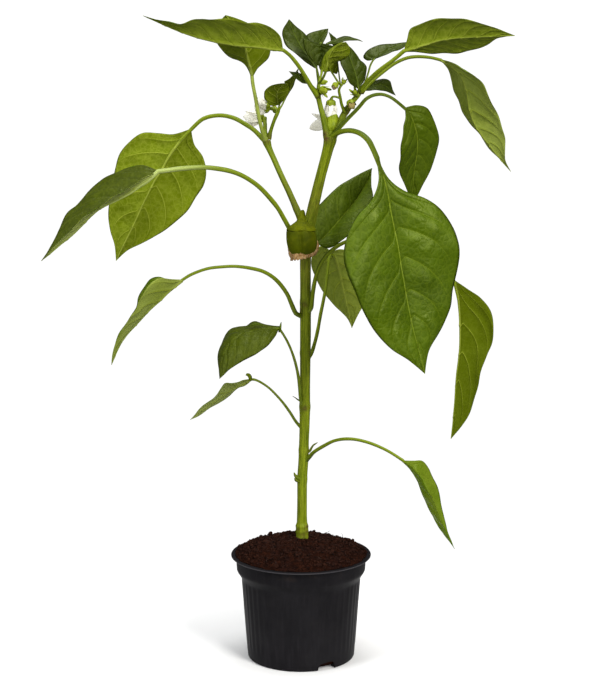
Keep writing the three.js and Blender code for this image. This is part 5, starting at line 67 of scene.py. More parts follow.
    "leaf_top_3": {"up": 1, "thin": 0.75, "arch": 0.06, "stalk": [[14.69, -7.0, 491.67, 1.0], [17.05, 0.0, 499.63, 0.97], [17.9, 4.0, 509.32, 0.94], [17.24, 5.0, 517.44, 0.91], [16.39, 3.0, 521.83, 0.9], [16.01, -1.0, 523.47, 0.9], [15.72, -5.0, 522.84, 0.9]], "rib": [[15.72, -5.0, 522.76], [15.91, -6.14, 521.19], [16.07, -7.29, 519.62], [16.2, -8.44, 518.05], [16.33, -9.6, 516.48], [16.4, -10.77, 514.91], [16.39, -11.93, 513.34], [16.33, -13.11, 511.77], [16.25, -14.28, 510.2], [16.13, -15.46, 508.64], [15.94, -16.63, 507.09], [15.67, -17.81, 505.55], [15.36, -18.99, 504.01]], "marginA": [[15.07, -5.0, 522.92], [11.51, -7.65, 523.58], [8.08, -9.88, 524.62], [4.6, -11.54, 526.02], [1.58, -12.84, 527.35], [1.77, -13.9, 523.8], [2.36, -14.8, 520.25], [3.46, -15.6, 516.93], [5.27, -16.35, 513.87], [7.43, -17.04, 511.09], [9.92, -17.71, 508.55], [12.55, -18.36, 506.19], [15.36, -18.99, 504.01]], "marginB": [[16.7, -5.0, 522.76], [19.37, -10.32, 522.6], [21.96, -14.98, 522.22], [24.49, -18.46, 521.39], [27.44, -20.81, 520.66], [26.95, -22.34, 519.02], [25.08, -23.38, 516.76], [23.41, -23.85, 514.68], [21.87, -23.69, 512.49], [20.41, -22.98, 510.25], [18.97, -21.86, 507.97], [17.32, -20.49, 505.88], [15.36, -18.99, 504.01]]},
    "leaf_top_4": {"up": 1, "thin": 0.75, "arch": 0.06, "stalk": [[14.77, -8.0, 490.48, 0.9], [16.5, -13.0, 493.03, 0.94], [18.44, -20.0, 496.41, 0.98], [20.13, -26.0, 500.94, 1.0]], "rib": [[20.13, -26.0, 500.94], [20.67, -27.19, 503.44], [21.17, -28.37, 505.94], [21.6, -29.56, 508.46], [22.01, -30.74, 510.98], [22.69, -31.92, 513.38], [23.85, -33.09, 515.67], [25.25, -34.25, 517.75], [26.96, -35.41, 519.65], [28.88, -36.56, 521.23], [31.07, -37.71, 522.53], [33.38, -38.86, 523.45], [35.83, -40.01, 524.08]], "marginA": [[19.32, -26.0, 500.94], [16.69, -24.16, 502.72], [16.53, -22.31, 505.34], [16.69, -21.14, 508.3], [17.84, -20.85, 511.04], [19.32, -21.25, 513.58], [21.1, -22.02, 515.9], [23.16, -23.15, 518.0], [25.41, -24.96, 519.84], [27.82, -27.63, 521.48], [30.36, -31.18, 522.81], [33.04, -35.39, 523.73], [35.83, -40.01, 524.08]], "marginB": [[20.94, -26.0, 500.94], [22.31, -23.23, 503.49], [24.14, -21.48, 505.56], [26.54, -21.53, 507.2], [29.17, -23.33, 508.26], [31.84, -26.14, 509.23], [34.45, -28.99, 510.26], [36.92, -31.44, 511.79], [38.61, -33.51, 513.87], [39.57, -35.31, 516.62], [38.99, -36.94, 519.37], [37.74, -38.49, 521.9], [35.83, -40.01, 524.08]]},
    "leaf_top_5": {"up": -1, "thin": 0.75, "arch": 0.06, "stalk": [[49.57, 6.5, 483.14, 1.1], [48.59, 2.0, 484.51, 1.03], [47.22, -2.0, 486.66, 1.0]], "rib": [[47.22, -2.0, 486.66], [46.71, -0.66, 489.78], [46.09, 0.69, 492.87], [45.34, 2.02, 495.93], [44.46, 3.36, 498.98], [43.51, 4.69, 502.0], [42.45, 6.02, 504.99], [41.38, 7.35, 507.98], [40.37, 8.68, 510.99], [39.37, 10.01, 514.01], [38.37, 11.34, 517.03], [37.37, 12.67, 520.06], [36.36, 14.0, 523.09]], "marginA": [[46.4, -2.0, 486.25], [43.11, -4.58, 488.03], [40.04, -6.72, 490.27], [38.2, -7.88, 493.17], [37.11, -7.8, 496.67], [35.55, -6.4, 499.85], [33.75, -3.91, 502.94], [32.32, -0.82, 506.07], [32.03, 2.44, 509.62], [32.38, 5.64, 513.15], [33.16, 8.67, 516.65], [34.39, 11.44, 520.06], [36.36, 14.0, 523.09]], "marginB": [[48.04, -2.0, 486.66], [50.22, 3.31, 489.72], [52.72, 7.78, 492.62], [53.93, 10.92, 496.14], [54.5, 12.84, 499.91], [54.49, 14.1, 503.59], [52.27, 15.22, 506.7], [49.38, 16.06, 509.2], [47.27, 16.3, 512.4], [44.89, 16.03, 515.4], [42.3, 15.45, 518.23], [39.47, 14.75, 520.82], [36.36, 14.0, 523.09]]},
    "leaf_top_6": {"up": -1, "thin": 0.75, "arch": 0.06, "stalk": [[14.86, -6.5, 491.66, 0.8], [16.52, 10.0, 496.98, 0.75], [17.03, 20.0, 504.18, 0.72], [18.29, 22.0, 513.2, 0.7], [21.21, 24.0, 522.22, 0.7]], "rib": [[21.21, 24.0, 522.22], [23.68, 24.5, 523.01], [26.17, 25.0, 523.74], [28.68, 25.5, 524.44], [31.2, 26.0, 525.09], [33.75, 26.5, 525.56], [36.34, 27.0, 525.95], [38.94, 27.5, 526.08], [41.56, 28.0, 526.02], [44.16, 28.5, 525.91], [46.73, 29.0, 525.59], [49.28, 29.5, 524.95], [51.8, 30.0, 524.09]], "marginA": [[20.79, 24.0, 523.05], [23.37, 28.12, 524.04], [25.98, 31.58, 525.0], [28.6, 33.94, 525.91], [31.18, 35.26, 526.89], [33.73, 35.81, 527.9], [36.39, 35.82, 528.64], [39.08, 35.51, 528.63], [41.73, 34.94, 527.92], [44.26, 34.1, 526.93], [46.89, 32.97, 526.23], [49.42, 31.59, 525.37], [51.8, 30.0, 524.09]], "marginB": [[21.62, 24.0, 521.81], [24.12, 20.96, 521.83], [26.6, 18.58, 521.84], [29.08, 17.23, 522.14], [31.55, 16.83, 522.73], [33.97, 17.13, 523.46], [36.36, 17.97, 524.34], [38.86, 19.24, 524.76], [41.43, 20.88, 525.0], [44.02, 22.83, 525.01], [46.63, 25.01, 524.96], [49.22, 27.4, 524.73], [51.8, 30.0, 524.09]]},
    "leaf_top_7": {"up": -1, "thin": 0.75, "arch": 0.06, "stalk": [[50.39, 6.5, 485.6, 0.9], [53.88, 13.0, 492.81, 0.86], [56.18, 20.0, 499.24, 0.82], [58.0, 25.0, 504.92, 0.8], [60.59, 28.0, 509.42, 0.8]], "rib": [[60.59, 28.0, 509.42], [62.84, 29.66, 511.21], [65.18, 31.32, 512.87], [67.62, 32.98, 514.38], [70.17, 34.64, 515.77], [72.78, 36.3, 517.06], [75.43, 37.96, 518.26], [78.13, 39.63, 519.37], [80.87, 41.3, 520.4], [83.65, 42.97, 521.37], [86.45, 44.65, 522.25], [89.29, 46.32, 523.06], [92.17, 48.0, 523.79]], "marginA": [[59.76, 28.0, 509.01], [55.5, 30.78, 508.39], [52.24, 33.41, 511.02], [54.13, 35.81, 514.96], [57.34, 37.96, 517.9], [61.28, 39.92, 520.01], [65.53, 41.78, 521.45], [69.96, 43.6, 521.99], [74.44, 45.3, 522.3], [78.91, 46.65, 522.57], [83.33, 47.5, 523.14], [87.75, 47.9, 523.55], [92.17, 48.0, 523.79]], "marginB": [[61.84, 28.0, 509.83], [64.29, 24.15, 510.71], [66.72, 21.75, 511.72], [69.16, 21.52, 512.9], [71.7, 22.86, 514.0], [74.34, 25.12, 515.01], [77.03, 27.89, 515.93], [79.83, 30.95, 516.68], [82.61, 34.2, 517.47], [85.27, 37.58, 518.6], [87.81, 41.03, 520.05], [90.1, 44.51, 521.75], [92.17, 48.0, 523.79]]},
    "leaf_top_8": {"up": -1, "thin": 0.75, "arch": 0.06, "stalk": [[49.18, 7.0, 482.31, 1.0], [50.58, 12.0, 483.8, 0.93], [51.96, 16.0, 484.5, 0.9]], "rib": [[51.96, 16.0, 484.5], [54.43, 18.0, 485.4], [56.91, 20.0, 486.24], [59.42, 22.0, 487.11], [61.96, 23.99, 487.87], [64.6, 25.99, 488.17], [67.29, 27.99, 488.3], [69.9, 29.99, 487.79], [72.34, 31.99, 486.48], [74.46, 33.99, 484.82], [76.45, 35.99, 482.91], [78.41, 38.0, 481.01], [80.3, 40.0, 479.02]], "marginA": [[51.96, 16.0, 485.33], [54.22, 22.01, 487.69], [56.94, 27.39, 489.49], [60.01, 31.57, 490.89], [63.16, 34.47, 492.04], [66.37, 36.32, 492.98], [69.62, 37.42, 493.64], [72.95, 38.16, 493.16], [75.59, 38.85, 491.15], [76.49, 39.6, 488.09], [77.35, 40.11, 484.87], [78.68, 40.23, 481.87], [80.3, 40.0, 479.02]], "marginB": [[52.38, 16.0, 483.68], [54.58, 13.76, 483.85], [56.81, 12.27, 484.01], [59.07, 12.08, 484.19], [61.39, 13.14, 484.36], [63.75, 15.11, 484.35], [66.15, 17.75, 484.09], [68.56, 20.82, 483.65], [70.95, 24.16, 483.06], [73.31, 27.77, 482.17], [75.62, 31.63, 481.15], [77.94, 35.73, 480.06], [80.3, 40.0, 479.02]]},
    "leaf_top_9": {"up": 1, "thin": 0.75, "arch": 0.06, "stalk": [[-19.58, 13.0, 465.63, 0.9], [-18.72, 11.0, 469.01, 0.83], [-17.87, 10.0, 472.76, 0.8]], "rib": [[-17.87, 10.0, 472.76], [-18.64, 7.85, 474.52], [-19.22, 5.69, 476.31], [-19.54, 3.53, 478.14], [-19.73, 1.37, 480.04], [-19.78, -0.8, 481.89], [-19.3, -2.97, 483.73], [-18.4, -5.14, 485.44], [-17.33, -7.31, 486.88], [-15.88, -9.49, 488.14], [-14.35, -11.66, 489.2], [-12.75, -13.83, 490.1], [-11.03, -16.0, 490.85]], "marginA": [[-18.7, 10.0, 472.35], [-22.21, 6.24, 471.71], [-25.34, 2.69, 472.21], [-28.02, -0.34, 474.75], [-30.09, -2.79, 477.68], [-30.53, -4.94, 481.09], [-30.12, -6.97, 484.42], [-27.6, -9.08, 487.07], [-24.61, -11.13, 488.96], [-21.33, -12.9, 490.04], [-17.9, -14.3, 490.71], [-14.47, -15.3, 490.83], [-11.03, -16.0, 490.85]], "marginB": [[-17.04, 10.0, 473.17], [-15.9, 4.18, 474.59], [-14.84, -0.98, 476.01], [-13.85, -4.9, 477.42], [-12.92, -7.54, 478.81], [-12.02, -9.21, 480.21], [-11.26, -10.28, 481.62], [-10.64, -11.01, 483.1], [-10.08, -11.63, 484.64], [-9.84, -12.37, 486.19], [-9.96, -13.37, 487.73], [-10.35, -14.61, 489.29], [-11.03, -16.0, 490.85]]},
    "leaf_top_10": {"up": 1, "thin": 0.75, "arch": 0.06, "stalk": [[-18.74, 12.5, 467.3, 0.8], [-16.26, 15.0, 471.33, 0.75], [-14.19, 17.0, 475.39, 0.71], [-12.12, 19.0, 479.46, 0.7]], "rib": [[-12.12, 19.0, 479.46], [-11.12, 18.5, 481.33], [-10.18, 17.99, 483.23], [-9.29, 17.49, 485.15], [-8.47, 16.99, 487.09], [-7.68, 16.49, 489.05], [-6.86, 15.99, 490.99], [-6.04, 15.49, 492.93], [-5.24, 14.99, 494.87], [-4.45, 14.49, 496.82], [-3.67, 13.99, 498.77], [-2.89, 13.5, 500.71], [-2.1, 13.0, 502.65]], "marginA": [[-12.7, 19.0, 479.62], [-12.52, 15.13, 482.14], [-12.5, 12.01, 484.62], [-12.73, 10.13, 487.05], [-13.31, 9.38, 489.49], [-14.08, 9.17, 491.73], [-12.51, 8.85, 492.84], [-10.1, 8.54, 493.94], [-8.24, 8.64, 495.47], [-6.55, 9.22, 497.13], [-5.0, 10.2, 498.92], [-3.51, 11.48, 500.76], [-2.1, 13.0, 502.65]], "marginB": [[-11.45, 19.0, 479.62], [-10.18, 22.13, 481.19], [-9.0, 24.58, 482.85], [-7.93, 25.95, 484.61], [-6.94, 26.31, 486.46], [-6.05, 25.94, 488.38], [-5.26, 25.02, 490.35], [-4.56, 23.69, 492.36], [-3.84, 22.02, 494.37], [-3.07, 20.05, 496.38], [-2.53, 17.87, 498.43], [-2.24, 15.52, 500.52], [-2.1, 13.0, 502.65]]},
    "leaf_top_11": {"up": -1, "thin": 0.75, "arch": 0.06, "stalk": [[12.73, -7.5, 485.19, 0.8], [9.81, -4.0, 487.94, 0.73], [6.95, -1.0, 490.7, 0.7]], "rib": [[6.95, -1.0, 490.7], [5.57, -0.75, 491.59], [4.18, -0.5, 492.46], [2.79, -0.25, 493.31], [1.38, 0.0, 494.16], [-0.03, 0.25, 495.0], [-1.44, 0.5, 495.82], [-2.87, 0.75, 496.63], [-4.31, 1.0, 497.42], [-5.75, 1.25, 498.2], [-7.21, 1.5, 498.95], [-8.68, 1.75, 499.69], [-10.16, 2.0, 500.4]], "marginA": [[6.54, -1.0, 489.89], [4.78, -2.88, 490.02], [3.09, -4.43, 490.28], [1.48, -5.36, 490.67], [-0.08, -5.69, 491.43], [-1.55, -5.58, 492.36], [-2.89, -5.13, 493.35], [-4.14, -4.44, 494.5], [-5.39, -3.51, 495.66], [-6.68, -2.38, 496.75], [-7.94, -1.08, 497.87], [-9.09, 0.37, 499.09], [-10.16, 2.0, 500.4]], "marginB": [[6.54, -1.0, 491.52], [5.68, 1.59, 492.93], [4.7, 3.74, 494.25], [3.63, 5.16, 495.47], [2.46, 5.89, 496.64], [1.14, 6.13, 497.76], [-0.29, 6.06, 498.63], [-1.84, 5.82, 499.23], [-3.51, 5.44, 499.64], [-5.19, 4.93, 499.7], [-6.88, 4.22, 499.71], [-8.54, 3.25, 499.86], [-10.16, 2.0, 500.4]]},
    "leaf_top_12": {"up": 1, "thin": 0.75, "arch": 0.06, "stalk": [[32.72, -7.0, 488.42, 0.8], [30.44, 2.0, 491.44, 0.8], [27.65, 8.0, 495.79, 0.8], [24.81, 12.0, 500.21, 0.8]], "rib": [[24.81, 12.0, 500.21], [24.21, 11.34, 501.75], [23.73, 10.69, 503.31], [23.45, 10.03, 504.89], [23.25, 9.37, 506.51], [23.11, 8.71, 508.13], [23.08, 8.04, 509.74], [23.26, 7.38, 511.34], [23.58, 6.71, 512.93], [23.93, 6.04, 514.5], [24.34, 5.36, 516.04], [24.86, 4.69, 517.57], [25.45, 4.01, 519.07]], "marginA": [[23.99, 12.0, 499.8], [21.29, 12.93, 499.41], [18.75, 13.33, 499.45], [16.13, 13.1, 500.81], [14.99, 12.61, 502.78], [14.51, 12.04, 505.53], [14.67, 11.42, 508.12], [15.82, 10.72, 510.57], [17.21, 9.83, 512.76], [18.96, 8.7, 514.77], [20.92, 7.33, 516.47], [23.07, 5.74, 517.9], [25.45, 4.01, 519.07]], "marginB": [[25.65, 12.0, 499.39], [28.06, 12.13, 497.98], [29.59, 12.29, 497.82], [30.56, 12.49, 499.81], [30.86, 12.71, 502.31], [30.7, 12.7, 504.53], [30.43, 12.3, 506.75], [30.03, 11.47, 508.95], [29.46, 10.29, 511.12], [28.75, 8.87, 513.23], [27.83, 7.31, 515.28], [26.74, 5.68, 517.23], [25.45, 4.01, 519.07]]},
    "leaf_top_13": {"up": -1, "thin": 0.75, "arch": 0.06, "stalk": [[32.32, -6.5, 488.41, 0.7], [31.32, 18.0, 499.28, 0.64], [30.27, 38.0, 510.54, 0.6], [28.71, 46.0, 519.63, 0.6]], "rib": [[28.71, 46.0, 519.63], [28.42, 45.67, 520.73], [28.1, 45.34, 521.82], [27.73, 45.0, 522.9], [27.35, 44.67, 523.97], [26.91, 44.34, 525.02], [26.42, 44.0, 526.05], [25.92, 43.67, 527.07], [25.42, 43.34, 528.09], [24.91, 43.0, 529.11], [24.38, 42.67, 530.11], [23.85, 42.33, 531.12], [23.3, 42.0, 532.11]], "marginA": [[27.87, 46.0, 519.63], [27.08, 42.91, 520.54], [26.39, 40.3, 521.49], [25.83, 38.5, 522.47], [25.44, 37.46, 523.48], [25.15, 36.98, 524.55], [24.91, 36.92, 525.65], [24.67, 37.18, 526.74], [24.41, 37.72, 527.82], [24.13, 38.48, 528.89], [23.86, 39.45, 529.97], [23.58, 40.62, 531.04], [23.3, 42.0, 532.11]], "marginB": [[29.56, 46.0, 519.63], [30.53, 48.02, 520.83], [31.12, 49.71, 522.05], [31.33, 50.74, 523.28], [31.09, 51.1, 524.57], [30.47, 50.95, 525.85], [29.76, 50.41, 526.95], [28.81, 49.59, 527.9], [27.69, 48.53, 528.77], [26.58, 47.23, 529.63], [25.51, 45.71, 530.48], [24.41, 43.96, 531.31], [23.3, 42.0, 532.11]]},
}
FLOWERS = [
    {"name": "flower_1", "at": [24.62, -3.2, 477.41], "axis": [-0.02, 0.12, -1], "spin": 0.2, "cr": 4.5, "ch": 4.6, "lobes": 6, "cut": 0.5, "rows": [[0, 0, 0], [2.2, 0.6, 0], [3.2, 3.4, 0], [4.9, 8.5, 0.4], [5.5, 14.6, 1]], "stalk": [[32.22, -5.0, 478.37, 0.9], [28.69, -5.0, 479.59, 0.8], [25.83, -4.4, 479.41, 0.8], [24.61, -4.0, 476.46, 1.1]]},
    {"name": "flower_2", "at": [24.36, -8.5, 451.44], "axis": [0.05, 0.5, 0.86], "spin": 0.3, "cr": 4.6, "ch": 9.2, "lobes": 5, "cut": 0.62, "rows": [[0, -1.6, 0], [2.6, -1.2, 0], [4.0, 1.2, 0], [8.8, 3.6, 0.75], [13.6, 4.6, 1]], "seat": [22.81, 9.0, 458.38], "face": [0.02, 0.98, 0.12], "stalk": [[23.38, -9.0, 445.34, 1.4], [23.62, -8.8, 449.0, 1.3], [24.38, -7.5, 452.29, 1.5]], "neck": [[24.66, -4.5, 456.55, 1.4], [24.09, 1.0, 457.93, 1.3], [22.78, 7.0, 458.47, 1.3]]},
    {"name": "flower_3", "at": [-30.91, 30.0, 461.58], "axis": [-0.97, 0.12, -0.1], "spin": 0.1, "cr": 4.1, "ch": 3.8, "lobes": 6, "cut": 0.45, "rows": [[0, 0, 0], [2.0, 0.6, 0], [3.0, 3.0, 0], [5.3, 8.6, 0.4], [5.7, 15, 1]], "stalk": [[-29.27, 16.0, 445.6, 1.4], [-29.91, 20.0, 450.37, 1.2], [-30.24, 25.0, 455.96, 1.3], [-30.98, 29.5, 460.76, 1.3]]},
    {"name": "flower_4", "at": [-25.64, 18.0, 469.32], "axis": [-0.98, -0.05, 0.15], "spin": 0.5, "cr": 4.1, "ch": 3.8, "lobes": 6, "cut": 0.5, "rows": [[0, 0, 0], [2.0, 0.6, 0], [2.9, 2.8, 0], [5.2, 7, 0.5], [6.6, 11.5, 1]], "stalk": [[-19.16, 13.0, 465.22, 1.1], [-21.27, 15.5, 468.01, 1.0], [-25.05, 17.8, 469.24, 1.2]]},
]
BUDS = [
    {"name": "bud_1", "at": [15.4, -11.0, 486.51], "axis": [0.817, -0.397, -0.417], "rows": [[0.0, 0.0], [1.48, 0.23], [2.97, 1.89], [3.3, 3.77], [3.04, 5.44], [1.98, 6.95], [0.0, 7.55]], "stalk": [[14.2, -8.3, 484.41, 1.3], [15.88, -11.3, 486.28, 1.2]]},
    {"name": "bud_2", "at": [28.94, -11.0, 491.36], "axis": [-0.393, -0.29, -0.872], "rows": [[0.0, 0.0], [1.12, 0.21], [2.25, 1.72], [2.5, 3.44], [2.3, 4.96], [1.5, 6.34], [0.0, 6.89]], "stalk": [[32.96, -7.2, 489.0, 0.8], [31.03, -9.0, 491.31, 0.8], [28.78, -11.0, 490.47, 0.9]]},
    {"name": "bud_3", "at": [15.19, -7.0, 490.86], "axis": [0.96, 0.209, 0.187], "rows": [[0.0, 0.0], [0.9, 0.22], [1.8, 1.79], [2.0, 3.59], [1.84, 5.17], [1.2, 6.6], [0.0, 7.18]], "stalk": [[14.53, -7.6, 489.25, 1.0], [16.0, -7.0, 491.02, 1.1]]},
    {"name": "bud_4", "at": [40.26, -2.5, 476.41], "axis": [0.207, -0.704, -0.68], "rows": [[0.0, 0.0], [1.62, 0.28], [3.24, 2.31], [3.6, 4.62], [3.31, 6.65], [2.16, 8.5], [0.0, 9.24]], "stalk": [[41.67, 3.0, 473.43, 1.4], [40.61, -2.0, 475.66, 1.5]]},
    {"name": "bud_5", "at": [45.73, 2.0, 480.83], "axis": [-0.351, -0.788, 0.506], "rows": [[0.0, 0.0], [1.08, 0.23], [2.16, 1.9], [2.4, 3.81], [2.21, 5.48], [1.44, 7.0], [0.0, 7.61]], "stalk": [[46.24, 5.0, 479.5, 1.3], [45.63, 1.5, 481.01, 1.3]]},
    {"name": "bud_6", "at": [-20.87, 16.0, 465.92], "axis": [-0.245, 0.738, 0.629], "rows": [[0.0, 0.0], [1.03, 0.26], [2.07, 2.2], [2.3, 4.4], [2.12, 6.34], [1.38, 8.1], [0.0, 8.81]], "stalk": [[-19.0, 13.2, 465.13, 0.9], [-21.04, 17.0, 466.62, 0.9]]},
    {"name": "bud_7", "at": [34.06, -5.4, 490.0], "axis": [0.409, 0.425, 0.807], "rows": [[0.0, 0.0], [0.81, 0.13], [1.62, 1.12], [1.8, 2.24], [1.66, 3.22], [1.08, 4.11], [0.0, 4.47]], "stalk": [[33.05, -6.6, 488.58, 0.8], [34.22, -5.2, 490.32, 0.9]]},
]
FRUIT = {"at": [0.21, -14.0, 380.74], "axis": [-0.0173, -0.0605, -0.998], "body": [[0, 5.2], [4, 5.4], [7.6, 7.1], [10.5, 9.1], [11.9, 10.9], [12.4, 15], [12.5, 20], [11.6, 25], [9.8, 28.5], [8.2, 29.6], [0, 29]], "cap": [[0.0, 0.0], [3.0, 0.2], [5.6, 1.6], [9.0, 4.6], [11.4, 8.6], [11.75, 9.4], [11.1, 9.1], [8.3, 5.2], [4.6, 3.1], [0.0, 2.9]], "capEdge": 5, "withered": [[8.4, 30.2], [10.4, 29.3], [12.9, 26.6], [13.5, 27.0], [12.6, 30.2], [10.0, 32.6], [7.6, 32.8], [4.5, 31.6], [4.5, 30.7]], "stalk": [[2.48, 2.0, 368.26, 1.5], [2.47, -3.0, 376.31, 1.4], [2.12, -8.0, 383.46, 1.4], [1.29, -11.5, 385.87, 1.5], [0.46, -13.6, 384.01, 1.8], [0.21, -14.0, 379.91, 2.4]]}
SIDE = [
    {"name": "side_bud_left", "tubes": [[[-0.0, 10.0, 153.51, 2.6], [-3.0, 8.0, 155.33, 2.4], [-4.89, 7.0, 157.34, 1.6], [-6.0, 7.0, 159.98, 0.5]], [[-0.86, 10.0, 151.75, 2.0], [-3.86, 7.0, 153.11, 1.9], [-5.4, 6.0, 155.12, 0.6]]]},
    {"name": "side_shoot_right", "tubes": [[[4.71, 11.0, 176.62, 1.8], [7.53, 9.5, 178.46, 1.5], [8.9, 8.5, 181.15, 1.2], [10.51, 7.5, 183.74, 1.0], [12.38, 6.5, 185.28, 0.8], [14.17, 6.0, 186.62, 0.3]]]},
    {"name": "side_spike_left", "tubes": [[[-0.01, 10.0, 221.43, 1.0], [-2.56, 9.0, 223.11, 0.8], [-5.12, 8.5, 225.12, 0.5], [-7.42, 8.0, 226.61, 0.2]]]},
]
NOTCH_W, NOTCH_H, NOTCH_AT = 17.0, 7.0, (29, 149, 269)
# brown nodes and scars on the stems, and painted shade: the wide marks with no swelling darken the stems near the fruit
# where shade falls; columns x, y, z, reach, strength, swelling
STEM_SCARS_AND_SHADE = {
    # main_stem: the two wide marks at z 342 and 328 are painted shade below the fruit
    "main_stem": [[5.42, 5.0, 111.89, 1.6, 1.0, 0.8], [4.99, 5.0, 107.44, 1.6, 0.9, 0.5], [-2.58, 5.0, 108.78, 1.8, 0.6, 0.2], [1.72, 6.0, 104.94, 3.2, 0.6, 0.0], [-0.43, 5.0, 114.11, 1.4, 0.35, 0.0], [2.58, 5.0, 110.55, 1.6, 0.4, 0.15], [1.66, 4.0, 341.95, 13, 0.42, 0.0], [2.5, 4.0, 328.43, 14, 0.3, 0.0], [3.35, 4.0, 306.36, 2.6, 0.9, 0.35], [-1.7, 4.0, 298.7, 2.4, 0.85, 0.3], [3.4, 6.0, 216.6, 2.6, 0.9, 0.4], [8.45, 6.0, 264.13, 2.2, 0.7, 0.3], [-4.29, 7.0, 153.38, 2.2, 0.5, 0.3], [7.69, 7.0, 177.99, 2.4, 0.5, 0.3], [1.65, 2.0, 367.42, 5, 0.25, 0.5]],
    # branch_left: the two wide marks at z 390 and 402 are painted shade beside the fruit
    "branch_left": [[-7.54, 5.0, 389.72, 14, 0.36, 0.0], [-12.54, 6.0, 402.16, 14, 0.26, 0.0], [-29.2, 12.0, 443.33, 3.6, 0.75, 0.5], [-9.21, 5.0, 383.87, 2.6, 0.35, 0.2]],
    # branch_right: the two wide marks at z 390 and 403 are painted shade beside the fruit
    "branch_right": [[10.79, 0.0, 390.19, 14, 0.34, 0.0], [14.07, -2.0, 402.83, 13, 0.24, 0.0], [21.3, -11.0, 445.45, 3.4, 1.0, 0.5], [22.93, -11.0, 449.53, 2.6, 1.0, 0.2]],
    "shoot_left": [[-25.86, 12.0, 445.82, 2.6, 0.6, 0.2]],
    "shoot_right_front": [[19.65, -11.0, 449.53, 2.6, 0.9, 0.2]],
    "shoot_right_back": [[24.62, -8.0, 450.19, 2.6, 0.8, 0.2], [38.75, 1.0, 466.95, 3.6, 0.7, 0.5]],
}
# how deep the green of each leaf is, 0 to 1, and paler below 0; this also paints light: deep values darken leaves that
# sit in shade, such as leaf_right_2, and values below 0 paint a pale sheen on leaves such as leaf_right_7 and lighten
# shaded ones such as leaf_right_3
LEAF_TONES_AND_LIGHT = {
    "leaf_left_3": 0.25,
    "leaf_left_1": -0.15,
    "leaf_left_2": 0.65,
    "leaf_left_7": -1.0,
    "leaf_right_7": -0.85,
    "leaf_right_8": 1.0,
    "leaf_right_5": -0.15,
    "leaf_right_6": -0.45,
    "leaf_right_3": -0.35,
    "leaf_top_4": 0.1,
    "leaf_right_1": 0.2,
    "leaf_right_4": 0.45,
    "leaf_right_2": 0.45,
    "leaf_left_6": 1.0,
    "leaf_left_4": 1.0,
    "leaf_left_5": -0.6,
    "leaf_top_5": 0.3,
    "leaf_top_9": 0.6,
}
CURLS = {
    "leaf_left_6": [{"rows": [[-18.51, -37.0, 289.2, 0.9], [-18.09, -37.5, 292.19, 1.7], [-17.43, -37.0, 294.6, 1.2], [-16.47, -35.0, 297.19, 0.35]], "roll": 1.7, "deep": 1.0, "mats": [0, 0]}, {"rows": [[-43.38, -42.0, 294.58, 0.3], [-39.26, -43.0, 296.81, 1.5], [-35.17, -43.0, 297.39, 1.7], [-31.14, -41.0, 294.83, 0.3]], "roll": 1.2, "deep": 0.9, "mats": [0, 0]}],
    "leaf_left_7": [{"rows": [[-45.54, 54.0, 230.34, 1.0], [-45.7, 54.0, 233.01, 2.0], [-46.92, 54.0, 235.24, 1.9], [-48.24, 54.5, 235.68, 0.8]], "roll": 2.6, "deep": 0.8, "mats": [1, 1]}],
    "leaf_right_8": [{"rows": [[143.11, 24.0, 315.03, 0.3], [147.93, 25.0, 312.3, 1.3], [152.78, 26.0, 308.71, 1.2], [156.81, 27.0, 303.82, 0.3]], "roll": 1.2, "deep": 0.9, "mats": [0, 0]}],
}
# quilting, sweep and number of side veins
FORMS = {
    "leaf_right_8": [0.55, 2.6, 5.0],
    "leaf_left_6": [0.4, 1.0, 6.0],
    "leaf_left_4": [0.6, 1.5, 7.0],
    "leaf_right_1": [0.95, 1.0, 7.5],
    "leaf_left_5": [0.7, 1.2, 6.0],
    "leaf_right_6": [1.1, 1.7, 7.0],
    "leaf_left_3": [1.0, 0.9, 7.0],
    "leaf_right_5": [1.1, 1.2, 7.0],
    "leaf_right_3": [1.0, 1.2, 6.0],
    "leaf_right_4": [1.2, 1.3, 6.5],
    "leaf_left_1": [0.9, 1.3, 8.0],
    "leaf_right_2": [0.8, 1.2, 6.0],
}
SKIRT = [
    [[10.71, -14.0, 365.0], [14.86, -14.0, 357.52], [11.97, -14.0, 350.44]],
    [[8.61, -21.0, 355.01], [10.26, -21.0, 351.7], [9.44, -21.0, 349.63]],
    [[4.07, -23.5, 352.58], [4.49, -23.5, 350.51], [4.9, -23.5, 349.1]],
    [[-1.68, -24.5, 353.36], [-1.27, -24.5, 350.05], [-0.86, -24.5, 347.57]],
    [[-6.62, -22.0, 355.13], [-6.38, -22.0, 350.16], [-5.39, -22.0, 346.02]],
    [[-10.95, -14.0, 356.27], [-10.13, -14.0, 350.86], [-8.73, -14.0, 345.86]],
    [[-8.34, -7.0, 355.87], [-7.51, -7.0, 351.69], [-6.68, -7.0, 347.51]],
    [[-0.03, -3.0, 356.25], [-0.03, -3.0, 352.9], [0.81, -3.0, 349.54]],
    [[8.28, -7.0, 360.05], [10.36, -7.0, 355.87], [9.95, -7.0, 352.53]],
]
FIBRES = [
    [[19.27, 30.0, 97.28, 0.22], [21.02, 30.0, 99.99, 0.2], [23.64, 30.0, 100.89, 0.18], [25.38, 30.0, 102.25, 0.1]],
    [[36.78, 30.0, 95.47, 0.2], [36.34, 30.0, 98.18, 0.16], [35.45, 30.0, 99.99, 0.1]],
    [[21.87, 28.0, 98.75, 0.18], [23.61, 28.0, 100.1, 0.16], [26.23, 28.0, 99.2, 0.1]],
]

MM = 0.001
PI = math.pi


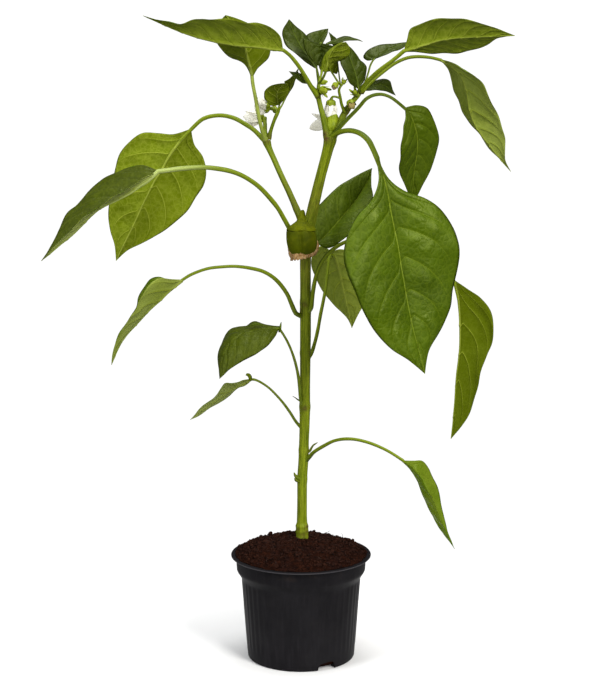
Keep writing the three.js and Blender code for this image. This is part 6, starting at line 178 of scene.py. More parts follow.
# ---------------------------------------------------------------- curves, noise and vectors
def cr(rows, t):
    """Catmull-Rom through rows, at each t from 0 to 1"""
    rows = np.asarray(rows, float)
    t = np.atleast_1d(np.asarray(t, float))
    n = len(rows) - 1
    x = np.clip(t, 0, 1) * n
    i = np.minimum(np.floor(x).astype(int), n - 1)
    f = (x - i)[:, None]
    p0, p1, p2, p3 = rows[np.maximum(i - 1, 0)], rows[i], rows[i + 1], rows[np.minimum(i + 2, n)]
    return 0.5 * (2 * p1 + (p2 - p0) * f + (2 * p0 - 5 * p1 + 4 * p2 - p3) * f * f + (3 * p1 - p0 - 3 * p2 + p3) * f ** 3)


def unit(v):
    v = np.asarray(v, float)
    return v / np.maximum(np.linalg.norm(v, axis=-1, keepdims=True), 1e-9)


def step01(a, b, x):
    t = np.clip((np.asarray(x, float) - a) / (b - a), 0, 1)
    return t * t * (3 - 2 * t)


def _hash(x, y, z, seed):
    n = (x * 374761393 + y * 668265263 + z * 1274126177 + seed * 974634777) & 0xFFFFFFFF
    n = ((n ^ (n >> 13)) * 1274126177) & 0xFFFFFFFF
    n = ((n ^ (n >> 15)) * 2246822519) & 0xFFFFFFFF
    return ((n ^ (n >> 16)) & 0xFFFF) / 32767.5 - 1


def vnoise(p, seed=0):
    """smooth lattice noise, -1 to 1"""
    p = np.asarray(p, float)
    i = np.floor(p).astype(np.int64)
    f = p - i
    f = f * f * (3 - 2 * f)
    out = 0
    for a in (0, 1):
        for b in (0, 1):
            for c in (0, 1):
                w = (f[..., 0] if a else 1 - f[..., 0]) * (f[..., 1] if b else 1 - f[..., 1]) * (f[..., 2] if c else 1 - f[..., 2])
                out = out + w * _hash(i[..., 0] + a, i[..., 1] + b, i[..., 2] + c, seed)
    return out


def fbm(p, seed=0, octaves=3):
    out, amp, k = 0, 1.0, 1.0
    for o in range(octaves):
        out = out + amp * vnoise(np.asarray(p) * k, seed + 17 * o)
        amp *= 0.5
        k *= 2.03
    return out


def arc(path):
    d = np.linalg.norm(np.diff(np.asarray(path)[:, :3], axis=0), axis=1)
    return np.r_[0, np.cumsum(d)]


def seed_of(name):
    return sum((i + 3) * ord(c) for i, c in enumerate(name)) % 9973


# ---------------------------------------------------------------- mesh building
class Shape:
    """Collects shells; each vertex carries two vectors, pa and pb, that the materials read."""

    def __init__(self):
        self.v, self.f, self.fm, self.pa, self.pb, self.n = [], [], [], [], [], 0

    def add(self, P, faces, mat=0, pa=(0, 0, 0), pb=(0, 0, 0)):
        P = np.asarray(P, float).reshape(-1, 3)
        k = self.n
        self.v.append(P)
        self.pa.append(np.broadcast_to(np.asarray(pa, float).reshape(-1, 3), P.shape))
        self.pb.append(np.broadcast_to(np.asarray(pb, float).reshape(-1, 3), P.shape))
        self.f += [tuple(i + k for i in f) for f in faces]
        self.fm += [mat] * len(faces)
        self.n += len(P)
        return k

    def grid(self, P, mat=0, wrap=False, cap0=False, cap1=False, pa=(0, 0, 0), pb=(0, 0, 0)):
        P = np.asarray(P, float)
        n, m = P.shape[:2]
        faces = []
        for i in range(n - 1):
            a = i * m
            for j in range(m if wrap else m - 1):
                j2 = (j + 1) % m
                faces.append((a + j, a + j2, a + m + j2, a + m + j))
        if cap0:
            faces.append(tuple(range(m - 1, -1, -1)))
        if cap1:
            faces.append(tuple((n - 1) * m + j for j in range(m)))
        full = lambda a: a if np.ndim(a) < 2 or np.shape(a)[0] == 1 else np.asarray(a, float).reshape(-1, 3)
        return self.add(P.reshape(-1, 3), faces, mat, full(pa), full(pb))

    def build(self, name, mats, nodes=(), sharp=None, merge=0.004):
        me = bpy.data.meshes.new(name)
        V = np.concatenate(self.v) * MM
        me.from_pydata(V.tolist(), [], self.f)
        for key, rows in (("pa", self.pa), ("pb", self.pb)):
            at = me.attributes.new(key, "FLOAT_VECTOR", "POINT")
            at.data.foreach_set("vector", np.concatenate(rows).astype(np.float32).ravel())
        for m in mats:
            me.materials.append(m)
        me.polygons.foreach_set("material_index", self.fm)
        bm = bmesh.new()
        bm.from_mesh(me)
        if merge:
            bmesh.ops.remove_doubles(bm, verts=bm.verts, dist=merge * MM)
        bmesh.ops.recalc_face_normals(bm, faces=bm.faces)
        for f in bm.faces:
            f.smooth = True
        if sharp is not None:
            lim = math.radians(sharp)
            for e in bm.edges:
                if len(e.link_faces) == 2 and e.calc_face_angle(0) > lim:
                    e.smooth = False
        bm.to_mesh(me)
        bm.free()
        me.update()
        ob = bpy.data.objects.new(name, me)
        bpy.context.scene.collection.objects.link(ob)
        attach(ob, "root")
        if nodes:
            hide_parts(*nodes)
        return ob


def frames(path, seed):
    """tangent and two cross directions along a path; the first follows seed"""
    P = np.asarray(path, float)[:, :3]
    T = unit(np.gradient(P, axis=0))
    U = np.zeros_like(P)
    u = np.asarray(seed, float)
    for i in range(len(P)):
        u = u - T[i] * (u @ T[i])
        u = unit(u)
        U[i] = u
    return T, U, np.cross(T, U)


def tube(shape, path, radius, sides, mat=0, seed=(0, -1, 0), prof=None, pa=None, pb=(0, 0, 0), caps=(True, True), frame_uv=None):
    """closed tube; prof(angle grid, i grid) scales the radius; pa may be fn(angle, along) -> 3 arrays"""
    P = np.asarray(path, float)[:, :3]
    r = np.broadcast_to(np.asarray(radius, float), (len(P),))
    T, U, V = frames(P, seed) if frame_uv is None else frame_uv
    a = np.linspace(0, 2 * PI, sides, endpoint=False)
    ang = np.broadcast_to(a[None, :], (len(P), sides))
    along = np.broadcast_to(arc(P)[:, None], (len(P), sides))
    k = np.ones_like(ang) if prof is None else prof(ang, along)
    R = r[:, None] * k
    G = P[:, None, :] + U[:, None, :] * (R * np.cos(ang))[..., None] + V[:, None, :] * (R * np.sin(ang))[..., None]
    if pa is None:
        q = np.stack([along, ang, np.zeros_like(ang)], -1)
    else:
        q = np.stack([np.broadcast_to(x, ang.shape) for x in pa(ang, along, G)], -1)
    shape.grid(G, mat, wrap=True, cap0=caps[0], cap1=caps[1], pa=q, pb=pb)
    return G


def turned(shape, profile, n, mat=0, fn=None, place=None, pa=(0, 0, 0), pb=(0, 0, 0)):
    """surface of revolution about +Z; profile rows [r, z]; fn(r, z, angle, row) -> x, y, z arrays"""
    prof = np.asarray(profile, float)
    a = np.linspace(0, 2 * PI, n, endpoint=False)
    r = np.repeat(prof[:, :1], n, 1)
    z = np.repeat(prof[:, 1:2], n, 1)
    A = np.broadcast_to(a[None, :], r.shape)
    row = np.broadcast_to(np.arange(len(prof))[:, None], r.shape)
    if fn is None:
        X, Y, Z = r * np.cos(A), r * np.sin(A), z
    else:
        X, Y, Z = fn(r, z, A, row)
    G = np.stack([X, Y, Z], -1)
    if place is not None:
        G = place(G)
    shape.grid(G, mat, wrap=True, pa=pa, pb=pb)
    return G


def placer(at, axis, spin=0.0):
    """the CAD's own way of standing a body on an axis"""
    w = unit(axis)
    s = np.array([1.0, 0, 0]) if abs(w[2]) > 0.95 else np.array([0, 0, 1.0])
    u = unit(np.cross(s, w))
    v = np.cross(w, u)
    c, k = math.cos(spin), math.sin(spin)
    u2, v2 = u * c + v * k, -u * k + v * c
    at = np.asarray(at, float)
    return lambda G: at + G[..., :1] * u2 + G[..., 1:2] * v2 + G[..., 2:3] * w


def fine(rows, n):
    """rows resampled smoothly to n"""
    return cr(rows, np.linspace(0, 1, n))


# ---------------------------------------------------------------- node materials
class Graph:
    def __init__(self, name):
        self.m = bpy.data.materials.new(name)
        self.m.use_nodes = True
        self.t = self.m.node_tree
        self.t.nodes.clear()
        self.out = self.t.nodes.new("ShaderNodeOutputMaterial")
        self._co = None

    def node(self, kind, **kw):
        n = self.t.nodes.new("ShaderNode" + kind)
        for k, v in kw.items():
            setattr(n, k, v)
        return n

    def put(self, sock, val):
        if isinstance(val, bpy.types.NodeSocket):
            self.t.links.new(val, sock)
        elif isinstance(val, (tuple, list)):
            sock.default_value = (*val, 1.0) if len(val) == 3 and len(sock.default_value) == 4 else val
        else:
            sock.default_value = val

    def co(self):
        if self._co is None:
            self._co = self.node("TexCoord").outputs["Object"]
        return self._co

    def attr(self, name):
        n = self.node("Attribute", attribute_name=name, attribute_type="GEOMETRY")
        s = self.node("SeparateXYZ")
        self.put(s.inputs[0], n.outputs["Vector"])
        return s.outputs[0], s.outputs[1], s.outputs[2]

    def math(self, op, a, b=None, c=None, clamp=False):
        n = self.node("Math", operation=op, use_clamp=clamp)
        self.put(n.inputs[0], a)
        if b is not None:
            self.put(n.inputs[1], b)
        if c is not None:
            self.put(n.inputs[2], c)
        return n.outputs[0]

    def add(self, a, b): return self.math("ADD", a, b)
    def sub(self, a, b): return self.math("SUBTRACT", a, b)
    def mul(self, a, b): return self.math("MULTIPLY", a, b)

    def span(self, x, a, b, lo=0.0, hi=1.0, smooth=True):
        n = self.node("MapRange", interpolation_type="SMOOTHSTEP" if smooth else "LINEAR", clamp=True)
        self.put(n.inputs["Value"], x)
        self.put(n.inputs["From Min"], a)
        self.put(n.inputs["From Max"], b)
        self.put(n.inputs["To Min"], lo)
        self.put(n.inputs["To Max"], hi)
        return n.outputs[0]

    def mix(self, fac, a, b, mode="MIX"):
        n = self.node("Mix", data_type="RGBA", blend_type=mode)
        self.put(n.inputs[0], fac)
        self.put(n.inputs[6], a)
        self.put(n.inputs[7], b)
        return n.outputs[2]

    def noise(self, scale, detail=3.0, rough=0.55, vec=None, distort=0.0):
        n = self.node("TexNoise")
        self.put(n.inputs["Vector"], self.co() if vec is None else vec)
        n.inputs["Scale"].default_value = scale
        n.inputs["Detail"].default_value = detail
        n.inputs["Roughness"].default_value = rough
        n.inputs["Distortion"].default_value = distort
        return n.outputs["Fac"]

    def cells(self, scale, feature="DISTANCE_TO_EDGE", vec=None, rand=1.0):
        n = self.node("TexVoronoi", feature=feature)
        self.put(n.inputs["Vector"], self.co() if vec is None else vec)
        n.inputs["Scale"].default_value = scale
        n.inputs["Randomness"].default_value = rand
        return n.outputs["Distance"]

    def stretch(self, sx, sy, sz, vec=None):
        n = self.node("Mapping")
        self.put(n.inputs["Vector"], self.co() if vec is None else vec)
        n.inputs["Scale"].default_value = (sx, sy, sz)
        return n.outputs[0]

    def bump(self, height, dist_mm, strength=1.0, normal=None):
        n = self.node("Bump")
        n.inputs["Strength"].default_value = strength
        n.inputs["Distance"].default_value = dist_mm * MM
        self.put(n.inputs["Height"], height)
        if normal is not None:
            self.put(n.inputs["Normal"], normal)
        return n.outputs[0]

    def surface(self, color, rough, normal=None, through=0.0, through_color=None, **const):
        p = self.node("BsdfPrincipled")
        self.put(p.inputs["Base Color"], color)
        self.put(p.inputs["Roughness"], rough)
        if normal is not None:
            self.put(p.inputs["Normal"], normal)
        for k, v in const.items():
            self.put(p.inputs[k.replace("_", " ")], v)
        shader = p.outputs[0]
        if through:
            t = self.node("BsdfTranslucent")
            self.put(t.inputs["Color"], through_color or color)
            if normal is not None:
                self.put(t.inputs["Normal"], normal)
            x = self.node("MixShader")
            x.inputs[0].default_value = through
            self.put(x.inputs[1], shader)
            self.put(x.inputs[2], t.outputs[0])
            shader = x.outputs[0]
        self.t.links.new(shader, self.out.inputs["Surface"])
        return self.m


def lin(r, g, b):
    """a colour given as 0-255 display values"""
    f = lambda c: (c / 255 / 12.92) if c <= 10.3 else ((c / 255 + 0.055) / 1.055) ** 2.4
    return (f(r), f(g), f(b))


# leaf blades: pa = (side vein phase, share of the way to the margin, share of the length),
# pb = (mm from the midrib, mm between side veins, the leaf's tone, which also paints shade and sheen)
def blade_material(name, top, young=False):
    g = Graph(name)
    phase, u, s = g.attr("pa")
    d, gap, leaf_tone_and_light = g.attr("pb")
    fr = g.math("FRACT", phase)
    near = g.math("MINIMUM", fr, g.sub(1.0, fr))
    lat_mm = g.mul(g.mul(near, gap), 0.8)
    wob = g.noise(140.0, 2.0)
    lat_mm = g.add(lat_mm, g.mul(g.sub(wob, 0.5), 0.5))
    fade = g.span(u, 0.55, 1.0, 1.0, 0.25)
    line = g.mul(g.span(lat_mm, 0.15, 0.62, 1.0, 0.0), fade)
    halo = g.mul(g.span(lat_mm, 0.3, 2.6, 1.0, 0.0), fade)
    half = g.span(s, 0.0, 1.0, 0.85, 0.22, False)
    rib = g.span(g.math("DIVIDE", d, half), 0.55, 1.15, 1.0, 0.0)
    net = g.cells(210.0)
    net_line = g.span(net, 0.02, 0.11, 1.0, 0.0)
    net2 = g.cells(620.0)
    net2_line = g.span(net2, 0.02, 0.12, 1.0, 0.0)
    patch = g.noise(22.0, 4.0, 0.6)
    mott = g.noise(260.0, 3.0, 0.6)
    if top:
        deep, mid, pale = lin(50, 72, 0), lin(76, 100, 2), lin(116, 134, 24)
        rib_c = lin(126, 144, 36)
        if young:
            deep, mid, pale, rib_c = lin(26, 38, 4), lin(42, 56, 8), lin(70, 86, 22), lin(78, 96, 24)
        base = g.mix(g.span(patch, 0.3, 0.72), deep, mid)
        base = g.mix(g.mul(g.span(mott, 0.35, 0.75), 0.35), base, mid)
        base = g.mix(g.mul(halo, 0.22), base, mid)
        base = g.mix(g.mul(net_line, 0.16), base, pale)
        base = g.mix(g.mul(line, 0.22 if young else 0.34), base, pale)
        base = g.mix(g.mul(rib, 0.8), base, rib_c)
        base = g.mix(g.mul(g.span(u, 0.93, 1.0), 0.3), base, lin(44, 56, 8))
        # the leaf's tone: above 0 a deeper olive, partly the leaf's own green and partly painted shade; below 0 a paler
        # green that paints sheen and light on shaded leaves
        base = g.mix(g.span(leaf_tone_and_light, 0.0, 1.0, 0.0, 0.85, False), base, g.mix(g.span(mott, 0.3, 0.7), lin(50, 58, 2), lin(66, 74, 6)))
        base = g.mix(g.span(leaf_tone_and_light, 0.0, -1.0, 0.0, 0.8), base, g.mix(g.span(patch, 0.35, 0.65), lin(92, 118, 4), lin(120, 138, 34)))
        rough = g.add(g.span(g.noise(38.0, 4.0, 0.6), 0.36, 0.64, 0.40, 0.58), g.mul(line, 0.08))
        h = g.sub(g.mul(g.span(net, 0.0, 0.35), 0.24), g.mul(line, 0.26))
        h = g.sub(h, g.mul(halo, 0.45))
        h = g.add(h, g.mul(g.noise(120.0, 3.0, 0.6), 0.5))
        h = g.add(h, g.mul(g.span(net2, 0.0, 0.3), 0.035))
        h = g.add(h, g.mul(g.noise(1500.0, 2.0), 0.008))
        n = g.bump(h, 0.7, 0.9)
        return g.surface(base, rough, n, through=0.16, through_color=g.mix(0.5, base, lin(140, 166, 3)), Specular_IOR_Level=0.16 if young else 0.28, Specular_Tint=(0.9, 1.0, 0.35))
    deep, mid, pale = lin(94, 110, 3), lin(118, 135, 9), lin(156, 168, 54)
    rib_c = lin(158, 170, 66)
    base = g.mix(g.span(patch, 0.30, 0.70), deep, mid)
    base = g.mix(g.mul(g.span(mott, 0.35, 0.7), 0.35), base, pale)
    base = g.mix(g.mul(halo, 0.16), base, deep)
    base = g.mix(g.mul(net_line, 0.3), base, pale)
    base = g.mix(g.mul(net2_line, 0.14), base, pale)
    # the leaf's tone on the underside: above 0 deeper, partly own colour and partly painted shade; below 0 a pale
    # grey-green that paints light on undersides lying in shade
    base = g.mix(g.span(leaf_tone_and_light, 0.0, 1.0, 0.0, 0.8, False), base, g.mix(0.5, deep, lin(72, 84, 3)))
    base = g.mix(g.span(leaf_tone_and_light, 0.0, -1.0, 0.0, 0.9), base, g.mix(g.span(patch, 0.3, 0.7), lin(146, 160, 70), lin(168, 180, 104)))
    # a darker band along both sides of each side vein: painted shade beside the raised veins
    base = g.mix(g.mul(g.span(lat_mm, 0.5, 1.5, 1.0, 0.0), g.mul(fade, 0.30)), base, deep)
    base = g.mix(g.mul(line, 0.78), base, pale)
    base = g.mix(g.mul(rib, 0.8), base, rib_c)
    rough = g.span(g.noise(90.0, 4.0, 0.6), 0.3, 0.7, 0.5, 0.62)
    h = g.add(g.mul(line, 0.30), g.mul(net_line, 0.09))
    h = g.add(h, g.mul(halo, 0.40))
    h = g.add(h, g.mul(net2_line, 0.02))
    h = g.add(h, g.mul(g.noise(140.0, 3.0, 0.6), 0.35))
    h = g.add(h, g.mul(g.noise(1300.0, 2.0), 0.008))
    n = g.bump(h, 0.7, 0.9)
    return g.surface(base, rough, n, through=0.26, through_color=g.mix(0.5, base, lin(160, 184, 4)), Specular_IOR_Level=0.12, Specular_Tint=(0.9, 1.0, 0.3))


# stems: pa = (mm along, angle, share of brown or purple mark; the marks are real scars and nodes, and the wide ones
# near the fruit are painted shade)
def stem_material(name, a, b, c, streak=1.0, rough=(0.42, 0.56), upper=None, pale_from=None):
    g = Graph(name)
    along, ang, mark = g.attr("pa")
    v = g.node("CombineXYZ")
    g.put(v.inputs[0], g.mul(g.math("COSINE", ang), 0.9))
    g.put(v.inputs[1], g.mul(g.math("SINE", ang), 0.9))
    g.put(v.inputs[2], g.mul(along, 0.006))
    fibre = g.noise(5.5, 4.0, 0.6, v.outputs[0], 0.3)
    line = g.noise(14.0, 3.0, 0.6, v.outputs[0])
    blot = g.noise(55.0, 3.0, 0.6)
    speck = g.cells(520.0, "F1")
    base = g.mix(g.span(fibre, 0.36, 0.66), a, b)
    base = g.mix(g.mul(g.span(line, 0.5, 0.68), 0.6 * streak), base, c)
    base = g.mix(g.mul(g.span(line, 0.28, 0.42, 1.0, 0.0), 0.5 * streak), base, g.mix(0.5, a, lin(50, 62, 4)))
    base = g.mix(g.mul(g.span(blot, 0.5, 0.75), 0.35), base, a)
    base = g.mix(g.mul(g.span(speck, 0.0, 0.16, 1.0, 0.0), 0.25), base, c)
    if pale_from:
        base = g.mix(g.span(along, pale_from[0], pale_from[1]), base, g.mix(g.span(line, 0.4, 0.6), lin(140, 154, 70), lin(168, 180, 112)))
    if upper:
        face = g.span(g.math("SINE", ang), 0.1, 0.85)
        base = g.mix(g.mul(face, 0.8), base, upper)
    # the brown mix paints real scars and nodes, and on the wide marks near the fruit painted shade
    brown = g.mix(g.span(g.noise(320.0, 3.0), 0.3, 0.7), lin(40, 22, 24), lin(88, 58, 36))
    m = g.math("MULTIPLY", mark, g.span(g.noise(240.0, 3.0, 0.7), 0.25, 0.6, 0.55, 1.15), clamp=True)
    base = g.mix(m, base, brown)
    r = g.add(g.span(blot, 0.3, 0.7, rough[0], rough[1]), g.mul(m, 0.2))
    h = g.add(g.mul(fibre, 0.8), g.mul(line, 0.6))
    h = g.add(h, g.mul(g.noise(900.0, 3.0), 0.12))
    n = g.bump(h, 0.09, 0.8)
    return g.surface(base, r, n, Specular_IOR_Level=0.2, Specular_Tint=(0.9, 1.0, 0.5))


def pot_material():
    g = Graph("pot_plastic_charcoal")
    co = g.co()
    sep = g.node("SeparateXYZ")
    g.put(sep.inputs[0], co)
    z = sep.outputs[2]
    scuff = g.noise(30.0, 6.0, 0.65)
    fine_n = g.noise(420.0, 3.0, 0.6)
    base = g.mix(g.span(scuff, 0.3, 0.75), lin(20, 19, 21), lin(28, 27, 29))
    dust = g.mul(g.span(g.noise(75.0, 5.0, 0.7), 0.52, 0.74), g.span(z, 0.072, 0.0905, 0.05, 0.55))
    dust = g.math("ADD", dust, g.mul(g.span(g.noise(160.0, 4.0, 0.7), 0.6, 0.8), g.span(z, 0.0, 0.02, 0.3, 0.0)), clamp=True)
    base = g.mix(g.mul(dust, 0.55), base, lin(60, 50, 42))
    # a thin lighter band round the top of the rim's lip: a painted highlight where light catches the lip's edge
    lip_highlight_band = g.mul(g.span(z, 0.0890, 0.0894), g.span(z, 0.0900, 0.0905, 1.0, 0.0))
    base = g.mix(g.mul(lip_highlight_band, 0.55), base, lin(78, 76, 79))
    # lighter vertical streaks round the pot: painted highlight streaks standing in for light reflected along the ribs
    streak = g.noise(60.0, 3.0, 0.6, g.stretch(6.0, 6.0, 0.35))
    base = g.mix(g.mul(g.span(streak, 0.5, 0.75), 0.4), base, lin(36, 34, 37))
    rough = g.add(g.span(scuff, 0.3, 0.7, 0.40, 0.48), g.mul(dust, 0.3))
    h = g.add(g.mul(g.noise(900.0, 3.0, 0.6), 0.25), g.mul(streak, 0.25))
    h = g.add(h, g.mul(fine_n, 0.25))
    n = g.bump(h, 0.22, 0.5)
    return g.surface(base, rough, n, Specular_IOR_Level=0.03)


def soil_material(name, light=0.0):
    g = Graph(name)
    a = g.noise(260.0, 5.0, 0.65)
    b = g.cells(700.0, "F1")
    base = g.mix(g.span(a, 0.3, 0.72), lin(13 + light, 5 + light, 3 + light), lin(39 + light, 18 + light, 10 + light))
    base = g.mix(g.mul(g.span(b, 0.0, 0.35, 1.0, 0.0), 0.45), base, lin(88 + light, 52 + light, 36 + light))
    base = g.mix(g.mul(g.span(g.noise(70.0, 2.0), 0.5, 0.7), 0.4), base, lin(30, 17, 15))
    h = g.add(g.mul(g.noise(900.0, 5.0, 0.7), 0.8), g.mul(b, 0.5))
    n = g.bump(h, 0.6, 0.9)
    return g.surface(base, g.span(a, 0.3, 0.7, 0.86, 0.97), n, Specular_IOR_Level=0.02)


def flesh_material(name, a, b, c, scale=140.0, rough=(0.45, 0.58), bump_mm=0.25, through=0.0, spec=0.25, ribs=0.0, tint=(0.95, 1.0, 0.6), glow=0.0):
    """petals, sepals, buds and fruit; pa.y runs round or across, so that fine lines follow the growth"""
    g = Graph(name)
    x, y, zz = g.attr("pa")
    n1 = g.noise(scale, 4.0, 0.6)
    n2 = g.noise(scale * 5, 3.0, 0.6)
    base = g.mix(g.span(n1, 0.32, 0.68), a, b)
    base = g.mix(g.mul(g.span(n2, 0.45, 0.75), 0.4), base, c)
    h = g.add(g.mul(n2, 0.3), g.mul(g.noise(scale * 9, 2.0), 0.06))
    if ribs:
        w = g.math("ABSOLUTE", g.math("SINE", g.mul(y, ribs)))
        base = g.mix(g.mul(g.span(w, 0.0, 0.35, 1.0, 0.0), 0.35), base, c)
        h = g.add(h, g.mul(w, 0.8))
    base = g.mix(zz, base, a)
    n = g.bump(h, bump_mm, 0.7)
    r = g.span(n1, 0.3, 0.7, rough[0], rough[1])
    return g.surface(base, r, n, through=through, Specular_IOR_Level=spec, Specular_Tint=tint, Emission_Color=c, Emission_Strength=glow)


TOP = blade_material("leaf_upper", True)
TOP_YOUNG = blade_material("leaf_upper_young", True, True)
UNDER = blade_material("leaf_under", False)
STEM = stem_material("stem_green_main", lin(84, 98, 6), lin(126, 140, 18), lin(156, 166, 44), 1.25)
TWIG = stem_material("stem_green_twig", lin(78, 94, 8), lin(116, 132, 20), lin(146, 158, 46), 0.9)
PETIOLE = stem_material("leaf_stalk_green", lin(88, 104, 8), lin(120, 136, 20), lin(148, 160, 52), 0.9, upper=lin(44, 60, 3))
PETIOLE_FADE = stem_material("leaf_stalk_fading", lin(88, 104, 8), lin(120, 136, 20), lin(148, 160, 52), 0.9, pale_from=(95.0, 150.0))
PETIOLE_PALE = stem_material("leaf_stalk_pale", lin(116, 130, 40), lin(150, 162, 76), lin(172, 182, 110), 0.8)
CALYX = flesh_material("calyx_green_skin", lin(96, 112, 8), lin(126, 141, 16), lin(158, 170, 46), 220.0, ribs=5.0)
BUD = flesh_material("bud_green_skin", lin(94, 106, 8), lin(128, 138, 20), lin(150, 134, 56), 260.0, ribs=5.0)
# the petals glow faintly (glow 0.10): painted light that lifts petals lying in shade
PETAL = flesh_material("petal_white_skin", lin(236, 234, 220), lin(250, 249, 243), lin(238, 234, 214), 160.0, (0.55, 0.65), 0.12, through=0.30, spec=0.15, ribs=7.0, tint=(1.0, 1.0, 1.0), glow=0.10)
ANTHER = flesh_material("anther_dull", lin(112, 104, 98), lin(150, 142, 120), lin(92, 84, 92), 700.0, (0.6, 0.75), 0.15)
FRUIT_SKIN = flesh_material("fruit_olive_skin", lin(54, 62, 0), lin(76, 84, 0), lin(90, 92, 4), 45.0, (0.58, 0.68), 0.08, spec=0.08)
FRUIT_CAP = flesh_material("fruit_cap_green", lin(62, 69, 0), lin(82, 88, 0), lin(100, 104, 8), 150.0, (0.6, 0.7), 0.25, spec=0.08)
WITHER = flesh_material("withered_brown", lin(122, 86, 44), lin(176, 140, 92), lin(216, 192, 148), 240.0, (0.7, 0.85), 0.5, spec=0.2, ribs=7.0, through=0.15)
BUD_DARK = flesh_material("bud_purple_skin", lin(92, 66, 52), lin(128, 100, 72), lin(150, 140, 96), 260.0, ribs=5.0)
BUD_BROWN = flesh_material("bud_yellow_skin", lin(140, 128, 62), lin(176, 164, 96), lin(128, 104, 66), 260.0, ribs=5.0)
POT = pot_material()
SOIL = soil_material("soil_bed")
CRUMB = soil_material("soil_crumbs", 8)
FIBRE = soil_material("soil_fibres", 34)


# ---------------------------------------------------------------- leaves
def stalk_path(L, extra=0.17):
    """the leaf stalk, then on under the midrib; returns path, radius and the share that is free stalk"""
    st = np.asarray(L["stalk"], float)
    ln = arc(st)[-1]
    n1 = max(8, int(ln / 1.7))
    free = fine(st, n1)
    s = np.linspace(0, extra, 16)[1:]
    M = cr(L["rib"], s)
    up = blade_up(L, np.clip(s, 0.05, 1))
    r_end = free[-1, 3]
    rr = (r_end - 0.2) * (1 - s / extra) ** 1.1 * 0.95 + 0.2
    off = rr * (0.15 + 0.95 * step01(0, 0.12, s))
    run = M - up * off[:, None]
    path = np.r_[free[:, :3], run]
    rad = np.r_[free[:, 3], rr]
    share = np.r_[np.ones(n1), np.linspace(1, 0, len(s))]
    return path, rad, n1


def blade_up(L, s):
    e = 0.02
    s = np.clip(s, 0.03, 0.96)
    T = unit(cr(L["rib"], np.minimum(s + e, 1)) - cr(L["rib"], np.maximum(s - e, 0)))
    side = unit(cr(L["marginB"], s) - cr(L["marginA"], s))
    return unit(np.cross(T, side)) * L["up"]


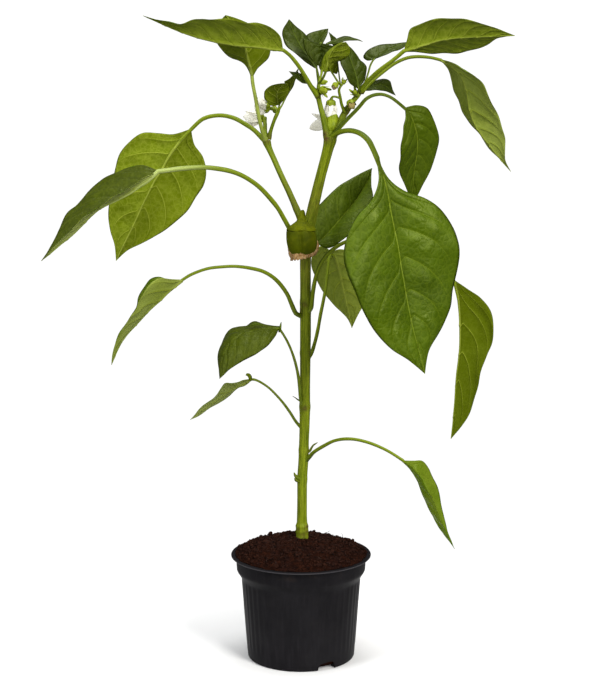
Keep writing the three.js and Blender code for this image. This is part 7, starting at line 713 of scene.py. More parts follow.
def leaf(name, L, quilt=1.0, wave=1.0, laterals=None, curl=None, tone=0.4, sweep=1.0, tone_lo=None, extra=0.17, mats=None):
    sd = seed_of(name)
    rs = np.random.default_rng(sd)
    thin = L["thin"]
    rib, mA, mB = (np.asarray(L[k], float) for k in ("rib", "marginA", "marginB"))
    Lmm = arc(rib)[-1]
    hwm = max(np.linalg.norm(mA - rib, axis=1).max(), np.linalg.norm(mB - rib, axis=1).max())
    nr = int(np.clip(Lmm / 1.25, 26, 104))
    nc = int(np.clip(hwm / 1.25, 9, 24))
    x = np.linspace(0, 1, nr)
    s = 0.72 * x + 0.28 * (0.5 - 0.5 * np.cos(PI * x))
    uu = (np.arange(nc + 1) / nc) ** 1.3
    M, A, B = cr(rib, s), cr(mA, s), cr(mB, s)
    e = 0.02
    sc = np.clip(s, 0.03, 0.96)
    T = unit(cr(rib, np.minimum(sc + e, 1)) - cr(rib, np.maximum(sc - e, 0)))
    Mc, Ac, Bc = cr(rib, sc), cr(mA, sc), cr(mB, sc)
    nA = unit(np.cross(T, unit(Mc - Ac))) * L["up"]
    nB = unit(np.cross(T, unit(Bc - Mc))) * L["up"]
    hA, hB = np.linalg.norm(A - M, axis=1), np.linalg.norm(B - M, axis=1)
    arch = L["arch"]
    bow = lambda u: 4 * u * (1 - u)
    left = M[:, None] + (A - M)[:, None] * uu[None, ::-1, None] + nA[:, None] * (arch * hA[:, None] * bow(uu[None, ::-1]))[..., None]
    right = M[:, None] + (B - M)[:, None] * uu[None, 1:, None] + nB[:, None] * (arch * hB[:, None] * bow(uu[None, 1:]))[..., None]
    G = np.concatenate([left, right], 1)
    u = np.r_[-uu[::-1], uu[1:]]
    ua = np.abs(u)[None, :]
    S = s[:, None]
    h = np.where(u[None, :] < 0, hA[:, None], hB[:, None])
    d = ua * h
    # normals of the smooth sheet, facing the leaf's upper side
    dS = np.gradient(G, axis=0)
    dU = np.gradient(G, axis=1)
    N = unit(np.cross(dS, dU))
    ref = np.where((u < 0)[None, :, None], nA[:, None], nB[:, None])
    N = N * np.sign((N * ref).sum(-1, keepdims=True) + 1e-12)
    bad = (h < 0.6)
    N = np.where(bad[..., None], ref, N)
    N = unit(N + 0.25 * ref)
    # side veins leave the midrib and sweep towards the tip
    NL = laterals or float(np.clip(Lmm / 15.0, 4.5, 9.0))
    hm = 0.5 * (hA + hB)[:, None]
    k = 0.85 * sweep * hwm / Lmm
    shift = k * (0.72 * ua + 0.42 * ua ** 3)
    stag = 0.22 * np.sign(u)[None, :] * step01(0.0, 0.10, ua)
    irr = 0.13 * vnoise(np.stack([S * 5 + 0 * ua, np.sign(u)[None, :] * 3 + 0 * S, 0 * S + 0 * ua + sd], -1), sd)
    phase = NL * (S - shift) + stag + irr + rs.uniform(0, 1)
    fr = phase - np.floor(phase)
    near = np.minimum(fr, 1 - fr)
    ends = step01(0.0, 0.10, S) * step01(1.0, 0.88, S)
    big = np.clip(h / 34.0, 0.12, 1.15)
    pucker = (1 - (1 - 2 * near) ** 2.4) * np.sin(PI * np.clip(ua, 0, 1)) ** 0.55
    uneven = np.clip(0.75 + 1.5 * fbm(G / 17.0 + 2 * sd, sd + 2, 3), 0.1, 1.7)
    disp = quilt * 1.15 * big * pucker * ends * uneven
    disp = disp + wave * 1.5 * big * ua ** 1.2 * ends * fbm(G / 26.0 + sd, sd, 2)
    disp = disp + wave * 1.0 * big * ua ** 4 * ends * np.sin(2 * PI * (0.55 * phase) + rs.uniform(0, 6))
    P = G + N * disp[..., None]
    th = 0.20 * thin * np.sqrt(np.maximum(1 - ua ** 6, 0)) * (0.35 + 0.65 * step01(1.0, 0.93, S))
    th = th + 0 * S
    groove = 0.42 * thin * np.exp(-((d / 0.85) ** 2)) * (1 - S) ** 0.4
    wr = (0.25 + 0.95 * (1 - S) ** 1.15) * thin * (0.75 if hwm < 14 else 1.0)
    keel = wr * 1.15 * np.sqrt(np.maximum(0.0, 1 - (d / wr) ** 2))
    ridge = 0.34 * thin * np.exp(-((near * (Lmm / NL) * 0.8 / 0.75) ** 2)) * (1 - ua) ** 0.7 * ends * (hwm > 14)
    up = P + N * (th - groove - 0.5 * ridge)[..., None]
    lo = P - N * (th + keel + ridge)[..., None]
    m = 2 * nc + 1
    up[:, 0], lo[:, 0] = P[:, 0], P[:, 0]
    up[:, -1], lo[:, -1] = P[:, -1], P[:, -1]
    gap = Lmm / NL
    pa = np.stack([phase, ua + 0 * S, S + 0 * ua], -1)
    pb = np.stack([d, gap + 0 * d, 0 * d + tone], -1)
    sh = Shape()
    k1 = sh.grid(up, 0, pa=pa, pb=pb)
    pb2 = pb.copy()
    if tone_lo is not None:
        pb2[..., 2] = tone_lo
    k2 = sh.grid(lo, 1, pa=pa, pb=pb2)
    sh.f += [(k1 + j, k1 + j + 1, k2 + j + 1, k2 + j) for j in range(m - 1)]
    sh.fm += [1] * (m - 1)
    # the stalk, grooved on its upper side, runs on under the midrib
    path, rad, n1 = stalk_path(L, extra)
    Tt = unit(np.gradient(path, axis=0))
    U = np.zeros_like(path)
    V = np.zeros_like(path)
    n = blade_up(L, np.array([0.06]))[0]
    for i in range(n1 - 1, -1, -1):
        n = unit(n - Tt[i] * (n @ Tt[i]))
        V[i] = n
    n = V[n1 - 1]
    for i in range(n1, len(path)):
        n = unit(n - Tt[i] * (n @ Tt[i]))
        V[i] = n
    U = np.cross(V, Tt)
    ln = arc(path)
    free = ln[n1 - 1]
    rad = rad * (1 + 0.22 * np.exp(-(ln / 3.2) ** 2) * (thin > 0.9)) * (1 + 0.035 * vnoise(np.stack([ln / 9, ln * 0, ln * 0 + sd], -1), 3))
    def prof(a, al):
        g = np.exp(-(((a - PI / 2) / 0.5) ** 2))
        w = np.exp(-(((a - PI / 2 - 0.85) / 0.3) ** 2)) + np.exp(-(((a - PI / 2 + 0.85) / 0.3) ** 2))
        on = step01(1.0, 7.0, al)
        return 1 + on * (-0.30 * g + 0.07 * w) + 0.02 * np.sin(5 * a + al * 0.15)
    root = path[0]
    def pa_fn(a, al, Gt):
        scar = 0.75 * np.exp(-(al / 1.6) ** 2) * (thin > 0.9)
        return al, a, scar
    tube(sh, path, rad, 16 if thin > 0.9 else 12, 2, prof=prof, pa=pa_fn, frame_uv=(Tt, U, V))
    if curl:
        for c in curl:
            margin_curl(sh, c)
    return sh.build(name + "_blade", mats or [TOP_YOUNG if name.startswith("leaf_top") else TOP, UNDER, {"leaf_left_2": PETIOLE_PALE, "leaf_left_4": PETIOLE_FADE}.get(name, PETIOLE)], [name], merge=0.002)


def margin_curl(sh, c):
    """a small rolled flap of blade where it meets its stalk: rows of [x, y, z, half width]"""
    rows = fine(c["rows"], 18)
    T, U, V = frames(rows, c.get("seed", (0, -1, 0)))
    m = 9
    a = np.linspace(-1, 1, m)[None, :] * c.get("roll", 1.5)
    R = rows[:, 3:4]
    x = R * np.sin(a)
    y = R * (1 - np.cos(a)) * c.get("deep", 1.0)
    t = 0.2
    for sgn, mat in ((1, c.get("mats", (0, 1))[0]), (-1, c.get("mats", (0, 1))[1])):
        q = y + sgn * t * (1 - np.abs(np.linspace(-1, 1, m)) ** 4)[None, :] * np.minimum(1, R / 0.8)
        G = rows[:, None, :3] + U[:, None] * x[..., None] + V[:, None] * q[..., None]
        sh.grid(G, mat, pa=(0.5, 0.5, 0.5), pb=(9, 12, 0.5))


for name, L in LEAVES.items():
    small = name.startswith("leaf_top")
    q, sw, nl = FORMS.get(name, (0.8 if small else 1.2, 1.0, None))
    # tone_lo=-0.9 pales the underside of leaf_left_4, which lies in shade: painted light
    leaf(name, L, quilt=q, wave=0.6 if small else 1.0, laterals=nl, curl=CURLS.get(name), tone=LEAF_TONES_AND_LIGHT.get(name, 0.3), sweep=sw,
         tone_lo=-0.9 if name == "leaf_left_4" else None, extra=0.62 if name == "leaf_left_4" else 0.17, mats=[TOP, TOP, PETIOLE] if name == "leaf_right_7" else None)


# ---------------------------------------------------------------- stems
def stem(name, mat, sides=30, ridges=5, ridge=0.05, flare0=0.0, flare1=0.0, flare_mm=6.0, round_end=True, groove=None):
    rows = np.asarray(STEMS[name], float)
    ln = arc(rows)[-1]
    n = max(10, int(ln / 1.2))
    q = fine(rows, n)
    sd = seed_of(name)
    al = arc(q)
    r = q[:, 3] * (1 + flare0 * np.exp(-(al / flare_mm) ** 2) + flare1 * np.exp(-((al[-1] - al) / flare_mm) ** 2))
    path = q[:, :3].copy()
    scars_and_shade = []
    for mx, my, mz, mr, amt, bulge in STEM_SCARS_AND_SHADE.get(name, []):
        # a mark sits on the side of the stem that its place is nearest to, at the front
        i = int(np.argmin(np.hypot(path[:, 0] - mx, path[:, 2] - mz)))
        dist = np.hypot(path[:, 0] - path[i, 0], path[:, 2] - path[i, 2])
        scars_and_shade.append((mx, path[i, 1] - 0.75 * r[i], mz, mr, amt, bulge))
        r = r + bulge * np.exp(-(dist / (mr * 1.2)) ** 2)
    def prof(a, along):
        tw = along * 0.006
        k = 1 + ridge * np.cos(ridges * a + 3 * tw + 0.6 * np.sin(along * 0.02)) + 0.35 * ridge * np.cos(2 * a - tw)
        nz = vnoise(np.stack([np.cos(a) * 1.3, np.sin(a) * 1.3, along / 22.0], -1), sd)
        n2 = vnoise(np.stack([np.cos(a) * 3.1, np.sin(a) * 3.1, along / 7.0], -1), sd + 4)
        k = k + 0.035 * nz + 0.012 * n2
        if groove:
            for ga, gw, gd in groove:
                dd = np.angle(np.exp(1j * (a - ga)))
                k = k - gd * np.exp(-((dd / gw) ** 2))
        return k
    def pa_fn(a, along, G):
        m = np.zeros_like(a)
        for mx, my, mz, mr, amt, bulge in scars_and_shade:
            dist = np.linalg.norm(G - np.array([mx, my, mz]), axis=-1)
            m = np.maximum(m, amt * np.exp(-(dist / mr) ** 2))
        if name == "main_stem":
            z = G[..., 2]
            m = np.maximum(m, 0.35 * np.exp(-((z - 98.0) / 6.0) ** 2))
            lines = vnoise(np.stack([np.cos(a) * 6, np.sin(a) * 6, along / 26.0], -1), 9)
            m = np.maximum(m, 0.30 * step01(0.45, 0.8, lines) * step01(330, 140, z))
        return along, a, m
    sh = Shape()
    tube(sh, path, r, sides, 0, prof=prof, pa=pa_fn)
    return sh.build(name + "_skin", [mat], [name])


stem("main_stem", STEM, 40, 5, 0.045)
stem("branch_right", STEM, 36, 4, 0.04, flare0=0.10, flare1=0.06, groove=[(1.2, 0.28, 0.12)])
stem("branch_left", TWIG, 28, 4, 0.04, flare0=0.25, flare1=0.12)
stem("shoot_left", TWIG, 20, 4, 0.03, flare0=0.35, flare_mm=4)
stem("shoot_right_front", TWIG, 24, 4, 0.035, flare0=0.2, flare_mm=5)
stem("shoot_right_back", TWIG, 24, 4, 0.035, flare0=0.2, flare_mm=5)
stem("flower_stalk_right", TWIG, 18, 4, 0.03, flare0=0.3, flare_mm=3)


# ---------------------------------------------------------------- flowers
def sepal_cup(sh, place, r, h, teeth=5, tooth=2.2, mat=0, wall=0.45, pinch=0.9, lean=0.12, seedn=1, close=1.0):
    """a ribbed cup about +Z with pointed teeth round its mouth"""
    n = teeth * 14
    a = np.linspace(0, 2 * PI, n, endpoint=False)
    zz = np.array([0, 0.04, 0.12, 0.25, 0.4, 0.55, 0.7, 0.84, 0.94, 1.0])
    rr = np.array([0.30, 0.42, 0.62, 0.82, 0.94, 1.0, 1.02, 1.03, 1.05, 1.07]) * close + (1 - close) * np.array([0.30, 0.42, 0.62, 0.82, 0.94, 1.0, 0.96, 0.86, 0.74, 0.62])
    point = np.abs(np.cos(a * teeth / 2)) ** 2.2
    rows_o, rows_i = [], []
    for i, (z, k) in enumerate(zip(zz, rr)):
        rib = 1 + 0.06 * np.cos(a * teeth) * np.sin(PI * min(z * 1.2, 1))
        lift = point * tooth * max(0.0, (z - 0.7) / 0.3) ** 1.5
        out = 1 + lean * point * max(0.0, (z - 0.75) / 0.25) ** 1.4
        R = r * k * rib * out
        Z = h * z + lift + 0 * a
        rows_o.append(np.stack([R * np.cos(a), R * np.sin(a), Z], -1))
        Ri = np.maximum(R - wall * (0.3 if i == len(zz) - 1 else 1), 0.15)
        rows_i.append(np.stack([Ri * np.cos(a), Ri * np.sin(a), Z + (0.35 if i < 2 else 0)], -1))
    bottom = np.zeros((1, n, 3))
    top_in = np.zeros((1, n, 3)); top_in[..., 2] = h * 0.08 + 0.3
    G = np.concatenate([bottom, np.array(rows_o), np.array(rows_i[::-1]), top_in], 0)
    ang = np.broadcast_to(a[None, :], G.shape[:2])
    q = np.stack([G[..., 2], ang, 0 * ang], -1)
    sh.grid(place(G), mat, wrap=True, pa=q)


def petal(sh, place, ang, r0, length, width, a0, a1, mat, seedn, cup=0.25, z0=0.0, twist=0.0, fold=0.0, tip=1.0):
    """one pointed petal: starts at radius r0 and swings from a0 to a1 away from the axis"""
    n, m = 22, 13
    s = np.linspace(0, 1, n)
    th = a0 + (a1 - a0) * s ** 1.2
    dr = np.r_[0, np.cumsum(np.sin(0.5 * (th[1:] + th[:-1])) * np.diff(s))] * length
    dz = np.r_[0, np.cumsum(np.cos(0.5 * (th[1:] + th[:-1])) * np.diff(s))] * length
    w = width * (0.62 + 0.60 * np.sin(PI * np.clip(s * 0.95, 0, 1)) ** 0.8) * np.clip(1 - s ** (3.0 * tip), 0, 1) ** 0.62
    w = np.maximum(w, 0.02)
    t = np.linspace(-1, 1, m)
    R, Tm = np.meshgrid(s, t, indexing="ij")
    X = w[:, None] * Tm
    nz = fbm(np.stack([R * 3.0, Tm * 1.6, 0 * R + seedn], -1), seedn, 2)
    lift = cup * w[:, None] * (Tm ** 2) + 0.45 * nz * R * (np.abs(Tm) ** 1.5) + fold * R ** 2 * np.abs(Tm) * w[:, None]
    vein = 0.10 * np.cos(Tm * 9) * (1 - R)
    er = np.stack([np.cos(th), -np.sin(th)], -1)
    out = (r0 + dr)[:, None] - lift * er[:, None, 0]
    up = (z0 + dz)[:, None] - lift * er[:, None, 1]
    tw = twist * R
    X2 = X * np.cos(tw)
    out = out + X * np.sin(tw) * 0.6
    rad = np.array([math.cos(ang), math.sin(ang), 0.0])
    tan = np.array([-math.sin(ang), math.cos(ang), 0.0])
    G = rad * out[..., None] + tan * X2[..., None] + np.array([0, 0, 1.0]) * up[..., None]
    Nn = unit(np.cross(np.gradient(G, axis=0), np.gradient(G, axis=1)))
    thick = 0.16 * np.sqrt(np.maximum(1 - np.abs(Tm) ** 4, 0)) * np.clip((1 - R) * 8, 0, 1)
    a_, b_ = G + Nn * (thick + vein * 0.3)[..., None], G - Nn * (thick - vein * 0.3)[..., None]
    a_[:, 0], b_[:, 0], a_[:, -1], b_[:, -1] = G[:, 0], G[:, 0], G[:, -1], G[:, -1]
    q = np.stack([R * length, Tm * 1.3, step01(0.35, 0.0, R) * 0.35], -1)
    sh.grid(place(a_), mat, pa=q)
    sh.grid(place(b_), mat, pa=q)


def stamens(sh, place, mat, mat2, n=5, z=1.5, reach=5.5, spread=1.5):
    for i in range(n):
        a = 2 * PI * i / n + 0.3
        p = np.array([[spread * 0.5 * math.cos(a), spread * 0.5 * math.sin(a), z - 1.2], [spread * 0.8 * math.cos(a), spread * 0.8 * math.sin(a), z + reach * 0.45],
                      [spread * math.cos(a), spread * math.sin(a), z + reach * 0.6]])
        tube(sh, place(fine(p, 8)), 0.28, 7, mat2)
        q = np.array([[spread * math.cos(a), spread * math.sin(a), z + reach * 0.55], [spread * 1.05 * math.cos(a), spread * 1.05 * math.sin(a), z + reach]])
        tube(sh, place(fine(q, 9)), 0.72 * np.sin(np.linspace(0.25, PI - 0.2, 9)) ** 0.6, 9, mat)
    p = np.array([[0, 0, z - 1], [0.1, 0.05, z + reach * 1.25]])
    tube(sh, place(fine(p, 9)), np.r_[np.full(7, 0.32), 0.55, 0.5], 8, mat2)


FLOWER_FORM = {
    "flower_1": dict(n=6, r0=1.8, length=14.6, width=3.7, a0=0.52, a1=0.02, cup=0.30, z0=0.8),
    "flower_2": dict(n=5, r0=1.5, length=13.6, width=4.4, a0=0.75, a1=1.50, cup=0.18, z0=-0.5),
    "flower_3": dict(n=5, r0=1.8, length=16.6, width=5.0, a0=0.72, a1=-0.30, cup=0.34, z0=0.6, tip=2.2),
    "flower_4": dict(n=5, r0=1.8, length=13.4, width=4.8, a0=0.85, a1=0.05, cup=0.30, z0=0.6, tip=2.0),
}
for F in FLOWERS:
    form = FLOWER_FORM[F["name"]]
    rs = np.random.default_rng(seed_of(F["name"]))
    pl = placer(F["at"], F["axis"], F["spin"])
    sh = Shape()
    if F["name"] == "flower_2":
        sepal_cup(sh, pl, 5.4, 11.4, 3, 2.2, 0, lean=0.10, seedn=3)
    elif F["name"] in ("flower_3", "flower_4"):
        sepal_cup(sh, pl, F["cr"] * 1.12, F["ch"] * 1.25, 5, 1.6, 0, lean=0.15, seedn=5)
    else:
        sepal_cup(sh, pl, F["cr"] * 0.88, F["ch"] * 0.85, 6, 0.9, 0, lean=0.05, seedn=5)
    for key in ("stalk", "neck"):
        if key in F:
            rows = fine(F[key], 22)
            al = arc(rows)
            rr = rows[:, 3] * (1 + 0.30 * step01(al[-1] - 5, al[-1], al)) * (1.35 if F["name"] == "flower_3" else 1.1)
            tube(sh, rows, rr, 16, 1, prof=lambda a, al: 1 + 0.05 * np.cos(5 * a))
    sh.build(F["name"] + "_sepals", [CALYX, TWIG], [F["name"] + "_calyx"])
    seat = F.get("seat") or [F["at"][i] + 0.9 * unit(F["axis"])[i] for i in range(3)]
    face = F.get("face") or F["axis"]
    pp = placer(seat, face, F["spin"] + 0.3)
    sh = Shape()
    if F["name"] == "flower_2":
        # the open flower faces away: each petal has its own bearing, length and width
        w = unit(face)
        e1 = unit(np.array([1.0, 0, 0]) - w * w[0])
        e2 = unit(np.array([0, 0, 1.0]) - w * w[2] - e1 * e1[2])
        at0 = np.asarray(seat, float)
        pp = lambda G: at0 + G[..., :1] * e1 + G[..., 1:2] * e2 + G[..., 2:3] * w
        for deg, ln, wd, a1, tw in ((202, 17.2, 4.1, 1.62, 0.2), (-16, 13.6, 3.6, 1.5, -0.2), (155, 15.6, 2.0, 1.75, 1.1), (70, 12.5, 3.6, 1.4, 0.1), (276, 11.5, 3.4, 1.35, 0.0)):
            petal(sh, pp, math.radians(deg), 1.4, ln, wd, 0.9, a1, 0, deg % 17, cup=0.16, z0=-0.5, twist=tw, tip=1.6)
        form = dict(form, n=0)
    for i in range(form["n"]):
        j = rs.uniform(-1, 1, 4)
        petal(sh, pp, 2 * PI * i / form["n"] + 0.08 * j[0], form["r0"], form["length"] * (1 + 0.05 * j[1]), form["width"], form["a0"] + 0.04 * j[2], form["a1"] + 0.14 * j[3], 0,
              10 + i, cup=form["cup"], z0=form["z0"], twist=0.25 * j[0], fold=0.08 * j[2], tip=form.get("tip", 1.0))
    stamens(sh, pp, 1, 2, reach=4.6 if F["name"] != "flower_4" else 4.0, z=1.5)
    sh.build(F["name"] + "_corolla", [PETAL, ANTHER, CALYX], [F["name"] + "_petals"])


# ---------------------------------------------------------------- flower buds
for B in BUDS:
    pl = placer(B["at"], B["axis"], 0.4)
    rows = np.asarray(B["rows"], float)
    R, H = rows[:, 0].max(), rows[-1, 1]
    sh = Shape()
    core = np.array([[0, H * 0.06], [R * 0.55, H * 0.14], [R * 0.80, H * 0.32], [R * 0.86, H * 0.52], [R * 0.78, H * 0.70], [R * 0.58, H * 0.84], [R * 0.30, H * 0.94], [0.0, H * 0.985]])
    core = fine(core, 22)
    core[:, 0] = np.maximum(core[:, 0], 0)
    core[0, 0] = core[-1, 0] = 0
    turned(sh, core, 40, 2, place=pl, fn=lambda r, z, a, i: ((r * (1 - 0.07 * np.abs(np.sin(2.5 * a)) ** 6)) * np.cos(a), (r * (1 - 0.07 * np.abs(np.sin(2.5 * a)) ** 6)) * np.sin(a), z))
    open_ = B["name"] in ("bud_1", "bud_5", "bud_7")
    sepal_cup(sh, pl, R * (0.98 if open_ else 1.02), H * (0.42 if open_ else 0.5), 5, H * (0.62 if open_ else 0.24), 0, wall=0.3, lean=0.75 if open_ else 0.05, seedn=2)
    rows = fine(B["stalk"], 12)
    tube(sh, rows, rows[:, 3], 14, 1, prof=lambda a, al: 1 + 0.05 * np.cos(5 * a))
    tipmat = {"bud_1": CALYX, "bud_3": CALYX, "bud_2": BUD_DARK, "bud_4": BUD_BROWN, "bud_5": CALYX}.get(B["name"], BUD)
    sh.build(B["name"] + "_skin", [CALYX, TWIG, tipmat], [B["name"]])


# ---------------------------------------------------------------- young fruit
def lobes(a):
    g = np.angle(np.exp(1j * (a - (PI + 0.06))))
    g2 = np.angle(np.exp(1j * (a - 1.25)))
    g3 = np.angle(np.exp(1j * (a + 0.95)))
    return 1 + 0.045 * np.cos(3 * a + 0.4) - 0.13 * np.exp(-((g / 0.14) ** 2)) - 0.09 * np.exp(-((g2 / 0.18) ** 2)) - 0.09 * np.exp(-((g3 / 0.18) ** 2))


pl = placer(FRUIT["at"], FRUIT["axis"])
sh = Shape()
body = fine(FRUIT["body"], 56)
body[0, 0] = body[-1, 0] = 0
def fruit_fn(r, z, a, i):
    w = step01(9.0, 20.0, z)
    k = 1 + (lobes(a) - 1) * (0.25 + 0.75 * w)
    k = k * (1 + 0.012 * vnoise(np.stack([np.cos(a) * 2, np.sin(a) * 2, z / 6], -1), 5))
    return r * k * np.cos(a), r * k * np.sin(a), z
leaning = lambda G: pl(G) + np.stack([1.7 * step01(4, 30, G[..., 2]) - 0.5, 0 * G[..., 0], 0 * G[..., 0]], -1)
turned(sh, body, 120, 0, fn=fruit_fn, place=leaning)
sh.build("young_fruit_skin", [FRUIT_SKIN], ["young_fruit"])

sh = Shape()
cap = fine([[0, 0], [2.8, 0.1], [3.5, 1.6], [4.9, 3.2], [7.2, 4.9], [9.8, 6.9], [11.6, 8.8], [12.2, 9.9]], 30)
n = 120
def cap_fn(r, z, a, i):
    k = 1 + 0.045 * np.cos(3 * a + 0.4) + 0.02 * np.cos(10 * a)
    edge = step01(6.0, 11.0, r)
    return r * k * np.cos(a), r * k * np.sin(a), z + edge * (0.35 * np.cos(5 * a + 0.6) + 0.15 * np.sin(13 * a))
inner = cap[::-1].copy()
inner[:, 0] = np.maximum(inner[:, 0] - 0.35, 0)
inner[:, 1] += np.where(inner[:, 0] > 0.2, 0.75, 0.9)
prof = np.r_[cap, inner]
prof[0, 0] = prof[-1, 0] = 0
a = np.linspace(0, 2 * PI, n, endpoint=False)
r_, z_, A_ = np.repeat(prof[:, :1], n, 1), np.repeat(prof[:, 1:], n, 1), np.broadcast_to(a[None], (len(prof), n))
X, Y, Z = cap_fn(r_, z_, A_, None)
sh.grid(pl(np.stack([X, Y, Z], -1)), 0, wrap=True, pa=np.stack([r_, A_, 0 * A_], -1))
rows = fine(FRUIT["stalk"], 40)
al = arc(rows)
tube(sh, rows, rows[:, 3] * (1 + 0.35 * step01(al[-1] - 4, al[-1], al)), 22, 1, prof=lambda a, al: 1 + 0.06 * np.cos(5 * a))
sh.build("fruit_cap_and_stalk", [FRUIT_CAP, FRUIT_CAP], ["fruit_calyx"])

# the old corolla is a torn papery skirt round the fruit's lower end, with a flap up the right side
sh = Shape()
ring = np.asarray(SKIRT, float)
n, m = 220, 19
k = len(ring)
wrap3 = np.concatenate([ring[-3:], ring, ring[:3]], 0)
tt = np.linspace(3, 3 + k, n, endpoint=False) / (len(wrap3) - 1)
cols = [cr(wrap3[:, c], tt) for c in range(3)]
v = np.linspace(0, 1, m)
G = np.stack([(1 - x) * (1 - 2 * x) * cols[0] + 4 * x * (1 - x) * cols[1] + x * (2 * x - 1) * cols[2] for x in v], 0)
mid = G.mean(axis=(0, 1))
out = G - mid
out[..., 2] = 0
out = unit(out)
w_ = v[:, None]
nz, nz2 = fbm(G / 4.2, 31, 3), fbm(G / 1.5, 37, 2)
tear = 0.9 * fbm(G[-1:] / 2.0, 41, 2) + 0.4 * np.sin(np.arange(n) * 2 * PI * 17 / n)[None, :]
G = G + out * (0.9 * nz * (0.3 + 0.7 * w_) + 0.35 * nz2)[..., None]
G[..., 2] += -tear * w_ ** 3 * 1.1 + 0.5 * np.sin(np.arange(n) * 2 * PI * 13 / n)[None, :] * (1 - w_) ** 3
Nn = unit(np.cross(np.gradient(G, axis=0), np.gradient(G, axis=1)))
t_ = (0.2 * np.sqrt(np.maximum(1 - (2 * w_ - 1) ** 6, 0)) + 0 * nz)[..., None]
pq = np.stack([w_ * 9 + 0 * nz, np.arange(n)[None, :] * 2 * PI / n + 0 * nz, 0 * nz], -1)
for sg in (1, -1):
    sh.grid(G + sg * Nn * t_, 0, wrap=True, pa=pq)
sh.build("fruit_old_corolla", [WITHER], ["fruit_withered_petals"])


# ---------------------------------------------------------------- side buds on the stem
for S in SIDE:
    sh = Shape()
    for rows in S["tubes"]:
        q = fine(rows, 20)
        al = arc(q)
        flat = 0.35
        tube(sh, q, q[:, 3] * (1 + 0.2 * np.exp(-(al / 1.5) ** 2)), 14, 0, prof=lambda a, al: 1 - 0.25 * np.abs(np.sin(a)) ** 2 + 0.06 * np.cos(3 * a),
             pa=lambda a, al, G: (al, a, (0.75 if S["name"] == "side_spike_left" else 0.25) * step01(0.2, 1.0, al / al.max())))
    sh.build(S["name"] + "_skin", [TWIG], [S["name"]])


# ---------------------------------------------------------------- pot
POT_PROFILE = [[0, 0], [20, 0], [38, 0], [43.2, 0], [44.6, 0.0], [45.4, 0.35], [45.8, 1.1], [46, 2.0], [46.2, 5], [46.4, 8]]
POT_PROFILE += [[46.4 + (50.8 - 46.4) * t, 8 + 61 * t] for t in np.linspace(0, 1, 26)[1:]]
POT_PROFILE += [[51.1, 70.2], [51.7, 71.6], [53.2, 74.2], [54.6, 76.2], [55.05, 77.2], [55.2, 79], [55.4, 82.5], [55.6, 85.6], [55.8, 87.4], [56.1, 88.5], [57.2, 88.95], [58.8, 89.05],
                [59.5, 89.25], [59.9, 89.65], [59.95, 90.0], [59.75, 90.4], [59.3, 90.6], [57.5, 90.62], [56.2, 90.6], [55.6, 90.45], [55.2, 90.0], [54.6, 88], [54, 85.6], [53.2, 77.6], [49, 70.6], [48.8, 68],
                [46.6, 38], [44.6, 8], [43.8, 3.6], [42.4, 2.2], [20, 2.2], [0, 2.2]]
NSEG = 288
RIBS = 48
def pot_fn(r, z, a, i):
    out = (i < 36)
    body_w = step01(9.5, 12.5, z) * step01(70.0, 68.0, z) * out
    rib = np.abs(np.cos(a * RIBS / 2)) ** 1.5
    k = r + body_w * (0.34 * rib - 0.10 + 0.12 * np.cos(a * 12 + 1.0))
    foot = step01(11.5, 9.0, z) * step01(0.5, 3.0, z) * out
    k = k + 0.10 * foot
    k = k + 0.10 * np.sin(2 * a + 0.7) * (r > 30)
    return k * np.cos(a), k * np.sin(a), z
sh = Shape()
turned(sh, POT_PROFILE, NSEG, 0, fn=pot_fn)
pot = sh.build("nursery_pot", [POT], ["pot"])
cutter = Shape()
for deg in NOTCH_AT:
    b = math.radians(deg)
    out = np.array([math.sin(b), -math.cos(b), 0.0])
    side = np.array([math.cos(b), math.sin(b), 0.0])
    w, hh = NOTCH_W / 2, NOTCH_H
    pts = np.array([[-w, -3], [w, -3], [w * 0.97, hh * 0.30], [w * 0.90, hh * 0.58], [w * 0.76, hh * 0.84], [w * 0.58, hh * 0.96], [w * 0.25, hh], [-w * 0.3, hh * 0.94], [-w * 0.70, hh * 0.86], [-w * 0.88, hh * 0.70], [-w * 0.98, hh * 0.4]])
    rings = []
    for t in (36.0, 42.0, 52.0):
        rings.append(out * t + side * pts[:, :1] + np.array([0, 0, 1.0]) * pts[:, 1:])
    cutter.grid(np.array(rings), 0, wrap=True, cap0=True, cap1=True)
cut = cutter.build("notch_cutter", [POT])
mod = pot.modifiers.new("notches", "BOOLEAN")
mod.operation, mod.solver, mod.object = "DIFFERENCE", "EXACT", cut
bpy.context.view_layer.update()
ev = pot.evaluated_get(bpy.context.evaluated_depsgraph_get())
new = bpy.data.meshes.new_from_object(ev)
pot.modifiers.clear()
old = pot.data
pot.data = new
bpy.data.objects.remove(cut)
bpy.data.meshes.remove(old)
bm = bmesh.new()
bm.from_mesh(pot.data)
for f in bm.faces:
    f.smooth = True
    f.material_index = 0
for e in bm.edges:
    e.smooth = not (len(e.link_faces) == 2 and e.calc_face_angle(0) > math.radians(38))
bm.to_mesh(pot.data)
bm.free()


# ---------------------------------------------------------------- soil
def soil_height(x, y):
    lump = 0.55 * np.sin(x * 0.31 + 1.1) * np.cos(y * 0.27) + 0.45 * np.sin(x * 0.13 - y * 0.19 + 2.0) + 0.3 * np.sin(y * 0.47 + x * 0.21)
    r = np.hypot(x, y)
    z = 90.75 + 10.6 * (1 - np.clip(r / 57.0, 0, 1) ** 3) - 0.016 * x * step01(57, 40, r)
    p = np.stack([x, y, 0 * x], -1)
    z = z + lump * step01(56, 46, r)
    z = z + (0.9 * fbm(p / 6.0, 3, 3) + 0.5 * fbm(p / 1.9, 5, 2)) * step01(57.2, 53.0, r)
    return z


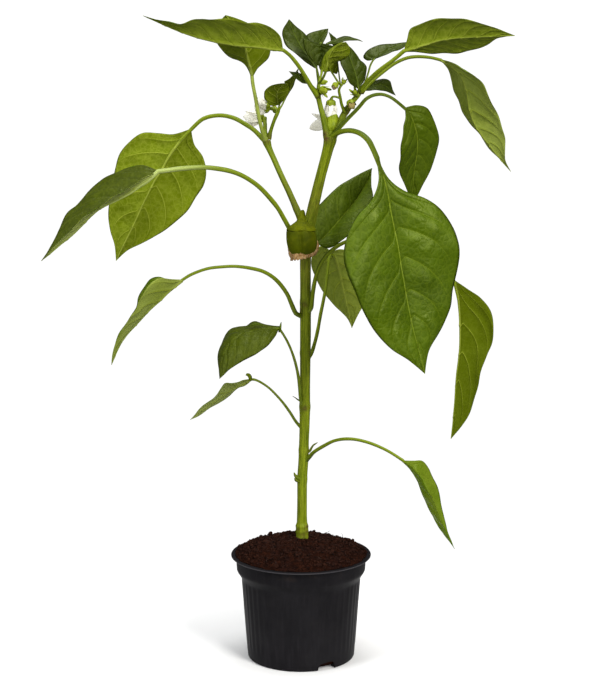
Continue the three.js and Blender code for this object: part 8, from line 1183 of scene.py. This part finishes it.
sh = Shape()
nr, na = 118, 340
rr = np.linspace(0, 1, nr) ** 0.85 * 56.6
aa = np.linspace(0, 2 * PI, na, endpoint=False)
R, A = np.meshgrid(rr, aa, indexing="ij")
wob = 1 + (0.006 * np.sin(23 * A) + 0.006 * np.sin(9 * A + 1) + 0.004 * np.sin(41 * A)) * step01(50, 56, R)
X, Y = R * np.cos(A) * wob, R * np.sin(A) * wob
Z = soil_height(X, Y)
top = np.stack([X, Y, Z], -1)
side = [(56.0, 90.5), (54.9, 90.1), (54.2, 88.6), (53.2, 84.0), (52.0, 77.8), (48.0, 70.4), (47.9, 68), (43.9, 8), (42.6, 3.4), (41.2, 2.5), (0, 2.5)]
low = [np.stack([r * np.cos(aa), r * np.sin(aa), z + 0 * aa], -1) for r, z in side]
sh.grid(np.concatenate([top, np.array(low)], 0), 0, wrap=True)
# loose crumbs, each its own rounded lump
rs = np.random.default_rng(11)
ico_v, ico_f = [], []
bmi = bmesh.new()
bmesh.ops.create_icosphere(bmi, subdivisions=2, radius=1.0)
bmi.verts.ensure_lookup_table()
ico_v = np.array([v.co[:] for v in bmi.verts])
ico_f = [tuple(v.index for v in f.verts) for f in bmi.faces]
bmi.free()
bmi = bmesh.new()
bmesh.ops.create_icosphere(bmi, subdivisions=1, radius=1.0)
ico1_v = np.array([v.co[:] for v in bmi.verts])
ico1_f = [tuple(v.index for v in f.verts) for f in bmi.faces]
bmi.free()
crumbs = 3000
for i in range(crumbs):
    r = 56.3 * math.sqrt(rs.uniform(0, 1))
    a = rs.uniform(0, 2 * PI)
    x, y = r * math.cos(a), r * math.sin(a)
    size = float(np.clip(rs.lognormal(-0.35, 0.45), 0.35, 2.4))
    if r > 54.5:
        size = min(size, 0.85)
    if math.hypot(x - 1.1, y - 12.0) < 6.4 + size:
        continue
    v, f = (ico_v, ico_f) if size > 1.05 else (ico1_v, ico1_f)
    sc = size * np.array([rs.uniform(0.8, 1.3), rs.uniform(0.7, 1.1), rs.uniform(0.55, 0.9)])
    q = v * (1 + 0.26 * vnoise(v * 1.4 + i, i)[:, None]) * sc
    t = rs.uniform(0, 2 * PI)
    c, s_ = math.cos(t), math.sin(t)
    q = np.stack([q[:, 0] * c - q[:, 1] * s_, q[:, 0] * s_ + q[:, 1] * c, q[:, 2]], -1)
    z = float(soil_height(np.array([x]), np.array([y]))[0])
    sh.add(q + np.array([x, y, z + 0.22 * size]), f, 1, pa=(rs.uniform(0, 1), 0, 0))
# root hairs and fibres
for i in range(46):
    r = 50 * math.sqrt(rs.uniform(0, 1))
    a = rs.uniform(0, 2 * PI)
    x, y = r * math.cos(a), r * math.sin(a)
    if math.hypot(x - 1.1, y - 12.0) < 8:
        continue
    d = rs.uniform(0, 2 * PI)
    ln = rs.uniform(3, 9)
    k = 5
    px = x + ln * np.linspace(0, 1, k) * math.cos(d) + rs.uniform(-1, 1, k) * 0.9
    py = y + ln * np.linspace(0, 1, k) * math.sin(d) + rs.uniform(-1, 1, k) * 0.9
    ok = np.hypot(px, py) < 55
    if not ok.all():
        continue
    pz = soil_height(px, py) + np.array([0.0, 0.7, 0.9, 0.6, 0.1]) + rs.uniform(0, 0.5, k)
    p = fine(np.stack([px, py, pz], -1), 14)
    tube(sh, p, 0.16 * np.linspace(1, 0.5, 14), 6, 2)
for rows in FIBRES:
    p = fine(rows, 18)
    tube(sh, p, p[:, 3], 6, 2)
sh.build("potting_soil_bed", [SOIL, CRUMB, FIBRE], ["soil"], merge=0)


# ---------------------------------------------------------------- floor, light and camera
def floor_material():
    g = Graph("studio_floor")
    n1 = g.noise(3.0, 3.0)
    base = g.mix(n1, lin(244, 244, 243), lin(248, 248, 248))
    n = g.bump(g.noise(400.0, 2.0), 0.05, 0.3)
    m = g.surface(base, g.span(n1, 0.3, 0.7, 0.75, 0.85), n, Specular_IOR_Level=0.2)
    src = g.out.inputs["Surface"].links[0].from_socket
    far = g.node("VectorMath")
    far.operation = "LENGTH"
    g.put(far.inputs[0], g.co())
    x = g.node("MixShader")
    g.put(x.inputs[0], g.span(far.outputs["Value"], 0.10, 0.34))
    g.put(x.inputs[1], src)
    g.put(x.inputs[2], g.node("BsdfTransparent").outputs[0])
    g.t.links.new(x.outputs[0], g.out.inputs["Surface"])
    return m


n = 96
a = np.linspace(0, 2 * PI, n, endpoint=False)
rad = [0.0, 150, 400, 700, 1000, 1300]
me = bpy.data.meshes.new("floor")
vs = [(0, 0, -0.0002)]
fs = []
for k, r in enumerate(rad[1:]):
    vs += [(r * MM * math.cos(t), r * MM * math.sin(t), -0.0002) for t in a]
    b = 1 + k * n
    for j in range(n):
        j2 = (j + 1) % n
        fs.append((0, b + j, b + j2) if k == 0 else (b - n + j, b + j, b + j2, b - n + j2))
me.from_pydata(vs, [], fs)
me.materials.append(floor_material())
floor = bpy.data.objects.new("floor", me)
bpy.context.scene.collection.objects.link(floor)


def soft_box(name, loc, target, size, power, color=(1, 1, 1), size_y=None):
    d = bpy.data.lights.new(name, "AREA")
    d.energy = power
    d.color = color
    d.shape = "RECTANGLE"
    d.size = size
    d.size_y = size_y or size
    o = bpy.data.objects.new(name, d)
    o.location = loc
    o.rotation_euler = (Vector(target) - Vector(loc)).to_track_quat("-Z", "Y").to_euler()
    bpy.context.scene.collection.objects.link(o)
    return o


soft_box("key_right", (1.05, -1.45, 1.30), (0, 0, 0.33), 0.7, 46.0, (1.0, 0.985, 0.96), 1.1)
soft_box("fill_left", (-1.35, -0.9, 1.25), (0, 0, 0.33), 0.8, 22.0, (0.97, 0.985, 1.0), 1.2)
soft_box("top", (0.1, 0.15, 1.7), (0, 0, 0.3), 0.9, 22.0)
soft_box("front", (-0.15, -1.85, 0.62), (0, 0, 0.3), 0.9, 7.0)

world = bpy.data.worlds.new("studio")
bpy.context.scene.world = world
world.use_nodes = True
wt = world.node_tree
wt.nodes.clear()
wo = wt.nodes.new("ShaderNodeOutputWorld")
bg = wt.nodes.new("ShaderNodeBackground")
lp = wt.nodes.new("ShaderNodeLightPath")
mr = wt.nodes.new("ShaderNodeMapRange")
mr.inputs["To Min"].default_value = 0.15
mr.inputs["To Max"].default_value = 1.05
wt.links.new(lp.outputs["Is Camera Ray"], mr.inputs["Value"])
bg.inputs["Color"].default_value = (1, 1, 1, 1)
wt.links.new(mr.outputs[0], bg.inputs["Strength"])
wt.links.new(bg.outputs[0], wo.inputs["Surface"])

cam = bpy.data.cameras.new("photo_view")
cam.sensor_width = 36.0
cam.lens = 95.18
cam.clip_end = 200
camera = bpy.data.objects.new("photo_view", cam)
camera.location = (-0.00086, -1.5, 0.529)
camera.rotation_euler = (math.radians(80.39), 0, 0)
bpy.context.scene.collection.objects.link(camera)
bpy.context.scene.camera = camera
bpy.context.scene.view_settings.view_transform = "Standard"
bpy.context.scene.view_settings.look = "None"

bpy.context.view_layer.update()
